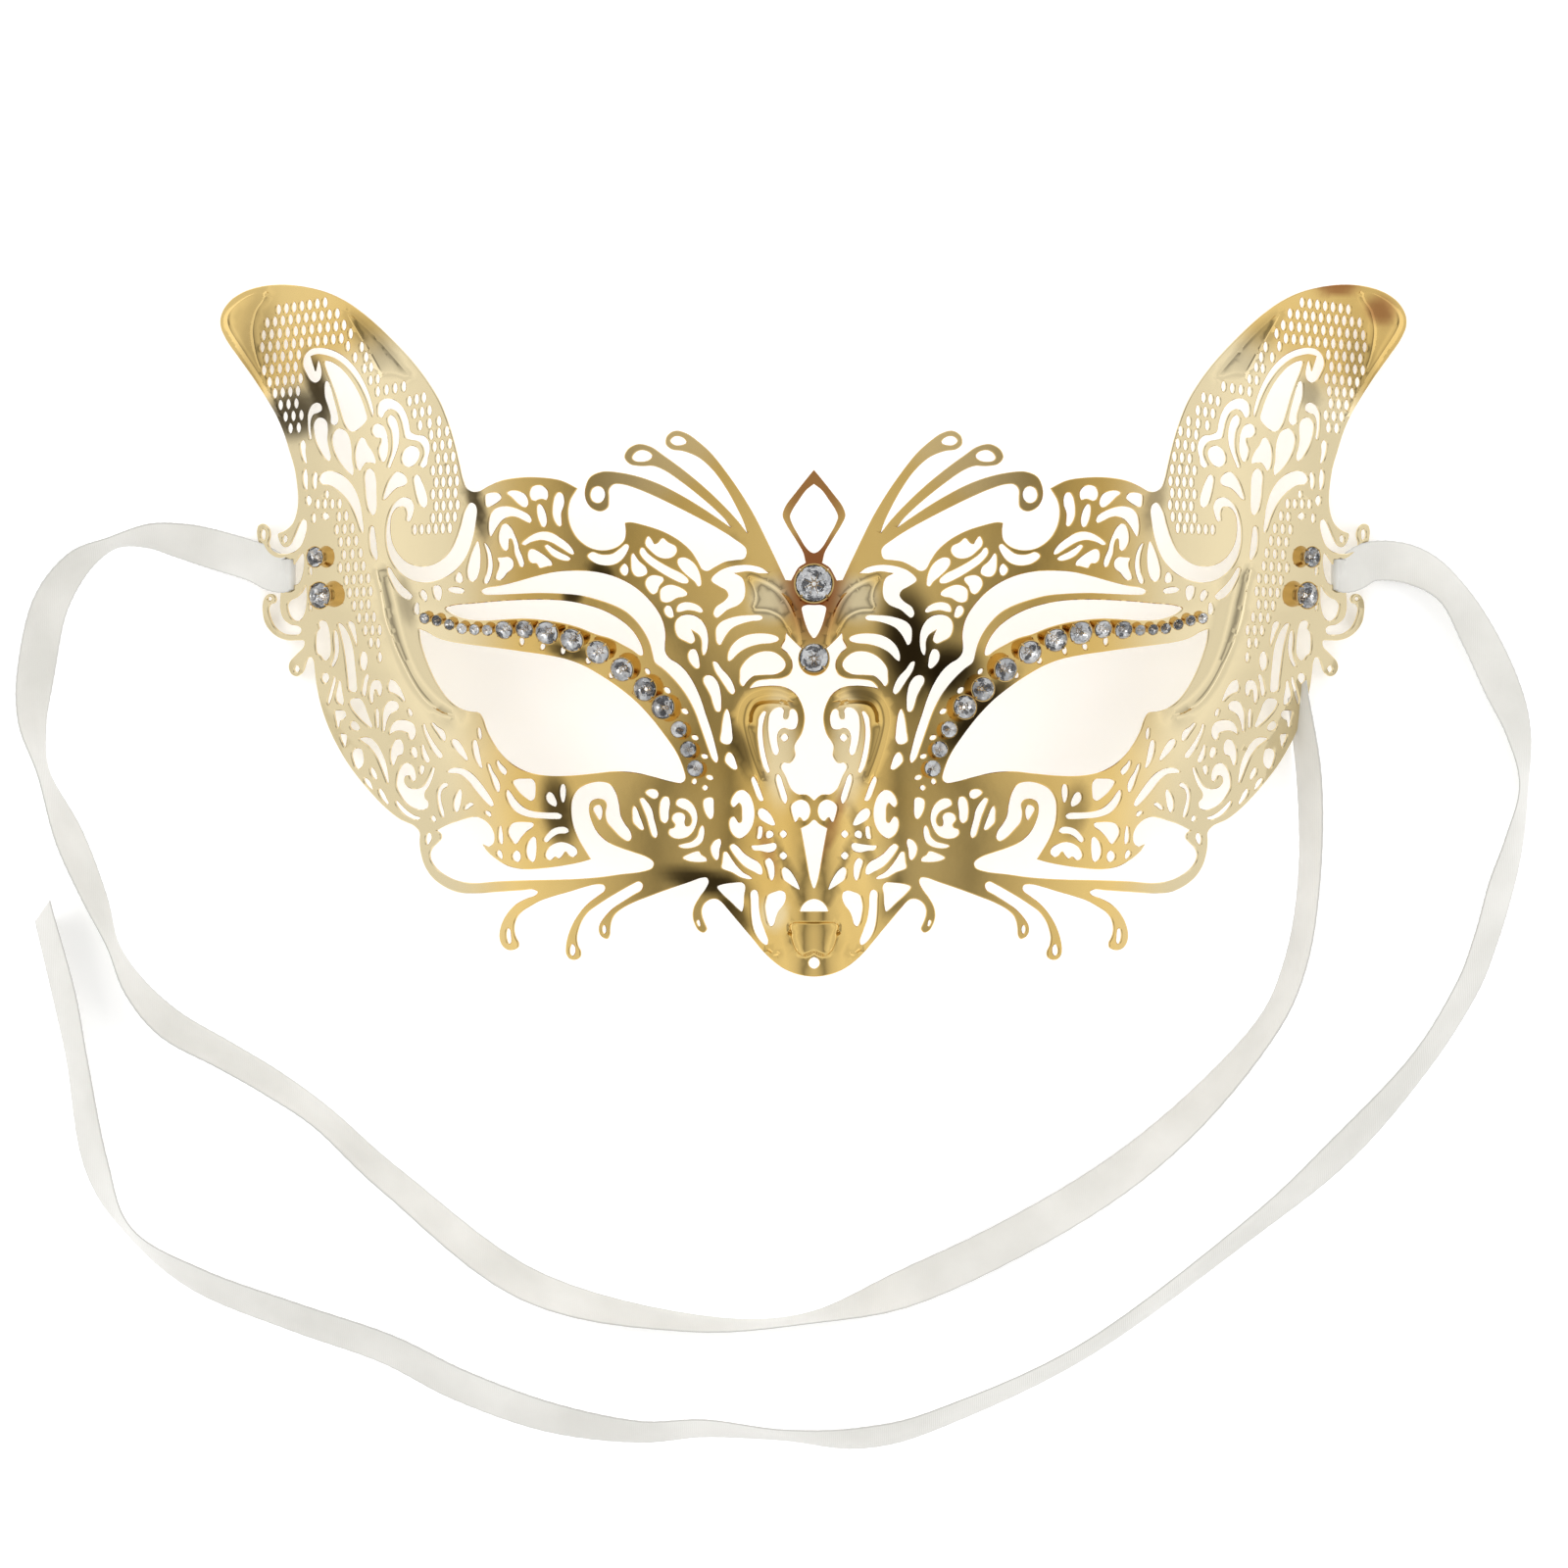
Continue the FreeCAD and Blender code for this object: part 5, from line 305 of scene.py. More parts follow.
    "brow_b": [(54.1, 22.9), (53.5, 23.25), (52.2, 23.2), (51, 22.7), (50.45, 21.9), (50.3, 20.9),
        (50.6, 20.4), (51.2, 20.4), (52.2, 21.1), (53.3, 22.2)],
    "brow_c": [(50.1, 22.7), (49.7, 23.8), (48.7, 24.2), (47.7, 24), (46.9, 23.2), (46.8, 22.2),
        (47.1, 21.6), (47.7, 21.8), (48.3, 21.8), (49, 21.5), (49.6, 21.6), (49.95, 22.1)],
    "brow_d": [(48.7, 20.6), (48.3, 20.9), (47.8, 20.5), (47.2, 19.2), (47, 17.7), (47.3, 16.9),
        (47.8, 16.9), (48.3, 17.7), (48.75, 19.3)],
    "brow_e": [(45.6, 22.2), (45, 22.9), (44.3, 22.7), (43.95, 21.8), (44, 20.6), (44.45, 19.3),
        (44.4, 17.8), (44.4, 17.1), (44.8, 16.95), (45.4, 17.5), (45.95, 18.8), (46, 20.2), (45.85, 21.3)],
    "brow_f": [(57, 19.2), (56.2, 20.1), (54.9, 20.5), (53.2, 20.35), (51.2, 19.6), (50, 18.8),
        (49.7, 17.9), (50, 17.6), (51, 18), (52.2, 18.6), (53.4, 18.8), (54.7, 18.3), (55.7, 17.2),
        (56.5, 15.9), (57, 15.2), (57.3, 16), (57.35, 17.6)],
    "brow_g": [(54.9, 17.3), (54.2, 17.45), (53.4, 16.8), (52.8, 15.7), (52.2, 14.2), (51.9, 12.9),
        (51.35, 11.6), (51.05, 10.4), (51.3, 9.8), (51.8, 10), (52.3, 11.1), (52.75, 12.3), (52.9, 13.6),
        (53.3, 14.8), (53.65, 14.9), (53.8, 13.9), (53.9, 13), (54.3, 12.7), (54.9, 13.1), (55.5, 14.3),
        (55.5, 15.9)],
    "brow_h": [(55.8, 11.4), (55, 11.5), (53.7, 11.55), (53.1, 11.1), (52.9, 10.2), (53.2, 9.5), (54, 8.9),
        (54.8, 7.9), (55.5, 7.5), (56.1, 7.8), (56, 8.6), (55.6, 9.6), (55.5, 10.6)],
    "brow_i": [(51.5, 13.9), (50.6, 14.8), (49.2, 15.65), (47.6, 16), (46, 15.7), (44.5, 14.8),
        (43.1, 13.7), (42.3, 12.6), (42.2, 12.05), (42.7, 12.05), (44.4, 13.1), (46.3, 14.2), (48, 14.6),
        (49.6, 14.3), (50.9, 13.7)],
    "brow_j": [(47.4, 13.5), (46.9, 13.7), (45.8, 13), (44.4, 12.2), (43.2, 11.6), (42.8, 11.2),
        (43.3, 10.9), (44.6, 11.1), (46, 11.8), (46.9, 12.7)],
    "brow_k": [(50.4, 12.2), (50, 12.9), (49.3, 12.9), (48.1, 12.3), (47, 11.5), (46.2, 10.7), (46.1, 10.1),
        (46.8, 10), (47.6, 9.8), (48.3, 9.65), (48.6, 10.1), (48.9, 10.5), (49.6, 10.5), (50.2, 11)],
    "brow_l": [(59.3, 14.5), (58.95, 13.4), (58.8, 11.5), (59, 9.2), (59.6, 7.7), (60.4, 7.3), (61, 7.9),
        (61.2, 9.3), (60.9, 10.8), (60.4, 12.4), (59.8, 13.8)],
    "brow_m": [(58.15, 14.2), (57.6, 13.7), (57, 12.5), (56.7, 11.2), (56.65, 9.6), (57, 8.1), (57.6, 7),
        (58.1, 7), (58.2, 7.6), (57.7, 8.9), (57.5, 10.4), (57.6, 12), (57.9, 13.2)],
    "brow_n": [(63.3, 8.1), (62.8, 9), (62.4, 8.9), (62, 8.1), (62, 7.4), (62.5, 7.1), (63.2, 7.4)],
    # the two long brow openings
    "brow_upper": [(58.7, 5.6), (58, 6.1), (55.5, 6.5), (52.5, 7.2), (49, 8.15), (45.5, 8.9), (42, 9.1),
        (38.5, 8.9), (35.2, 8.1), (32, 6.55), (29.5, 4.5), (27.6, 2.2), (26.5, 0), (26.1, -2.2), (26.2, -4),
        (26.1, -5.3), (25.3, -6.4), (24, -7.2), (22.6, -8.5), (21.2, -10.6), (20, -13.2), (19, -16.2),
        (18, -19.2), (17.2, -22.2), (16.85, -24), (17.1, -24.6), (17.8, -24), (18.6, -22), (19.8, -18.6),
        (21, -15.4), (22.6, -12.5), (24.6, -10), (26.6, -8.1), (28, -7), (28.4, -5.6), (28.8, -4),
        (29.7, -2), (31.2, 0.1), (33, 1.8), (35.2, 3), (38, 4), (41, 4.75), (44.5, 5.1), (48.5, 5.25),
        (53, 5.1), (56.5, 5), (58.2, 5.1)],
    "brow_lower": [(65.1, 2.6), (63.6, 3.15), (60, 3.45), (56.5, 3.75), (52, 4), (47.5, 4.05), (43.5, 3.8),
        (40.2, 3.15), (37, 2.1), (34.4, 0.7), (32.3, -1), (30.9, -2.9), (30.15, -4.7), (30.1, -5.7),
        (30.7, -5.8), (32, -4.9), (34, -3.8), (36, -2.8), (38.5, -2.1), (41.5, -0.9), (44.5, -0.1),
        (47.5, 0.4), (51, 0.7), (54.5, 0.6), (58, 0.4), (61.5, 0.7), (64, 1.6)],
    "brow_slot": [(64.7, 6), (64, 6.35), (62.3, 6.2), (61.7, 5.8), (61.9, 5.35), (63.2, 5.3), (64.3, 5.6)],
    "brow_p": [(66.6, 6.7), (67.3, 6.5), (67.25, 5.3), (66.7, 4.2), (66.1, 4.1), (65.8, 4.7), (65.75, 6),
        (66.1, 6.6)],
    "brow_q": [(69.7, 5.4), (69.2, 5.95), (68.5, 5.4), (68.3, 4.4), (68.7, 3.9), (69.2, 4.3)],
    "brow_r": [(70.8, 2.6), (70.4, 3.7), (69.95, 3.6), (69.8, 2.6), (69.85, 1.7), (70.2, 1.5), (70.7, 1.9)],
    # ear
    "cane": [(90.9, 46.2), (90.5, 47.8), (89.3, 48.8), (87.6, 49), (85.6, 48.6), (83.4, 47.45),
        (81.4, 45.5), (79.8, 43), (78.6, 40.2), (77.95, 37.5), (78.05, 36.6), (78.5, 37.6), (79.3, 39.9),
        (80.7, 42.7), (82.7, 45.3), (85, 47.1), (87, 47.8), (88.3, 47.95), (89.4, 47.6, 1), (89, 46.2),
        (88.55, 44.9, 1), (88.3, 46), (88, 47.1, 1), (87.6, 46), (87.4, 44.6), (87.7, 43.4), (88.5, 42.9),
        (89.5, 43.3), (90.2, 44.4)],
    "ear_leaf": [(86.9, 46.6), (85.9, 46.6), (84.2, 45.6), (82.2, 43.4), (80.5, 40.5), (79.5, 37.8),
        (79.2, 36.3), (80.2, 35), (81.4, 34.2), (82.3, 34.2), (83.2, 35.3), (84, 37.6), (84.8, 40.4),
        (85.7, 42.9), (86.5, 44.8)],
    "ear_slim": [(86.8, 43), (86.3, 43.1), (85.8, 42.1), (85.2, 39.9), (84.6, 37.6), (84.4, 36.1),
        (84.8, 35.4), (85.5, 35.4), (85.9, 35.8), (85.9, 36.9), (86.4, 38.7), (86.9, 40.2), (87, 41.8)],
    "ear_comma": [(90, 37.6), (89.3, 38.9), (88.2, 39.35), (87.5, 38.9), (87.4, 38), (88, 37.6),
        (88.9, 37.3), (89.4, 36.3), (89.45, 34.4), (89.3, 33), (89.6, 32.8), (89.95, 34), (90.1, 35.8)],
    "ear_sickle": [(88.95, 35.7), (88.2, 36.6), (87.2, 36.6), (86.5, 35.9), (86.3, 34.6), (86.4, 32.8),
        (86.1, 31), (85.8, 29.7), (86, 29), (86.7, 29.3), (87.7, 30.7), (88.5, 32.4), (88.95, 34.2)],
    "ear_slip": [(91.4, 32.3), (90.8, 32.8), (90.4, 32.1), (90.4, 30.6), (90.2, 29.2), (90.2, 28.6),
        (90.6, 28.8), (91.1, 29.9), (91.4, 31.2)],
    "petal_a": [(85.6, 32.9), (85.2, 34.1), (84.3, 34.7), (83.1, 34.2), (82.4, 33), (82.05, 31.2),
        (81.95, 29), (81.65, 27.3), (81.8, 26.4), (82.5, 26.8), (83.8, 28.2), (84.8, 29.8), (85.4, 31.3)],
    "petal_b": [(81.4, 30.2), (81, 32), (80.3, 33), (79.7, 32.9), (79.1, 31.7), (78.2, 30.4), (77.7, 29.2),
        (77.7, 28.4), (78.4, 28.6), (79.4, 28.6), (80, 27.9), (80.5, 27.1), (81, 27.6), (81.3, 28.7)],
    "petal_c": [(78.3, 33.9), (78.1, 35), (77.3, 35.4), (76.3, 35), (75.7, 33.9), (75.4, 32.2),
        (75.45, 30.4), (75.9, 28.9), (76.4, 28.6), (76.9, 29.5), (77.15, 30.9), (76.7, 32.1), (76.7, 32.9),
        (77.6, 33)],
    "crook": [(77.3, 37.6), (77, 39.1), (75.9, 39.8), (74.5, 39.65), (73.2, 38.8), (72.2, 37.3),
        (71.6, 35.4), (71.3, 33.9), (70.2, 33.3), (68.9, 33.1), (68.1, 32.2), (67.85, 30.8), (68.2, 29.2),
        (68.4, 28), (69.1, 27.5), (69.7, 27.9), (69.3, 28.8), (68.9, 29.9), (69.1, 31.2), (70, 32.2),
        (71.3, 32.5), (72.2, 32.8), (72.6, 34.2), (73, 35.9), (73.8, 37.4), (75, 38), (75.9, 37.4),
        (76.4, 36.5), (77, 36.6)],
    "petal_d": [(75.5, 36.3), (75, 36.9), (74.2, 36.5), (73.6, 35.1), (73.35, 33.4), (73.5, 31.6),
        (74.1, 29.8), (74.7, 28.4), (75.05, 27.6), (75.5, 27.7), (75.2, 28.9), (74.75, 30.4), (74.6, 32.2),
        (74.85, 34.2), (75.4, 35.4)],
    "ear_round": [(73, 29.2), (72.4, 30.8), (71.2, 31.4), (70.2, 31.1), (69.7, 30.2), (70, 29), (70.8, 28),
        (71.8, 27.7), (72.6, 28.1)],
    "ear_pod": [(79.7, 26.3), (79.3, 27.3), (78.6, 27.5), (78, 27), (77.6, 25.6), (77.5, 23), (77.5, 20.6),
        (77.8, 19.4), (78.3, 19.3), (78.9, 20.1), (79.4, 22), (79.6, 24.2)],
    "ear_wing": [(76.3, 22), (75.9, 23.8), (75.1, 25.6), (74, 26.8), (72.9, 26.6), (72.1, 25.8), (72, 24.9),
        (72.6, 24.4), (73.7, 24.1), (74.8, 23.2), (75.7, 22.2)],
    "ear_seed": [(70.8, 25.7), (70.4, 26.3), (69.9, 26.2), (69.3, 25.1), (68.7, 23.6), (68.3, 21.8),
        (68.5, 20.7), (69, 20.5), (69.7, 21), (70.2, 22.3), (70.6, 24)],
    "long_leaf": [(88, 25.7), (87.5, 26.8), (86.2, 27.2), (84.4, 26.8), (82.7, 25.6), (81.4, 23.8),
        (80.5, 21.4), (80, 18.6), (79.8, 16.6), (80, 16), (80.5, 16.9), (81.2, 18.9), (82.4, 21.4),
        (84.2, 23.5), (86.2, 24.8), (87.5, 25)],
    "ear_slip_b": [(78.8, 16.3), (78.5, 17.3), (78, 17.2), (77.7, 15.7), (77.4, 13.4), (77.25, 11.8),
        (77.5, 11.2), (78, 11.7), (78.6, 13), (78.85, 14.8)],
    "scroll": [(60.7, 21.2), (59.85, 21), (59.45, 20.1), (59.65, 17.8), (60.3, 14.6), (61.5, 11.6),
        (63.3, 9.4), (65.6, 7.95), (68.4, 7.3), (71.1, 7.7), (73.3, 9.1), (74.85, 11.2), (75.7, 13.9),
        (75.8, 16.8), (75.3, 19.3), (74.3, 21.3), (72.8, 22.3), (71.4, 22), (70.75, 20.8), (71, 19.1),
        (71.6, 18), (72.1, 18.3), (72, 19.5), (72.5, 20.7), (73.7, 20.6), (74.7, 19.3), (75, 17),
        (74.7, 14.6), (73.7, 12.5), (72.1, 10.9), (70.1, 10.1), (68, 10.15), (65.9, 11.1), (64.2, 12.8),
        (63.1, 15), (62.3, 17.4), (61.7, 19.6)],
    "scroll_foot": [(75.6, 9.9), (75.1, 9.9), (74.2, 8.5), (72.9, 6.8), (71.5, 5.5), (71, 4.8), (71.4, 4.3),
        (72.5, 4.5), (73.8, 5.6), (74.8, 7.3), (75.5, 9)],
    # temple
    "temple_a": [(90.9, 27), (90.4, 27.8), (90.1, 27), (90, 25.2), (90.2, 23.8), (90.5, 24.1),
        (90.9, 25.4)],
    "temple_b": [(89.1, 26.4), (88.7, 27.1), (88.3, 26.9), (88.3, 25.6), (88.4, 24.4), (88.7, 23.9),
        (89.1, 24.8)],
    "temple_c": [(90.4, 22.4), (90, 23), (89.5, 22.7), (89.3, 21.9), (89.6, 21.2), (90.1, 21.3)],
    "temple_d": [(87.4, 19.4), (87, 19.9), (86.3, 19.6), (86.1, 19), (86.6, 18.6), (87.2, 18.8)],
    "hook_eye": [(94.7, 15.3), (94.3, 16), (93.8, 15.7), (93.8, 15), (94.2, 14.6), (94.6, 14.8)],
    "curl_eye": [(98.7, 16.3), (98.4, 17.1), (97.9, 16.9), (97.8, 16), (98, 15.2), (98.5, 15.4)],
    "ribbon_slot": [(90.9, 12.7), (90.7, 11.6), (90.8, 10), (91.1, 8.6), (91.6, 7.5), (92.3, 7.1),
        (93, 7.3), (93.4, 8.1), (93.2, 9.4), (92.6, 10.7), (91.9, 11.7), (91.4, 12.4)],
    "dee": [(90.4, 7), (90.25, 5.4), (90.35, 3.4), (90.8, 1.7), (91.5, 0.8), (92.4, 0.65), (93.2, 1.3),
        (93.7, 2.5), (93.8, 3.6), (93.3, 4.3), (92.2, 4.8), (91.2, 5.7)],
    "arc_eye": [(97.5, 4.7), (97, 5.1), (96.6, 4.7), (97, 4.3)],
    "temple_e": [(89.8, 10.1), (89.4, 10.4), (89.2, 9.5), (89.35, 8.7), (89.7, 8.9)],
    "temple_f": [(89.8, 3.6), (89.5, 4.1), (89.3, 3.2), (89.4, 2.4), (89.7, 2.6)],
    "loop_eye": [(92.7, -7.8), (92.2, -7.2), (91.7, -7.8), (92.1, -8.5), (92.6, -8.4)],
    # cheek panel
    "pan_a": [(88.2, 0.2), (87.4, 0.7), (86.7, 0.4), (86.2, -1), (85.95, -3.2), (86, -5.2), (86.6, -6.3),
        (87.3, -6.4), (87.9, -5.6), (88.5, -5.2), (88.7, -4.2), (88.7, -2.6), (88.5, -1.4), (88, -0.8)],
    "pan_b": [(85.2, -1), (84.8, -1.3), (84.45, -3), (84.45, -5), (84.9, -6.5), (85.7, -7.6), (86, -7.4),
        (85.6, -6.3), (85.3, -4.8), (85.4, -2.6)],
    "pan_c": [(84.6, 0.1), (84, 0.1), (83.1, -1), (82.3, -2.8), (81.8, -4.8), (81.5, -7.5), (81.3, -10.2),
        (81.35, -11.9), (82, -12.1), (82.7, -11.8), (83, -9.5), (83.3, -6.6), (83.7, -3.8), (84.2, -1.6)],
    "pan_d": [(82.8, 0.2), (82.2, 0.5), (81.6, 0), (81.3, -1.3), (81.1, -2.9), (81.2, -3.9), (81.6, -3.1),
        (82.2, -1.5)],
    "pan_e": [(80.5, -5.5), (80.2, -4.9), (79.7, -4.9), (79.3, -5.7), (79.3, -7.2), (79.7, -8.2),
        (80.2, -8.2), (80.6, -7.5), (80.7, -6.4)],
    "pan_f": [(87.7, -9.3), (87.2, -8.7), (86.6, -8.7), (86.3, -9.4), (86.6, -10.2), (87.2, -10.5),
        (87.6, -10)],
    "pan_g": [(85.4, -9.4), (85.15, -9.3), (85.1, -10.1), (85.5, -11.6), (86, -13.3), (86.5, -14.3),
        (86.7, -13.9), (86.4, -12.4), (85.9, -10.8)],
    "pan_h": [(84.5, -10), (84.2, -10.1), (84, -11.6), (83.7, -13.6), (83.8, -14.2), (84.3, -14.3),
        (85, -13.7), (85.2, -12.6), (84.9, -11.2)],
    "pan_i": [(85.4, -15.4), (84.6, -15.3), (83.6, -15.4), (83.3, -16.2), (83.8, -16.8), (84.4, -17.1),
        (84.6, -18.2), (85, -18.3), (85.2, -17.4), (85.4, -16.4)],
    "pan_j": [(82.6, -17.7), (81.9, -17.2), (81.2, -17.7), (80.8, -18.4), (81, -18.8), (81.8, -18.9),
        (82.5, -18.5)],
    "pan_k": [(82.7, -13.8), (81.9, -13.2), (80.8, -13.2), (80, -14.1), (79.5, -15.5), (78.9, -17.1),
        (78.5, -18.2), (78.9, -18.4), (80, -17.6), (81.3, -16.3), (82.3, -15)],
    "pan_l": [(80.2, -10.9), (79.8, -9.4), (79.2, -8.9), (79, -9.3), (79.3, -10.4), (79.5, -11.8),
        (79.8, -12.8), (80.2, -12.7), (80.4, -12)],
    "pan_m": [(79, -11.6), (78.6, -10.5), (77.9, -10), (77.1, -10.1), (76.7, -10.9), (76.7, -12.1),
        (77.1, -12.8), (77.5, -12.5), (77.7, -11.8), (78, -11.6), (78.2, -12.6), (78.3, -13.7),
        (78.6, -14.1), (79, -13.3)],
    "pan_n": [(77.9, -15.3), (77.6, -14.9), (77.3, -15.5), (77.25, -16.8), (77.4, -18.4), (77.7, -18.5),
        (77.9, -17)],
    "pan_o": [(75.5, -10.5), (75.1, -9.9), (74.3, -10.2), (73.5, -11.2), (72.8, -12.6), (72.5, -13.7),
        (72.7, -13.8), (73.5, -13), (74.6, -12.3), (75.4, -12), (75.6, -11.4)],
    "pan_p": [(76.6, -15.7), (76.1, -14.4), (75.3, -13.7), (74.3, -13.7), (73.7, -14.3), (73.8, -15.1),
        (74.5, -15.5), (75.3, -16.1), (75.9, -17.4), (76.3, -19), (76.6, -19.1), (76.7, -17.6)],
    "pan_q": [(72, -15), (71.6, -15.1), (71.2, -15.8), (71.3, -16.3), (71.7, -16.4), (72, -15.8)],
    "pan_r": [(75.4, -18.8), (74.8, -17.7), (73.7, -17.1), (72.3, -17.1), (71.2, -17.6), (70.7, -18.5),
        (70.7, -19.7), (71.2, -20.5), (71.7, -20.5), (72, -20), (72.1, -19.4), (73, -19), (74.2, -18.9),
        (75, -19.3), (75.4, -19.6)],
    "pan_s": [(75.3, -22.6), (75, -21.6), (74.3, -20.6), (73.5, -20.5), (73, -21.2), (72.9, -22.4),
        (73.2, -23.1), (73.9, -23.3), (74.3, -24.2), (74.7, -25.1), (75, -25), (75.3, -24)],
    "pan_t": [(71.6, -22.5), (71.2, -21.8), (70.7, -21.9), (70.4, -22.6), (70.4, -23.5), (70.8, -23.8),
        (71.3, -23.3)],
    "pan_u": [(69.6, -21.5), (69.3, -21.3), (69, -22), (68.5, -23.1), (68.1, -24.2), (68.4, -24.6),
        (68.9, -24.4), (69.4, -23.5), (69.6, -22.3)],
    "pan_v": [(74.2, -27.6), (73.8, -26), (72.9, -24.8), (71.9, -24.7), (71.1, -25.4), (70.7, -26.6),
        (70.7, -27.6), (71.1, -27.9), (71.6, -27.5), (71.9, -26.8), (72.6, -27), (72.8, -28), (72.1, -28.9),
        (70.8, -29.3), (69.5, -28.9), (68.6, -27.6), (67.9, -26.2), (67.5, -25.3), (67.2, -25.5),
        (67.5, -26.9), (68.2, -28.6), (69.1, -30), (69, -30.9), (68.4, -31.6), (68.5, -32.5), (69.3, -32.9),
        (70.8, -32.7), (72.4, -31.8), (73.6, -30.2), (74.2, -28.9)],
    "pan_w": [(70, -25.4), (69.6, -25), (69.1, -25.3), (69.3, -26.4), (69.7, -26.8), (70, -26.2)],
    "pan_x": [(81, -20.4), (80.2, -20.1), (79, -20.2), (77.9, -21.1), (77, -22.5), (76.2, -24.4),
        (75.7, -26.6), (75.6, -28.1), (75.8, -28.3), (76.3, -27.2), (77.1, -25.2), (78, -23.3),
        (79.2, -21.8), (80.3, -21)],
    "pan_y": [(84.5, -19.5), (83.8, -19.5), (83.3, -19.6), (83.3, -20.8), (83.6, -21.9), (84.1, -21.1)],
    "pan_z": [(82.4, -23), (82.1, -22.3), (81.4, -22), (80.6, -22.2), (80.3, -23), (80.2, -24.4),
        (80.6, -25.3), (81.2, -25.7), (81.7, -25.4), (82.1, -24.4)],
    "pod_a": [(79, -25.6), (78.6, -25.4), (78, -26.2), (77.7, -27.3), (77.9, -27.7), (78.4, -27.3),
        (78.9, -26.5)],
    "pod_b": [(80.2, -27.4), (79.7, -27.3), (79.1, -27.8), (78.6, -28.9), (78.5, -29.4), (79, -29.2),
        (79.8, -28.4)],
    "pod_c": [(77.5, -29.5), (77.2, -29.1), (76.6, -29.7), (76, -30.9), (75.6, -31.8), (75.9, -32),
        (76.6, -31.4), (77.2, -30.5)],
    "pod_d": [(74.4, -31.4), (74.1, -31.3), (73.4, -32), (72.1, -33.2), (70.8, -34), (69.9, -34.3),
        (70, -34.6), (71, -34.6), (72.3, -34.1), (73.4, -33.2), (74.2, -32.1)],
    "pod_e": [(68, -34.5), (67.5, -33.9), (67.1, -34.3), (67, -34.9), (67.5, -35)],
    "pod_f": [(66.8, -30.2), (66.5, -29.1), (65.8, -28.3), (65, -28.2), (64.8, -28.5), (65, -28.8),
        (65.7, -29.2), (66.1, -30.2), (66, -31.6), (65.6, -33), (65.5, -34.2), (65.7, -34.4), (66.2, -33.6),
        (66.6, -32.2)],
    "pod_g": [(65, -26.2), (64.5, -25.7), (63.2, -25.5), (61.7, -25.8), (60.3, -26.7), (58.9, -28.2),
        (57.6, -30), (56.7, -31.5), (56.6, -32.1), (57.1, -32.3), (58.3, -31.3), (59.8, -29.6),
        (61.4, -27.6), (62.9, -26.5), (64.2, -26.4)],
    "pod_h": [(62.6, -29.2), (62.3, -29.9), (62.45, -31.2), (62.7, -32.5), (63.1, -33.3), (63.5, -33.3),
        (63.85, -32.3), (63.7, -31), (63.1, -29.7)],
    "pod_i": [(61.9, -32.9), (61.6, -32.1), (61, -31.7), (60.4, -31.7), (60.2, -32), (60.7, -32.3),
        (61.3, -32.8)],
    "pod_j": [(58.2, -33.2), (57.8, -33.1), (57.2, -33.4), (57, -34), (57.4, -34.1), (58, -33.7)],
    "pod_k": [(67.8, -17.6), (67.5, -17.5), (66.6, -18.3), (65.7, -18.8), (65.3, -19.5), (65.2, -20.4),
        (65.5, -20.8), (66, -20.4), (66.7, -19.4), (67.4, -18.4)],
    "pod_l": [(69.3, -17.8), (69, -17.7), (68.6, -18.8), (67.7, -20.5), (66.6, -22.1), (65.8, -23.2),
        (65.9, -23.7), (66.5, -23.7), (67.5, -22.6), (68.4, -20.9), (69.1, -19.2)],
    "pod_m": [(64.2, -20.7), (63.8, -20.4), (63.1, -20.6), (62.3, -21.6), (61.5, -23.1), (61.2, -24),
        (61.4, -24.2), (62.2, -23.6), (63.2, -22.6), (64, -21.5)],
    "pod_n": [(60.4, -21.1), (60.1, -20.5), (59.7, -20.7), (59.3, -21.9), (59, -23.4), (58.7, -24.9),
        (58.6, -25.5), (59, -25.4), (59.7, -24.4), (60.2, -23)],
    "pod_o": [(59.4, -18.5), (59.2, -18.3), (58.85, -18.9), (58.75, -20), (59, -20.6), (59.3, -20.1),
        (59.45, -19.3)],
    "pod_p": [(57.7, -24.7), (57.3, -24.9), (56.7, -26.2), (55.9, -27.4), (55.45, -28.6), (55.6, -29.7),
        (55.9, -29.8), (56.5, -28.8), (57.1, -27), (57.6, -25.6)],
    "pod_q": [(56.1, -24.4), (55.8, -24.1), (55.4, -24.7), (54.6, -25.5), (54.2, -26.2), (54.5, -26.7),
        (55, -26.5), (55.7, -25.7)],
    "pod_r": [(53.2, -27.9), (52.5, -27.5), (51, -27.4), (49.7, -27.5), (49.2, -28.1), (49.1, -29.4),
        (49.3, -30.9), (49.9, -31.3), (51, -30.7), (52.3, -29.5)],
    "pod_s": [(54.4, -29.9), (54.1, -29.3), (53.6, -29.8), (52.6, -31.2), (51.2, -32.5), (49.4, -33.2),
        (47.2, -33.4), (45, -33.5), (44.4, -33.9), (44.6, -34.4), (45.7, -34.5), (48, -34.4), (50.6, -34.1),
        (52.7, -33.2), (53.9, -31.7)],
    "pod_t": [(47.3, -30.6), (46.9, -29.8), (46.2, -29.9), (45.6, -30.8), (45.3, -31.8), (45.5, -32.3),
        (46.2, -32.1), (47, -31.5)],
    "pod_u": [(44.8, -29.4), (44.5, -28.4), (44, -28.4), (43.7, -29.3), (43.8, -30.7), (44.1, -31.6),
        (44.4, -31.5), (44.7, -30.7)],
    "fin_a": [(54, -36.4), (53.4, -35.4), (52.3, -35.1), (50.7, -35.1), (49.5, -35.3), (49.5, -35.8),
        (50.6, -36.6), (51.7, -37.8), (52.4, -38.8), (52.9, -38.9), (53.5, -38.1), (53.95, -37.3)],
    "fin_b": [(55.6, -35.9), (55.3, -35.7), (55.05, -36.6), (54.9, -38.1), (55.05, -39), (55.5, -38.8),
        (55.8, -37.9), (55.75, -36.7)],
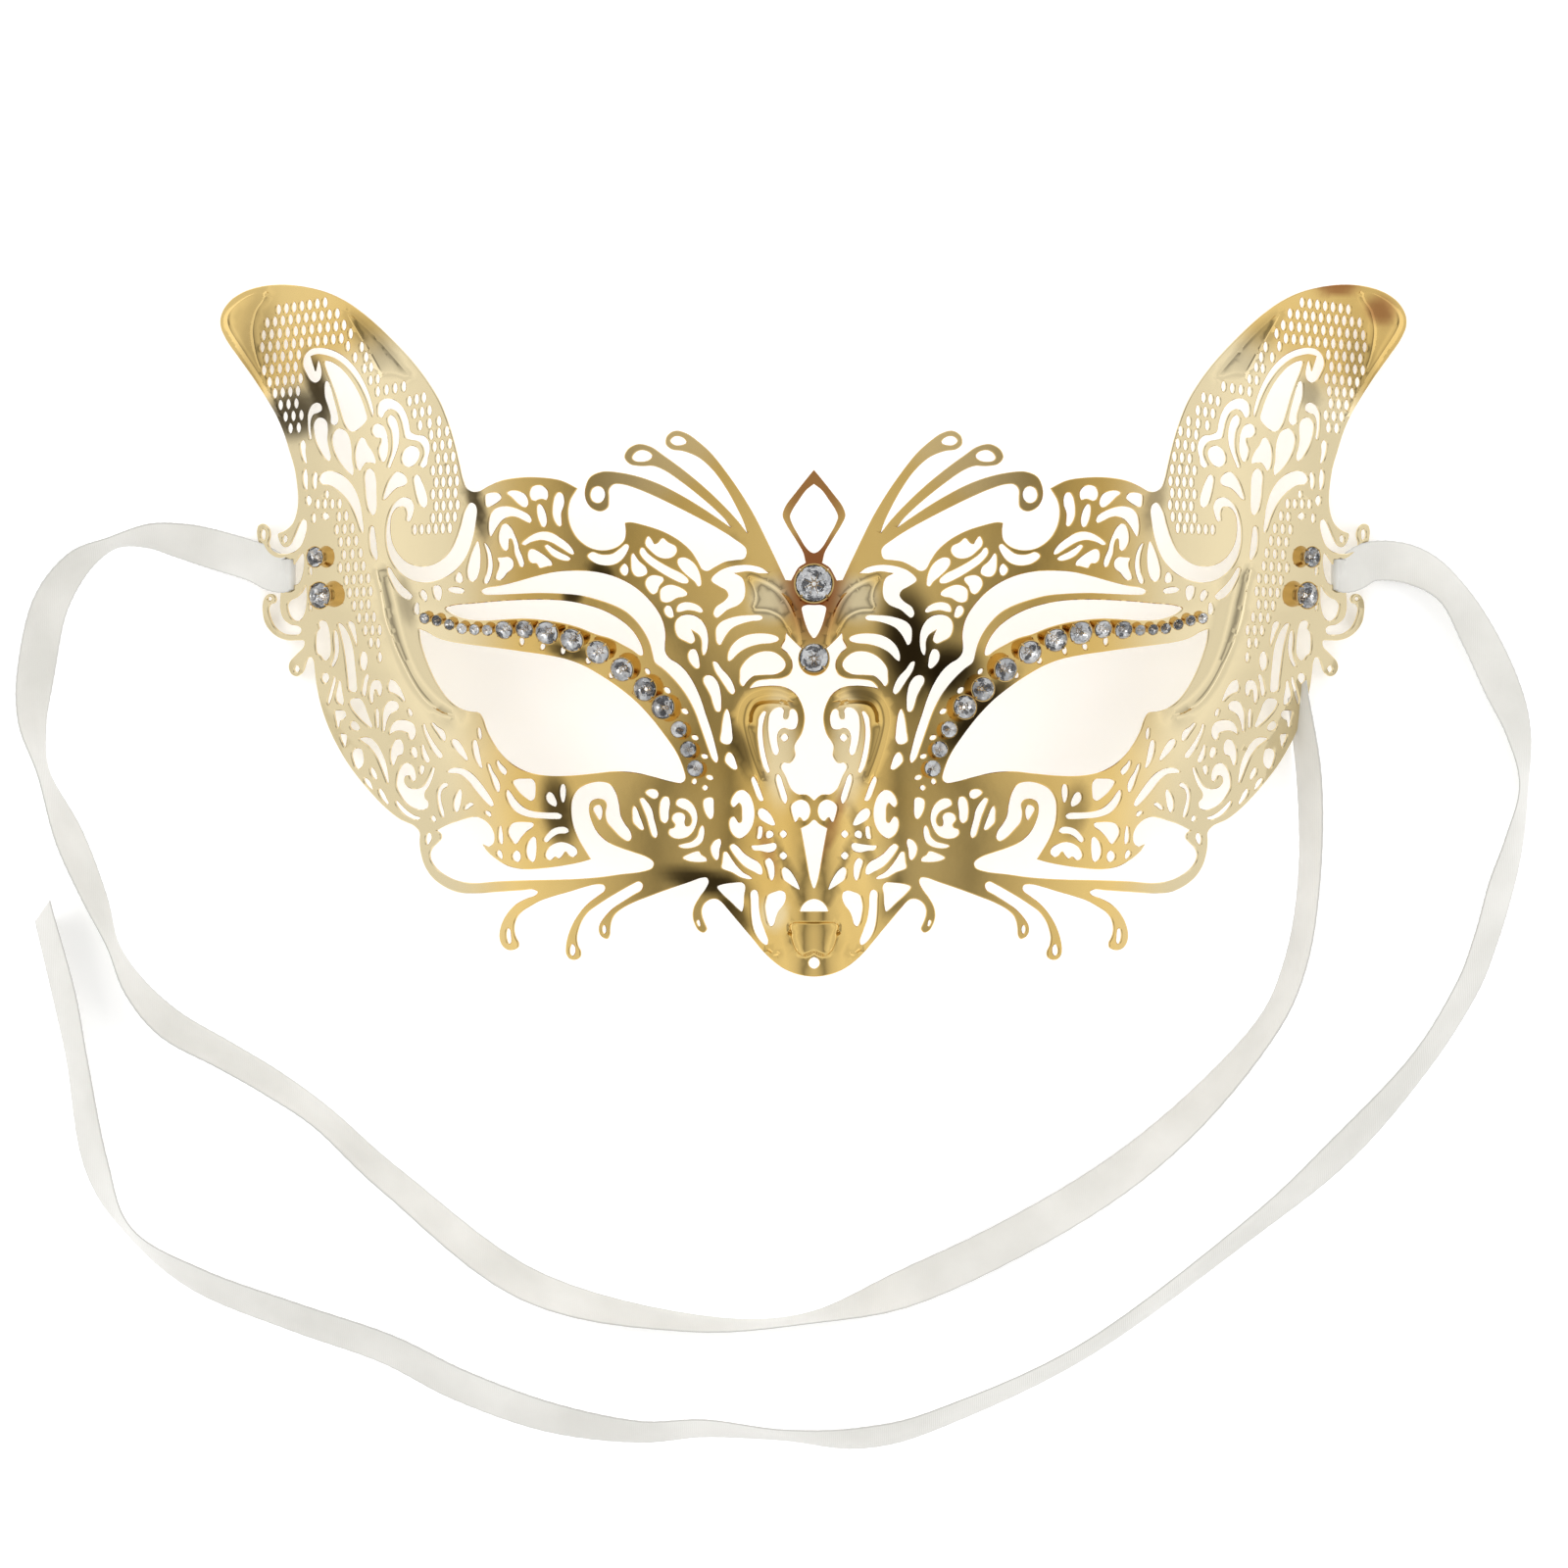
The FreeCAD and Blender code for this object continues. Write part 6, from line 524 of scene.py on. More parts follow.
    "fin_c": [(56.1, -40.5), (55.7, -40), (55.3, -40.2), (55, -41), (55.1, -41.6), (55.6, -41.4)],
    "fin_d": [(53.3, -41.1), (52.9, -40.3), (52.3, -40.1), (51.8, -40.7), (51.8, -41.6), (52.2, -42.1),
        (52.9, -41.9)],
    "fin_e": [(50.8, -40), (50.4, -38.5), (49.6, -37.7), (49.1, -37.8), (48.95, -38.9), (49, -40.6),
        (49.2, -41.7), (49.6, -42.1), (50.3, -41.7), (50.7, -40.9)],
    "fin_f": [(47.7, -38.2), (47.1, -37.2), (46.1, -36.3), (44.6, -35.9), (43.5, -36.1), (43.2, -36.7),
        (43.7, -37), (45, -37.1), (46.2, -37.8), (46.9, -38.5), (47.4, -38.6)],
    "fin_g": [(47.4, -41), (46.9, -39.7), (45.8, -38.9), (44.4, -38.6), (42.9, -39), (41.8, -39.8),
        (41.7, -40.6), (42.5, -41.2), (43.2, -40.9), (43.8, -40.2), (44.3, -40.9), (45, -41.5),
        (45.6, -41.1), (46.3, -41.7), (46.9, -41.7)],
}

# rows of pointed lens holes: x and y of the first and the last one, how many, half width, half height
MESH_ROWS = [
    (95.2, 56, 86.7, 57, 7, .5, 1.1), (97.3, 53.7, 84.5, 55, 10, .5, 1.1),
    (98, 51.5, 83.3, 52.9, 11, .5, 1.1), (98.3, 49.4, 83.8, 50.6, 11, .5, 1.1),
    (97.5, 47.4, 91.6, 47.9, 5, .5, 1.1), (98, 45.3, 92.2, 45.8, 5, .5, 1.1),
    (97, 43.2, 91.3, 43.7, 5, .5, 1.1), (96, 41.2, 91.8, 41.5, 4, .5, 1.1),
    (95, 39.1, 92.1, 39.3, 3, .5, 1.1), (94.1, 37, 91.2, 37.2, 3, .5, 1.1),
    (93.2, 34.9, 91.7, 35, 2, .5, 1.1), (82.1, 51.4, 82.1, 51.4, 1, .45, 1),
    (82.6, 49.2, 80.1, 49, 2, .45, 1), (81.3, 47.2, 79.3, 47.2, 2, .45, 1),
    (79.6, 45.2, 78.4, 45.4, 2, .42, .9), (78.5, 43.1, 77.2, 43.3, 2, .42, .9),
    (77.2, 41.1, 72.5, 41.9, 4, .45, 1), (71.5, 39.3, 68.9, 39.9, 3, .45, 1),
    (70.6, 37.1, 67.9, 37.6, 3, .45, 1), (69.6, 35, 66.2, 35.7, 3, .45, 1),
    (67.6, 33.3, 64.8, 33.9, 3, .42, 1), (67, 31.2, 64.3, 31.7, 3, .42, 1),
    (66.4, 29.1, 63.7, 29.4, 3, .42, 1), (67.3, 27, 63.3, 27.2, 4, .42, 1),
    (66.7, 24.9, 63, 25.1, 4, .42, 1), (67.3, 22.8, 63.3, 23, 4, .42, 1),
    (66.7, 20.7, 62.9, 20.9, 4, .42, 1), (67.3, 18.6, 63.4, 18.8, 4, .42, 1),
    (70.6, 16.6, 64.3, 16.8, 6, .42, 1), (86.5, 23.1, 86.5, 23.1, 1, .4, .8),
    (88.2, 21.4, 84.2, 21.4, 4, .42, .95), (88.9, 18.9, 88.9, 18.9, 1, .42, .95),
    (84.3, 19.1, 83, 19.2, 2, .42, .95), (84.7, 16.8, 81.9, 17, 3, .42, .95),
    (84, 14.6, 81.2, 14.8, 3, .42, .95), (83.4, 12.3, 80.4, 12.6, 3, .42, .95),
    (84.1, 10, 79.9, 10.3, 4, .42, .95), (83, 7.8, 79, 8.1, 4, .42, .95),
    (82.4, 5.6, 78.6, 5.8, 4, .42, .95), (81.6, 3.3, 79, 3.5, 3, .42, .95),
    (80.7, 1.1, 78, 1.2, 3, .42, .95), (79.6, -1.1, 77, -1.1, 3, .42, .95),
    (78.6, -3.3, 77.3, -3.4, 2, .42, .95), (77, -5.9, 77, -5.9, 1, .42, .95),
]

# teardrop holes beside the stones: centre x, y, half width, half height, lean in degrees
DROPS = [
    (51.5, -3.2, .42, .8, 0), (47.8, -4.2, .42, .62, 25), (44.2, -4.9, .42, .7, 12),
    (39.7, -6.6, .5, .65, 25), (35.6, -9.2, .5, .6, 40), (31.4, -12.1, .42, .55, 40),
    (29.3, -8.6, .4, .6, -40), (25.8, -11.9, .45, .7, -50), (22.7, -15.6, .42, .7, -60),
    (20.9, -20.2, .4, .65, -65), (19.2, -23.5, .4, .62, -68), (18.3, -27.2, .4, .65, -70),
    (21, -27.9, .42, .5, 10),
]

# the seats of the stones: x, y and the radius of the crystal
BROW_STONES = [
    (68.4, 1.1, 0.95), (66.2, 0.7, 0.95), (64, 0, 0.95), (61.8, -0.7, 0.95), (59.55, -0.9, 0.95),
    (57.25, -1, 0.95), (54.1, -0.8, 1.55), (50.5, -0.7, 1.55), (46.4, -1.2, 2), (42, -2.5, 2),
    (37.4, -4.7, 2), (33.1, -7.9, 2), (29.05, -11.6, 2), (25.9, -14.95, 2), (23.35, -18.9, 1.4),
    (21.75, -22.4, 1.4), (20.55, -25.7, 1.4),
]
EAR_STONES = [(87.6, 12.0, 1.75), (86.5, 5.2, 2.25)]
FOREHEAD_STONES = [(0, 6.6, 3.15), (0, -6.65, 2.45)]

# embossed lines of one half: name, height in mm, half width in mm, points
RELIEF = [
    ("ear_leaf_outer", 0.28, 0.32, [(97.2, 59.0), (99.5, 58.9), (102, 57.7), (104, 55.9), (104.5, 54.2),
     (103.8, 52.2), (101.6, 48.8), (99.1, 45), (97.1, 41.5), (95.2, 37.6)]),
    ("ear_leaf_inner", 0.26, 0.3, [(97.2, 59.0), (97.9, 57.6), (99.1, 55.8), (99.8, 53), (99.7, 50.5),
     (99.1, 47.5), (97.9, 44.4), (96.2, 40.4), (95.2, 37.6)]),
    ("thorn_long", 0.3, 0.28, [(83.0, 55.6), (80.2, 51.0), (76.3, 44.0)]),
    ("thorn_foot", 0.28, 0.28, [(76.3, 44.0), (73.5, 43.9), (70.8, 43.0)]),
    ("thorn_back", -0.24, 0.34, [(83.0, 55.6), (77.5, 50.6), (70.8, 43.0)]),
    ("eye_rim", 0.38, 0.3, [(77.3, 9.5), (76.3, 4.5), (75.3, 0), (73.6, -5), (71.2, -10.0),
     (68.7, -13.6), (66.2, -15.6), (63.9, -16.4)]),
    ("eye_groove", -0.6, 1.7, [(75.4, 8.4), (73.9, 3.0), (72.6, -2.5), (70.9, -7.6), (68.4, -11.6),
     (66.0, -14.2), (63.6, -16.0)]),
    ("wing_outer", 0.3, 0.28, [(11.7, 8.0), (10, 7.5), (8, 6.7), (6, 5.3), (4.5, 3.4), (3.4, 1),
     (2.7, -1.5), (2.3, -4)]),
    ("wing_inner", -0.2, 0.22, [(11.7, 8.0), (10.6, 6.2), (10.2, 4.2), (10.7, 2.6)]),
    ("wing_foot", -0.2, 0.22, [(10.4, 2.2), (8, 2.0), (6, 1), (4.8, -0.6), (4.0, -1.9)]),
    ("nose_scroll", 0.6, 0.62, [(9.4, -27.5), (11.1, -23), (12.4, -18), (12.2, -15.5), (11.4, -14),
     (10.2, -13.1), (8.4, -12.6), (6.2, -12.7), (4.4, -13.4)]),
    ("nose_scroll_inner", -0.45, 0.35, [(11.2, -17.5), (10.9, -15.7), (9.8, -14.3), (7.4, -13.9),
     (4.8, -14.2)]),
    ("nose_pad_top", -0.4, 0.32, [(0, -52.6), (3.4, -52.6), (4.3, -53.1), (4.2, -54.4)]),
    ("nose_pad_side", -0.4, 0.32, [(4.2, -54.4), (3.4, -57.0), (2.5, -58.2), (1.3, -58.2), (0, -57.6)]),
    ("cheek_curl", -0.5, 0.4, [(8.2, -57.5), (7.4, -58.0), (6.4, -57.9)]),
]

# places of the points across a ribbon, close together at its woven edges
SELVEDGES = [-0.5, -0.455, -0.4, -0.25, -0.1, 0.0, 0.1, 0.25, 0.4, 0.455, 0.5]

# route of each ribbon: x, y and how far the strip is turned on edge, in degrees
RIBBON_LEFT = [
    (-99.5, 11.2, 0), (-106.5, 13.4, 10), (-112.5, 15, 30), (-118.5, 15.9, 55), (-125, 14.6, 74),
    (-131.3, 10.9, 50), (-136.3, 3.2, 30), (-138.7, -8.1, 25), (-139.3, -17.4, 50), (-137.2, -26.5, 76),
    (-132.6, -38.1, 47), (-128.2, -48.6, 56), (-124.9, -57.1, 76), (-121, -64.6, 58), (-114.6, -71.3, 42),
    (-105, -76.7, 47), (-96.3, -81.8, 50), (-87.2, -88.2, 55), (-75, -99.3, 48), (-51, -117.6, 38),
    (-23, -124.3, 66), (0, -123.4, 76), (23, -115.6, 8), (47.3, -102.8, 14), (64.8, -89.6, 32),
    (79.8, -73.1, 56), (85.8, -60.8, 58), (88.4, -45.1, 60), (88.4, -27.6, 55), (86.2, -11.5, 62),
]
RIBBON_RIGHT = [
    (99.8, 11.4, 0), (107, 10.6, 15), (113.6, 6, 40), (118.6, -2, 25), (122.6, -10.5, 22), (125.6, -19, 48),
    (126.6, -28.6, 74), (124.9, -38.4, 60), (122.6, -46.6, 48), (119.9, -56, 50), (116.2, -65.3, 52),
    (107.9, -78.3, 54), (94.5, -93.2, 43), (78.4, -107.2, 60), (49, -128.9, 66), (23, -141.2, 60),
    (8.8, -144.9, 56), (-5.3, -144.4, 72), (-19.3, -143.2, 62), (-31.5, -143.8, 55), (-47.3, -141.2, 40),
    (-63, -135.6, 36), (-76.3, -129, 40), (-92.8, -123.3, 43), (-109.6, -116.8, 52), (-121.9, -108.1, 76),
    (-128, -95.8, 50), (-131.3, -77.4, 56), (-133.6, -66, 52), (-137.4, -51, 58),
]

# tone of the surround at each height of the direction looked in, from level at 0 to straight up at 1
SKY = [(0.0, 0.95), (0.30, 0.9), (0.50, 1.1), (0.70, 0.86), (0.80, 0.64), (0.87, 0.34), (0.93, 0.58),
       (1.0, 0.82)]

# soft lamps: name, place and size in metres, watts
LAMPS = [("soft_left", (-1.3, 0.3, 1.1), 0.9, 9), ("soft_right", (1.3, 0.1, 1.1), 0.9, 7),
         ("soft_back", (0.1, 1.5, 1.2), 1.0, 6), ("soft_front", (0, -1.5, 1.3), 1.0, 5)]

VIEW_WIDTH = 280.0               # width of the ground that the camera sees
VIEW_CENTRE = (-5.25, -28.35)    # plan point in the middle of its view

# painted reflections in the gold's colour: kind (painted dark, reddish or pale reflection), centre x and y,
# half sizes, lean in degrees, strength
PAINTED_REFLECTION_SPOTS = [
    ("dark_reflection", -99, 50, 3.4, 9, -10, 0.3), ("dark_reflection", 98, 44, 3, 9, 12, 0.3), ("dark_reflection", -78, 50, 3, 6, 40, 0.3),
    ("dark_reflection", 78, 49, 3, 6, -40, 0.2), ("dark_reflection", -88, 41, 2.2, 7.5, 12, 0.95),
    ("dark_reflection", 88, 41, 2, 3, 12, 0.4), ("dark_reflection", -59.5, 21, 1.5, 6.5, 15, 0.9),
    ("dark_reflection", 60, 21, 1.6, 5, -15, 0.45), ("dark_reflection", 16.5, -3.5, 5.2, 11, 8, 1),
    ("dark_reflection", 23.5, -8.5, 6.5, 5, 10, 1), ("dark_reflection", 28.5, -16.2, 10.5, 2.6, 48, 1),
    ("dark_reflection", 8.6, -12.6, 3, 1.6, -20, 0.8), ("dark_reflection", -42.5, 4.6, 1.9, 1.6, 0, 0.95),
    ("dark_reflection", -92.5, 37.5, 5.8, 4.6, 10, 0.9), ("dark_reflection", -37.4, 8.9, 2.6, 1.7, -30, 0.9),
    ("dark_reflection", -45, -33, 3, 7, 10, 0.9), ("dark_reflection", 46, -33, 2.4, 5, -10, 0.5),
    ("dark_reflection", -19, -45.5, 8, 2.4, -12, 0.95), ("dark_reflection", -14, -51, 2, 4.5, 32, 0.8),
    ("dark_reflection", 13.5, -48, 1.5, 4, -20, 0.5), ("dark_reflection", -13, -22, 1.6, 5.5, 20, 0.8),
    ("dark_reflection", -14.5, 12.5, 2, 3, 30, 0.5), ("dark_reflection", 8.5, -38, 1.2, 6.5, 18, 0.55),
    ("dark_reflection", -4.3, -44, 0.7, 7.5, 22, 0.6), ("dark_reflection", 4.3, -44, 0.7, 7.5, -22, 0.6),
    ("dark_reflection", -43, -5, 4.6, 1.7, -14, 0.9), ("dark_reflection", -72, 4, 1.6, 4.5, 10, 0.4),
    ("pale_reflection", 26, 30, 17, 7, -38, 0.35), ("pale_reflection", -26, 30, 17, 7, 38, 0.35), ("pale_reflection", 7.5, 4, 4, 4, 0, 0.9),
    ("pale_reflection", -7.5, 4, 4, 4, 0, 0.9), ("pale_reflection", 6, -22, 3, 10, 0, 0.8), ("pale_reflection", -6, -22, 3, 10, 0, 0.8),
    ("pale_reflection", -7, -51, 2.5, 3, 0, 0.7), ("reddish_reflection", 0, 26, 7, 12, 0, 0.75), ("reddish_reflection", 0, 7.5, 5.6, 11, 0, 0.95),
    ("reddish_reflection", 101, 56, 3, 2.5, -30, 0.75), ("reddish_reflection", 93, 60, 4, 1.6, 0, 0.8), ("reddish_reflection", 3, -36, 1.2, 8, -20, 0.6),
    ("reddish_reflection", -8, -40, 1.2, 5, 20, 0.5),
]


def smooth(t):
    t = np.clip(t, 0.0, 1.0)
    return t * t * (3 - 2 * t)


def height(x, y):
    """Outer skin of the plain formed sheet, before embossing."""
    span = np.interp(y, [row[0] for row in SPAN], [row[1] for row in SPAN])
    z = WRAP_RISE * (1 - (np.abs(x) / span) ** 2.2)
    z = z + NOSE_RISE * np.exp(-(x / 9) ** 2) * smooth((10 - y) / 50)
    return z - SOCKET_DEPTH * np.exp(-((np.abs(x) - 45) / 24) ** 2 - ((y + 12) / 12) ** 2)


def far_from(points, line):
    """Distance of each plan point from an open line."""
    line = np.array(line, float)
    best = np.full(len(points), 1e9)
    for a, b in zip(line, line[1:]):
        run = b - a
        t = np.clip(((points - a) @ run) / (run @ run), 0, 1)
        gap = np.hypot(*(points - a - t[:, None] * run).T)
        best = np.minimum(best, gap)
    return best


def relief(points):
    """Embossing above the formed sheet at plan points."""
    half = np.column_stack([np.abs(points[:, 0]), points[:, 1]])
    z = np.zeros(len(points))
    for _, rise, width, line in RELIEF:
        z += rise * np.exp(-(far_from(half, curve_through(line)) / width) ** 2)
    return z


def curve_through(line, parts=5):
    """Open smooth curve through plan points."""
    line = [Vector(p) for p in line]
    padded = [2 * line[0] - line[1]] + line + [2 * line[-1] - line[-2]]
    out = []
    for a, b, c, d in zip(padded, padded[1:], padded[2:], padded[3:]):
        for i in range(parts):
            t = i / parts
            bend = (2 * a - 5 * b + 4 * c - d) * t * t + (3 * b - a - 3 * c + d) * t ** 3
            out.append(b + ((c - a) * t + bend) / 2)
    out.append(line[-1])
    return [tuple(p) for p in out]


def whole(half):
    return half + [(-p[0],) + p[1:] for p in reversed(half) if p[0]]


def mirrored(points):
    return [(-p[0],) + p[1:] for p in points]


def outline(points):
    """Closed smooth outline through points, with corners where a point has a third value."""
    spots = np.array([p[:2] for p in points], float)
    sharp = [len(p) > 2 for p in points]
    count = len(points)
    out = []

    def slope(i, chord):
        if sharp[i % count]:
            return chord
        a, b, c = spots[i - 1], spots[i % count], spots[(i + 1) % count]
        ta, tc = math.sqrt(math.dist(a, b)), math.sqrt(math.dist(b, c))
        pull = (b - a) / ta - (c - a) / (ta + tc) + (c - b) / tc
        return pull * math.sqrt(np.hypot(*chord))

    for i in range(count):
        a, b = spots[i], spots[(i + 1) % count]
        chord = b - a
        start, end = slope(i, chord), slope(i + 1, chord)
        parts = max(2, math.ceil(np.hypot(*chord) / STEP))
        for k in range(parts):
            t = k / parts
            out.append(a * (2 * t ** 3 - 3 * t * t + 1) + start * (t ** 3 - 2 * t * t + t)
                       + b * (3 * t * t - 2 * t ** 3) + end * (t ** 3 - t * t))
    return np.array(out)


def oval(x, y, wide, tall, lean=0.0):
    """Pointed oval hole."""
    turn = math.radians(lean)
    out = []
    for k in range(14):
        a = 2 * math.pi * k / 14
        px = wide * math.cos(a) * (1 - 0.22 * abs(math.sin(a)) ** 3)
        py = tall * math.sin(a)
        out.append((x + px * math.cos(turn) - py * math.sin(turn),
                    y + px * math.sin(turn) + py * math.cos(turn)))
    return np.array(out)


def mesh_ovals():
    for x0, y0, x1, y1, count, wide, tall in MESH_ROWS:
        for i in range(count):
            t = i / max(1, count - 1)
            yield x0 + (x1 - x0) * t, y0 + (y1 - y0) * t, wide * 0.96, min(tall, 0.97), 0.0
    yield from DROPS


def all_loops():
    """Every outline of the sheet in plan, the rim first, run so that metal is on the left."""
    loops = [outline(whole(RIM))]
    loops += [outline(whole(half)) for half in MIDDLE.values()]
    for points in list(HOLES.values()) + [EYE]:
        loops += [outline(points), outline(mirrored(points))]
    for spot in mesh_ovals():
        loop = oval(*spot)
        loops += [loop, loop * (-1, 1)]
    loops.append(oval(0, -59.6, 1.0, 1.0))
    for i, loop in enumerate(loops):
        x, y = loop.T
        area = np.sum(x * np.roll(y, -1) - np.roll(x, -1) * y)
        if (area > 0) == (i > 0):
            loops[i] = loop[::-1].copy()
    return loops


def inward(loop, distance):
    """The loop moved into the metal."""
    run = np.roll(loop, -1, 0) - np.roll(loop, 1, 0)
    run /= np.maximum(np.hypot(run[:, 0], run[:, 1]), 1e-9)[:, None]
    return loop + distance * np.column_stack([-run[:, 1], run[:, 0]])


def crowd(points, taken, gap):
    """Drops points that lie nearer than gap to one that is taken."""
    cell = {}
    for p in taken:
        cell.setdefault((int(p[0] // gap), int(p[1] // gap)), []).append(p)
    keep = []
    for p in points:
        cx, cy = int(p[0] // gap), int(p[1] // gap)
        near = [q for i in (-1, 0, 1) for j in (-1, 0, 1) for q in cell.get((cx + i, cy + j), ())]
        if all(math.dist(p, q) > gap for q in near):
            keep.append(p)
            cell.setdefault((cx, cy), []).append(p)
    return keep


def inner_points(loops):
    """Plan points inside the metal: beside every edge, along the embossing, and a plain grid."""
    edge = np.vstack(loops)
    beside = crowd(np.vstack([inward(loop, BEVEL) for loop in loops]), edge, BEVEL * 0.8)
    taken = list(edge) + beside
    lines = []
    for _, _, width, line in RELIEF:
        path = np.array(curve_through(line, 8))
        run = np.gradient(path, axis=0)
        run /= np.hypot(run[:, 0], run[:, 1])[:, None]
        side = np.column_stack([-run[:, 1], run[:, 0]])
        for share in (0, -0.5, 0.5, -1.0, 1.0, -1.6, 1.6):
            strip = path + side * width * share
            lines += list(strip) + list(strip * (-1, 1))
    close = crowd(lines, taken, 0.2)
    taken += close
    x, y = np.meshgrid(np.arange(-108, 108, 1.1), np.arange(-63, 62, 1.0))
    x = x + 0.55 * (np.round(y) % 2)
    grid = crowd(np.column_stack([x.ravel(), y.ravel()]), taken, 0.45)
    return beside + close + grid


def metal_triangles(loops, extra):
    """Triangles of the metal between the outlines, and the plan points they use."""
    points = [Vector(p) for loop in loops for p in loop]
    edges = []
    first = 0
    for loop in loops:
        count = len(loop)
        edges += [(first + i, first + (i + 1) % count) for i in range(count)]
        first += count
    points += [Vector(p) for p in extra]
    spots, all_edges, faces, _, from_edges, _ = delaunay_2d_cdt(points, edges, [], 0, 1e-6)
    walls = {frozenset(e) for e, source in zip(all_edges, from_edges) if source}
    beside = {}
    for i, face in enumerate(faces):
        for a, b in zip(face, face[1:] + face[:1]):
            beside.setdefault(frozenset((a, b)), []).append(i)
    metal = {}
    queue = []
    for edge, sides in beside.items():
        if len(sides) == 1 and sides[0] not in metal:
            metal[sides[0]] = edge in walls
            queue.append(sides[0])
    while queue:
        i = queue.pop()
        face = faces[i]
        for a, b in zip(face, face[1:] + face[:1]):
            edge = frozenset((a, b))
            for j in beside[edge]:
                if j not in metal:
                    metal[j] = metal[i] != (edge in walls)
                    queue.append(j)
    kept = [faces[i] for i in range(len(faces)) if metal.get(i)]
    return np.array([tuple(p) for p in spots]), kept


def new_object(name, points, faces, material, smooth_faces=True):
    mesh = bpy.data.meshes.new(name)
    mesh.from_pydata([tuple(p) for p in points], [], faces)
    mesh.update()
    obj = bpy.data.objects.new(name, mesh)
    bpy.context.scene.collection.objects.link(obj)
    mesh.materials.append(material)
    if smooth_faces:
        mesh.shade_smooth()
    return obj


def settled(x, y, z):
    """Plan millimetres of the sheet to metres of the frame."""
    return np.column_stack([x, y + CENTRE_Y, z + LIFT]) * MM


def painted_reflection_blobs(points):
    """Depth of the painted reflections at plan points: how dark, how red and how pale a reflection is
    painted there, each up to 1.
    """
    dark_reflection = np.zeros(len(points))
    reddish_reflection = np.zeros(len(points))
    away = np.abs(points[:, 0])
    # painted pale reflection over the outer wings, mostly taken away over the upper ears
    pale_reflection = smooth((away - 50) / 16) * (1 - 0.9 * smooth((points[:, 1] + 0.5 * away - 84) / 9))
    # each listed spot paints a dark, reddish or pale reflection into the colour
    for kind, x, y, wide, tall, lean, amount in PAINTED_REFLECTION_SPOTS:
        turn = math.radians(lean)
        px, py = points[:, 0] - x, points[:, 1] - y
        u = (px * math.cos(turn) + py * math.sin(turn)) / wide
        v = (py * math.cos(turn) - px * math.sin(turn)) / tall
        spot = amount * np.exp(-(u * u + v * v) ** 2.5)
        shade = {"dark_reflection": dark_reflection, "reddish_reflection": reddish_reflection, "pale_reflection": pale_reflection}[kind]
        np.maximum(shade, spot, out=shade)
    return dark_reflection, reddish_reflection, pale_reflection


def skin_normals(x, y, e=0.05):
    """Outward directions of the plain skin at plan places."""
    across = (height(x + e, y) - height(x - e, y)) / (2 * e)
    along = (height(x, y + e) - height(x, y - e)) / (2 * e)
    normal = np.column_stack([-across, -along, np.ones(len(x))])
    return normal / np.linalg.norm(normal, axis=1)[:, None]


def filigree(material):
    """The pierced sheet: formed, embossed, with bevelled cuts and a plain back."""
    loops = all_loops()
    spots, faces = metal_triangles(loops, inner_points(loops))
    used = sorted({i for face in faces for i in face})
    place = {old: new for new, old in enumerate(used)}
    plan = spots[used]
    faces = [tuple(place[i] for i in face) for face in faces]
    sides = {(a, b): True for face in faces for a, b in zip(face, face[1:] + face[:1])}
    rims = [(a, b) for a, b in sides if (b, a) not in sides]
    x, y = plan.T
    z = height(x, y) + relief(plan)
    normal = skin_normals(x, y)
    top = np.column_stack([x, y, z])
    on_rim = np.zeros(len(x), bool)
    on_rim[[a for a, b in rims]] = True
    bottom = top - normal * SHEET
    top[on_rim] -= normal[on_rim] * BEVEL_DROP
    count = len(top)
    body = list(faces) + [tuple(i + count for i in reversed(face)) for face in faces]
    body += [(b, a, a + count, b + count) for a, b in rims]
    points = np.vstack([settled(*top.T), settled(*bottom.T)])
    sheet = new_object("filigree_sheet", points, body, material)
    sheet.data.set_sharp_from_angle(angle=math.radians(28))
    # colour attribute of painted reflections: painted dark, reddish and pale reflections on both skins of
    # the sheet
    shades = sheet.data.color_attributes.new("painted_reflections", "FLOAT_COLOR", "POINT")
    rgba = np.ones((2 * count, 4))
    for channel, tone in enumerate(painted_reflection_blobs(plan)):
        rgba[:, channel] = np.tile(tone, 2)
    shades.data.foreach_set("color", rgba.ravel())
    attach(sheet, "root")
    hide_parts("filigree_plate")
    return sheet


def node_tree(name):
    material = bpy.data.materials.new(name)
    material.use_nodes = True
    tree = material.node_tree
    return material, tree, tree.nodes["Principled BSDF"]


def add(tree, kind, **values):
    node = tree.nodes.new(kind)
    for key, value in values.items():
        if hasattr(node, key):
            setattr(node, key, value)
        else:
            node.inputs[key].default_value = value
    return node


def mottled(tree, shader, low, high, scale, coordinates):
    """Base colour drifting between two tones over the surface."""
    noise = add(tree, "ShaderNodeTexNoise", Scale=scale, Detail=4.0)
    ramp = add(tree, "ShaderNodeValToRGB")
    ramp.color_ramp.elements[0].position = 0.35
    ramp.color_ramp.elements[0].color = (*low, 1)
    ramp.color_ramp.elements[1].position = 0.68
    ramp.color_ramp.elements[1].color = (*high, 1)
    tree.links.new(coordinates.outputs["Object"], noise.inputs["Vector"])
    tree.links.new(noise.outputs["Fac"], ramp.inputs["Fac"])
    tree.links.new(ramp.outputs["Color"], shader.inputs["Base Color"])


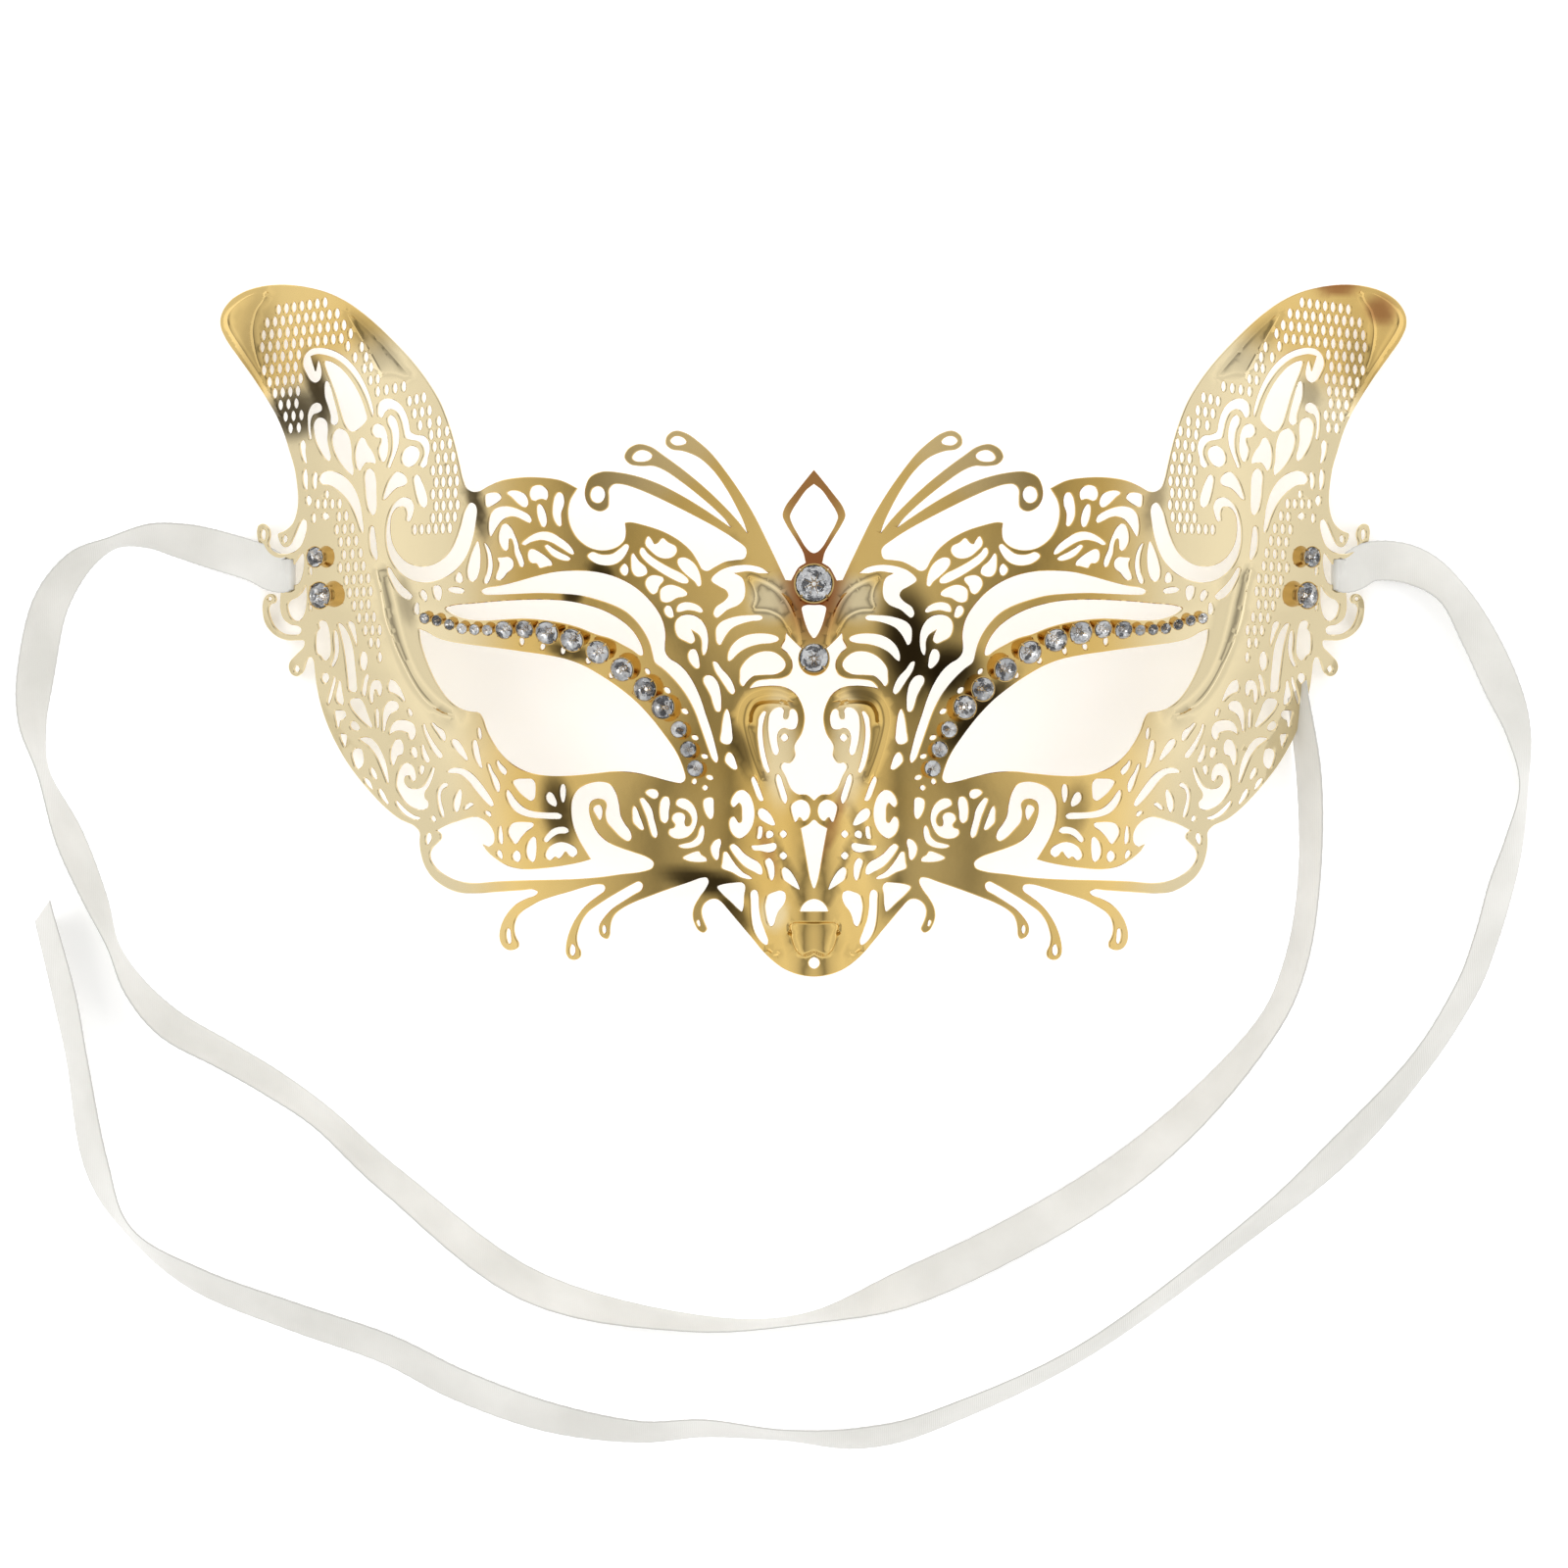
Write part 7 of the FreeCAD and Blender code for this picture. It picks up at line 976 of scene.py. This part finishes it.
def bumped(tree, shader, scale, strength, distance, coordinates, roughness):
    """Fine unevenness in the surface and in its gloss."""
    noise = add(tree, "ShaderNodeTexNoise", Scale=scale, Detail=3.0)
    bump = add(tree, "ShaderNodeBump", Strength=strength, Distance=distance)
    spread = add(tree, "ShaderNodeMapRange")
    spread.inputs["To Min"].default_value = roughness[0]
    spread.inputs["To Max"].default_value = roughness[1]
    tree.links.new(coordinates.outputs["Object"], noise.inputs["Vector"])
    tree.links.new(noise.outputs["Fac"], bump.inputs["Height"])
    tree.links.new(noise.outputs["Fac"], spread.inputs["Value"])
    tree.links.new(spread.outputs["Result"], shader.inputs["Roughness"])
    tree.links.new(bump.outputs["Normal"], shader.inputs["Normal"])


def mix_painted_reflections(tree, shader):
    """Painted dark, reddish and pale reflections mixed into the gold colour where the sheet's painted
    reflection attribute says so.
    """
    plain = shader.inputs["Base Color"].links[0].from_socket
    shades = add(tree, "ShaderNodeVertexColor", layer_name="painted_reflections")
    split = add(tree, "ShaderNodeSeparateColor")
    tree.links.new(shades.outputs["Color"], split.inputs["Color"])
    # colours of the painted reflections: pale from the blue channel, reddish from the green, dark from the
    # red
    for channel, colour in (("Blue", (0.80, 0.68, 0.43, 1)), ("Green", (0.27, 0.085, 0.03, 1)),
                            ("Red", (0.035, 0.022, 0.008, 1))):
        mix = add(tree, "ShaderNodeMix", data_type="RGBA")
        mix.inputs[7].default_value = colour
        tree.links.new(split.outputs[channel], mix.inputs[0])
        tree.links.new(plain, mix.inputs[6])
        plain = mix.outputs[2]
    tree.links.new(plain, shader.inputs["Base Color"])


def gilt(name, low, high, roughness, painted_reflections=False):
    material, tree, shader = node_tree(name)
    shader.inputs["Metallic"].default_value = 1.0
    spots = add(tree, "ShaderNodeTexCoord")
    mottled(tree, shader, low, high, 28.0, spots)
    # when asked, painted reflections are mixed into the gold's colour
    if painted_reflections:
        mix_painted_reflections(tree, shader)
    bumped(tree, shader, 260.0, 0.05, 0.0004, spots, roughness)
    return material


def crystal_material():
    material, tree, shader = node_tree("clear_crystal")
    shader.inputs["Transmission Weight"].default_value = 1.0
    shader.inputs["IOR"].default_value = 1.58
    spots = add(tree, "ShaderNodeTexCoord")
    mottled(tree, shader, (0.93, 0.95, 0.97), (1.0, 1.0, 1.0), 300.0, spots)
    bumped(tree, shader, 900.0, 0.02, 0.0001, spots, (0.0, 0.03))
    return material


def foil_material():
    """Silvered back of a stone, each small patch with its own brightness."""
    material, tree, shader = node_tree("silver_foil")
    shader.inputs["Metallic"].default_value = 0.6
    spots = add(tree, "ShaderNodeTexCoord")
    mottled(tree, shader, (0.55, 0.56, 0.58), (0.95, 0.95, 0.96), 700.0, spots)
    bumped(tree, shader, 900.0, 0.05, 0.0001, spots, (0.02, 0.12))
    cells = add(tree, "ShaderNodeTexVoronoi", Scale=1100.0)
    ramp = add(tree, "ShaderNodeValToRGB")
    ramp.color_ramp.interpolation = "CONSTANT"
    ramp.color_ramp.elements[0].color = (0.12, 0.12, 0.13, 1)
    ramp.color_ramp.elements[1].position = 0.27
    ramp.color_ramp.elements[1].color = (0.62, 0.63, 0.65, 1)
    last = ramp.color_ramp.elements.new(0.5)
    last.color = (1.0, 1.0, 1.0, 1)
    split = add(tree, "ShaderNodeSeparateColor")
    tree.links.new(spots.outputs["Object"], cells.inputs["Vector"])
    tree.links.new(cells.outputs["Color"], split.inputs["Color"])
    tree.links.new(split.outputs["Red"], ramp.inputs["Fac"])
    tree.links.new(ramp.outputs["Color"], shader.inputs["Base Color"])
    return material


def satin_material():
    material, tree, shader = node_tree("satin_weave")
    shader.inputs["Sheen Weight"].default_value = 0.35
    shader.inputs["Specular IOR Level"].default_value = 0.45
    spots = add(tree, "ShaderNodeTexCoord")
    mottled(tree, shader, (0.60, 0.59, 0.55), (0.70, 0.688, 0.65), 60.0, spots)
    weave = add(tree, "ShaderNodeTexWave", Scale=900.0, Distortion=1.5)
    bump = add(tree, "ShaderNodeBump", Strength=0.25, Distance=0.0001)
    tree.links.new(spots.outputs["Object"], weave.inputs["Vector"])
    tree.links.new(weave.outputs["Fac"], bump.inputs["Height"])
    tree.links.new(bump.outputs["Normal"], shader.inputs["Normal"])
    spread = add(tree, "ShaderNodeMapRange")
    spread.inputs["To Min"].default_value = 0.34
    spread.inputs["To Max"].default_value = 0.5
    tree.links.new(weave.outputs["Fac"], spread.inputs["Value"])
    tree.links.new(spread.outputs["Result"], shader.inputs["Roughness"])
    plain = shader.inputs["Base Color"].links[0].from_socket
    edge = add(tree, "ShaderNodeVertexColor", layer_name="selvedge")
    shade = add(tree, "ShaderNodeMix", data_type="RGBA")
    shade.inputs[7].default_value = (0.46, 0.455, 0.43, 1)
    tree.links.new(edge.outputs["Color"], shade.inputs[0])
    tree.links.new(plain, shade.inputs[6])
    tree.links.new(shade.outputs[2], shader.inputs["Base Color"])
    return material


def ring(radius, z, count, turn=0.0):
    step = 2 * math.pi / count
    return [Vector((radius * math.cos(step * (i + turn)), radius * math.sin(step * (i + turn)), z))
            for i in range(count)]


def seat(x, y):
    """Point on the skin in metres and the outward direction there."""
    e = 0.5
    dx = float(height(x + e, y) - height(x - e, y)) / (2 * e)
    dy = float(height(x, y + e) - height(x, y - e)) / (2 * e)
    point = Vector((x, y + CENTRE_Y, float(height(x, y)) + LIFT)) * MM
    return point, Vector((-dx, -dy, 1)).normalized()


def brilliant(r):
    """Points and faces of a brilliant cut stone, the clear crown's faces first, and their number."""
    h = 0.95 * r
    levels = [(0.54, 0.38, 8, 0.0), (0.8, 0.27, 8, 0.5), (0.995, 0.06, 16, 0.0), (0.995, 0.0, 16, 0.0),
              (0.55, -0.36, 8, 0.5), (0.12, -0.72, 8, 0.0)]
    points = [p for wide, up, count, turn in levels for p in ring(wide * r, h + up * r, count, turn)]
    table, crown, girdle_top, girdle, pavilion, culet = 0, 8, 16, 32, 48, 56
    faces = [tuple(range(8))]
    for i in range(8):
        j = (i + 1) % 8
        kite = crown + i
        before = crown + (i - 1) % 8
        left, mid, right = [girdle_top + (2 * i + k) % 16 for k in range(3)]
        faces += [(table + i, kite, table + j), (table + i, before, left, kite)]
        faces += [(kite, left, mid), (kite, mid, right)]
    clear = len(faces)
    for i in range(16):
        j = (i + 1) % 16
        faces.append((girdle_top + i, girdle + i, girdle + j, girdle_top + j))
    for i in range(8):
        j = (i + 1) % 8
        low, after = pavilion + i, pavilion + j
        left, mid, right = [girdle + (2 * i + k) % 16 for k in range(3)]
        faces += [(left, low, mid), (mid, low, right)]
        faces += [(right, low, culet + j), (right, culet + j, after)]
    faces.append(tuple(reversed(range(culet, culet + 8))))
    return points, faces, clear


def crystal(name, x, y, r, glass, foil):
    """Stone seated on the sheet: clear crown, silvered pavilion."""
    points, faces, clear = brilliant(r)
    point, normal = seat(x, y)
    spin = normal.to_track_quat("Z", "Y").to_matrix()
    placed = [point + spin @ (p * MM) for p in points]
    stone = new_object(name, placed, faces, glass, smooth_faces=False)
    stone.data.materials.append(foil)
    for i, face in enumerate(stone.data.polygons):
        face.material_index = 0 if i < clear else 1
    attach(stone, "root")
    return stone


def crystals(glass, foil):
    for side, sign in (("left", -1), ("right", 1)):
        for i, (x, y, r) in enumerate(BROW_STONES):
            stone = crystal("brow_stone_%s_%02d" % (side, i + 1), sign * x, y, r, glass, foil)
            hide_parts("brow_crystal_%s_%02d" % (side, i + 1))
        for i, (x, y, r) in enumerate(EAR_STONES):
            stone = crystal("temple_stone_%s_%d" % (side, i + 1), sign * x, y, r, glass, foil)
            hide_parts("temple_crystal_%s_%d" % (side, i + 1))
    for name, (x, y, r) in zip(("forehead", "bridge"), FOREHEAD_STONES):
        stone = crystal(name + "_stone", x, y, r, glass, foil)
        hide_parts(name + "_crystal")


def ribbon_path(route, side):
    """Centre of the strip with its turn: out through the slot, over the bar, down to the ground."""
    lead = []
    for x, above in ((92.35, -0.9), (92.75, 0.1), (93.5, 0.75), (95.2, 1.15)):
        lead.append((side * x, 9.7, float(height(x, 9.7)) + LIFT + above, 0.0))
    ground = []
    for x, y, turn in route:
        lean = math.radians(turn)
        z = RIBBON_THICK / 2 + CLEARANCE + RIBBON_WIDTH / 2 * math.sin(lean)
        ground.append((x, y + CENTRE_Y, z, lean))
    ground[0] = ground[0][:2] + (ground[0][2] + 1.6, 0.0)
    return leaning_curve(lead + ground, 12)


def leaning_curve(line, parts):
    """Open smooth curve through places that each carry a lean, as numpy rows."""
    line = [np.array(p, float) for p in line]
    padded = [2 * line[0] - line[1]] + line + [2 * line[-1] - line[-2]]
    out = []
    for a, b, c, d in zip(padded, padded[1:], padded[2:], padded[3:]):
        for i in range(parts):
            t = i / parts
            bend = (2 * a - 5 * b + 4 * c - d) * t * t + (3 * b - a - 3 * c + d) * t ** 3
            out.append(b + ((c - a) * t + bend) / 2)
    out.append(line[-1])
    return np.array(out)


def ribbon_points(path, gone):
    """Points of the strip, one ring of upper and lower points for each point of its path."""
    spots = path[:, :3]
    run = np.gradient(spots, axis=0)
    run /= np.linalg.norm(run, axis=1)[:, None]
    points = []
    for k, (p, t, lean) in enumerate(zip(spots, run, path[:, 3])):
        flat = np.array([t[1], -t[0], 0.0])
        flat /= np.linalg.norm(flat)
        up = np.cross(flat, t)
        wide = flat * math.cos(lean) + up * math.sin(lean)
        out = up * math.cos(lean) - flat * math.sin(lean)
        width = RIBBON_WIDTH * (0.74 + 0.26 * float(smooth(gone[k] / 6.0)))
        tooth = 0.07 * (k % 2)
        cut = 3.0 if k == len(spots) - 1 else 0.0
        for level in (0.5, -0.5):
            for s in SELVEDGES:
                cup = 0.22 * (0.25 - s * s) * 2 * (1 + math.sin(gone[k] / 9.0))
                edge = tooth if abs(s) == 0.5 else 0.0
                rise = out * (cup + level * RIBBON_CLOTH)
                points.append(p + wide * (s * (width - 2 * edge)) + rise + t * s * cut)
    points = np.array(points)
    points[:, 2] = np.maximum(points[:, 2], 0.02)
    return points


def ribbon_faces(rings):
    """Faces between the rings of a strip, and its two ends."""
    across = len(SELVEDGES)
    loop = 2 * across
    faces = []
    for k in range(rings - 1):
        a, b = k * loop, (k + 1) * loop
        for i in range(across - 1):
            faces.append((a + i, a + i + 1, b + i + 1, b + i))
            low = a + across + i
            faces.append((low, low + loop, low + loop + 1, low + 1))
        faces.append((a, b, b + across, a + across))
        last = a + across - 1
        faces.append((last, last + across, last + loop + across, last + loop))
    end = tuple(range(across)) + tuple(range(loop - 1, across - 1, -1))
    faces.append(end)
    faces.append(tuple((rings - 1) * loop + i for i in reversed(end)))
    return faces


def ribbon(name, route, side, material):
    """Satin strip with a softly cupped section and finely toothed edges."""
    path = ribbon_path(route, side)
    spots = path[:, :3]
    gone = np.concatenate([[0], np.cumsum(np.linalg.norm(np.diff(spots, axis=0), axis=1))])
    points = ribbon_points(path, gone)
    strip = new_object(name + "_satin", points * MM, ribbon_faces(len(spots)), material)
    strip.data.set_sharp_from_angle(angle=math.radians(60))
    shades = strip.data.color_attributes.new("selvedge", "FLOAT_COLOR", "POINT")
    across = len(SELVEDGES)
    tones = [1.0 if i % across in (0, across - 1) else 0.0 for i in range(len(points))]
    shades.data.foreach_set("color", [v for t in tones for v in (t, t, t, 1.0)])
    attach(strip, "root")
    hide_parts(name)
    return strip


def floor():
    ground, tree, shader = node_tree("pale_floor")
    spots = add(tree, "ShaderNodeTexCoord")
    mottled(tree, shader, (0.93, 0.93, 0.93), (0.96, 0.96, 0.96), 3.0, spots)
    shader.inputs["Roughness"].default_value = 0.9
    shader.inputs["Emission Color"].default_value = (1, 1, 1, 1)
    shader.inputs["Emission Strength"].default_value = 0.16
    corners = [(-3, -3, -0.0004), (3, -3, -0.0004), (3, 3, -0.0004), (-3, 3, -0.0004)]
    new_object("floor", corners, [(0, 1, 2, 3)], ground)


def studio_world():
    """A plain surround, graded by height only: what the polished metal mirrors."""
    world = bpy.data.worlds.new("studio")
    bpy.context.scene.world = world
    world.use_nodes = True
    tree = world.node_tree
    back = tree.nodes["Background"]
    spots = add(tree, "ShaderNodeTexCoord")
    split = add(tree, "ShaderNodeSeparateXYZ")
    ramp = add(tree, "ShaderNodeValToRGB")
    band = ramp.color_ramp
    while len(band.elements) < len(SKY):
        band.elements.new(0.5)
    for element, (position, tone) in zip(band.elements, SKY):
        element.position = position
        element.color = (tone, tone, tone, 1)
    tree.links.new(spots.outputs["Generated"], split.inputs["Vector"])
    tree.links.new(split.outputs["Z"], ramp.inputs["Fac"])
    tree.links.new(ramp.outputs["Color"], back.inputs["Color"])
    back.inputs["Strength"].default_value = 1.0


def lamps():
    for name, place, size, power in LAMPS:
        light = bpy.data.lights.new(name, "AREA")
        light.energy = power
        light.size = size
        lamp = bpy.data.objects.new(name, light)
        lamp.location = place
        lamp.visible_glossy = False
        lamp.rotation_euler = (-Vector(place)).to_track_quat("-Z", "Y").to_euler()
        bpy.context.scene.collection.objects.link(lamp)


def camera():
    """Straight over the mask, from far enough for an almost parallel view."""
    bpy.context.scene.view_settings.view_transform = "Standard"
    eye = bpy.data.objects.new("camera", bpy.data.cameras.new("camera"))
    eye.data.lens = 250.0
    eye.data.sensor_width = 36.0
    away = VIEW_WIDTH * MM * eye.data.lens / eye.data.sensor_width
    eye.location = (VIEW_CENTRE[0] * MM, (VIEW_CENTRE[1] + CENTRE_Y) * MM, away)
    bpy.context.scene.collection.objects.link(eye)
    bpy.context.scene.camera = eye


def polished_cups():
    """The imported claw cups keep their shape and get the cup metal."""
    cup_gold = gilt("cup_gold", (0.52, 0.35, 0.13), (0.70, 0.50, 0.22), (0.12, 0.24))
    for name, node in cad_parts.items():
        if "cup" in name:
            node.data.materials.clear()
            node.data.materials.append(cup_gold)


floor()
studio_world()
lamps()
camera()
satin = satin_material()
ribbon("ribbon_left", RIBBON_LEFT, -1, satin)
ribbon("ribbon_right", RIBBON_RIGHT, 1, satin)
# the sheet's gold, with painted dark, reddish and pale reflections in its colour
filigree(gilt("polished_gold", (0.66, 0.44, 0.13), (0.78, 0.56, 0.21), (0.06, 0.13), painted_reflections=True))
crystals(crystal_material(), foil_material())
polished_cups()
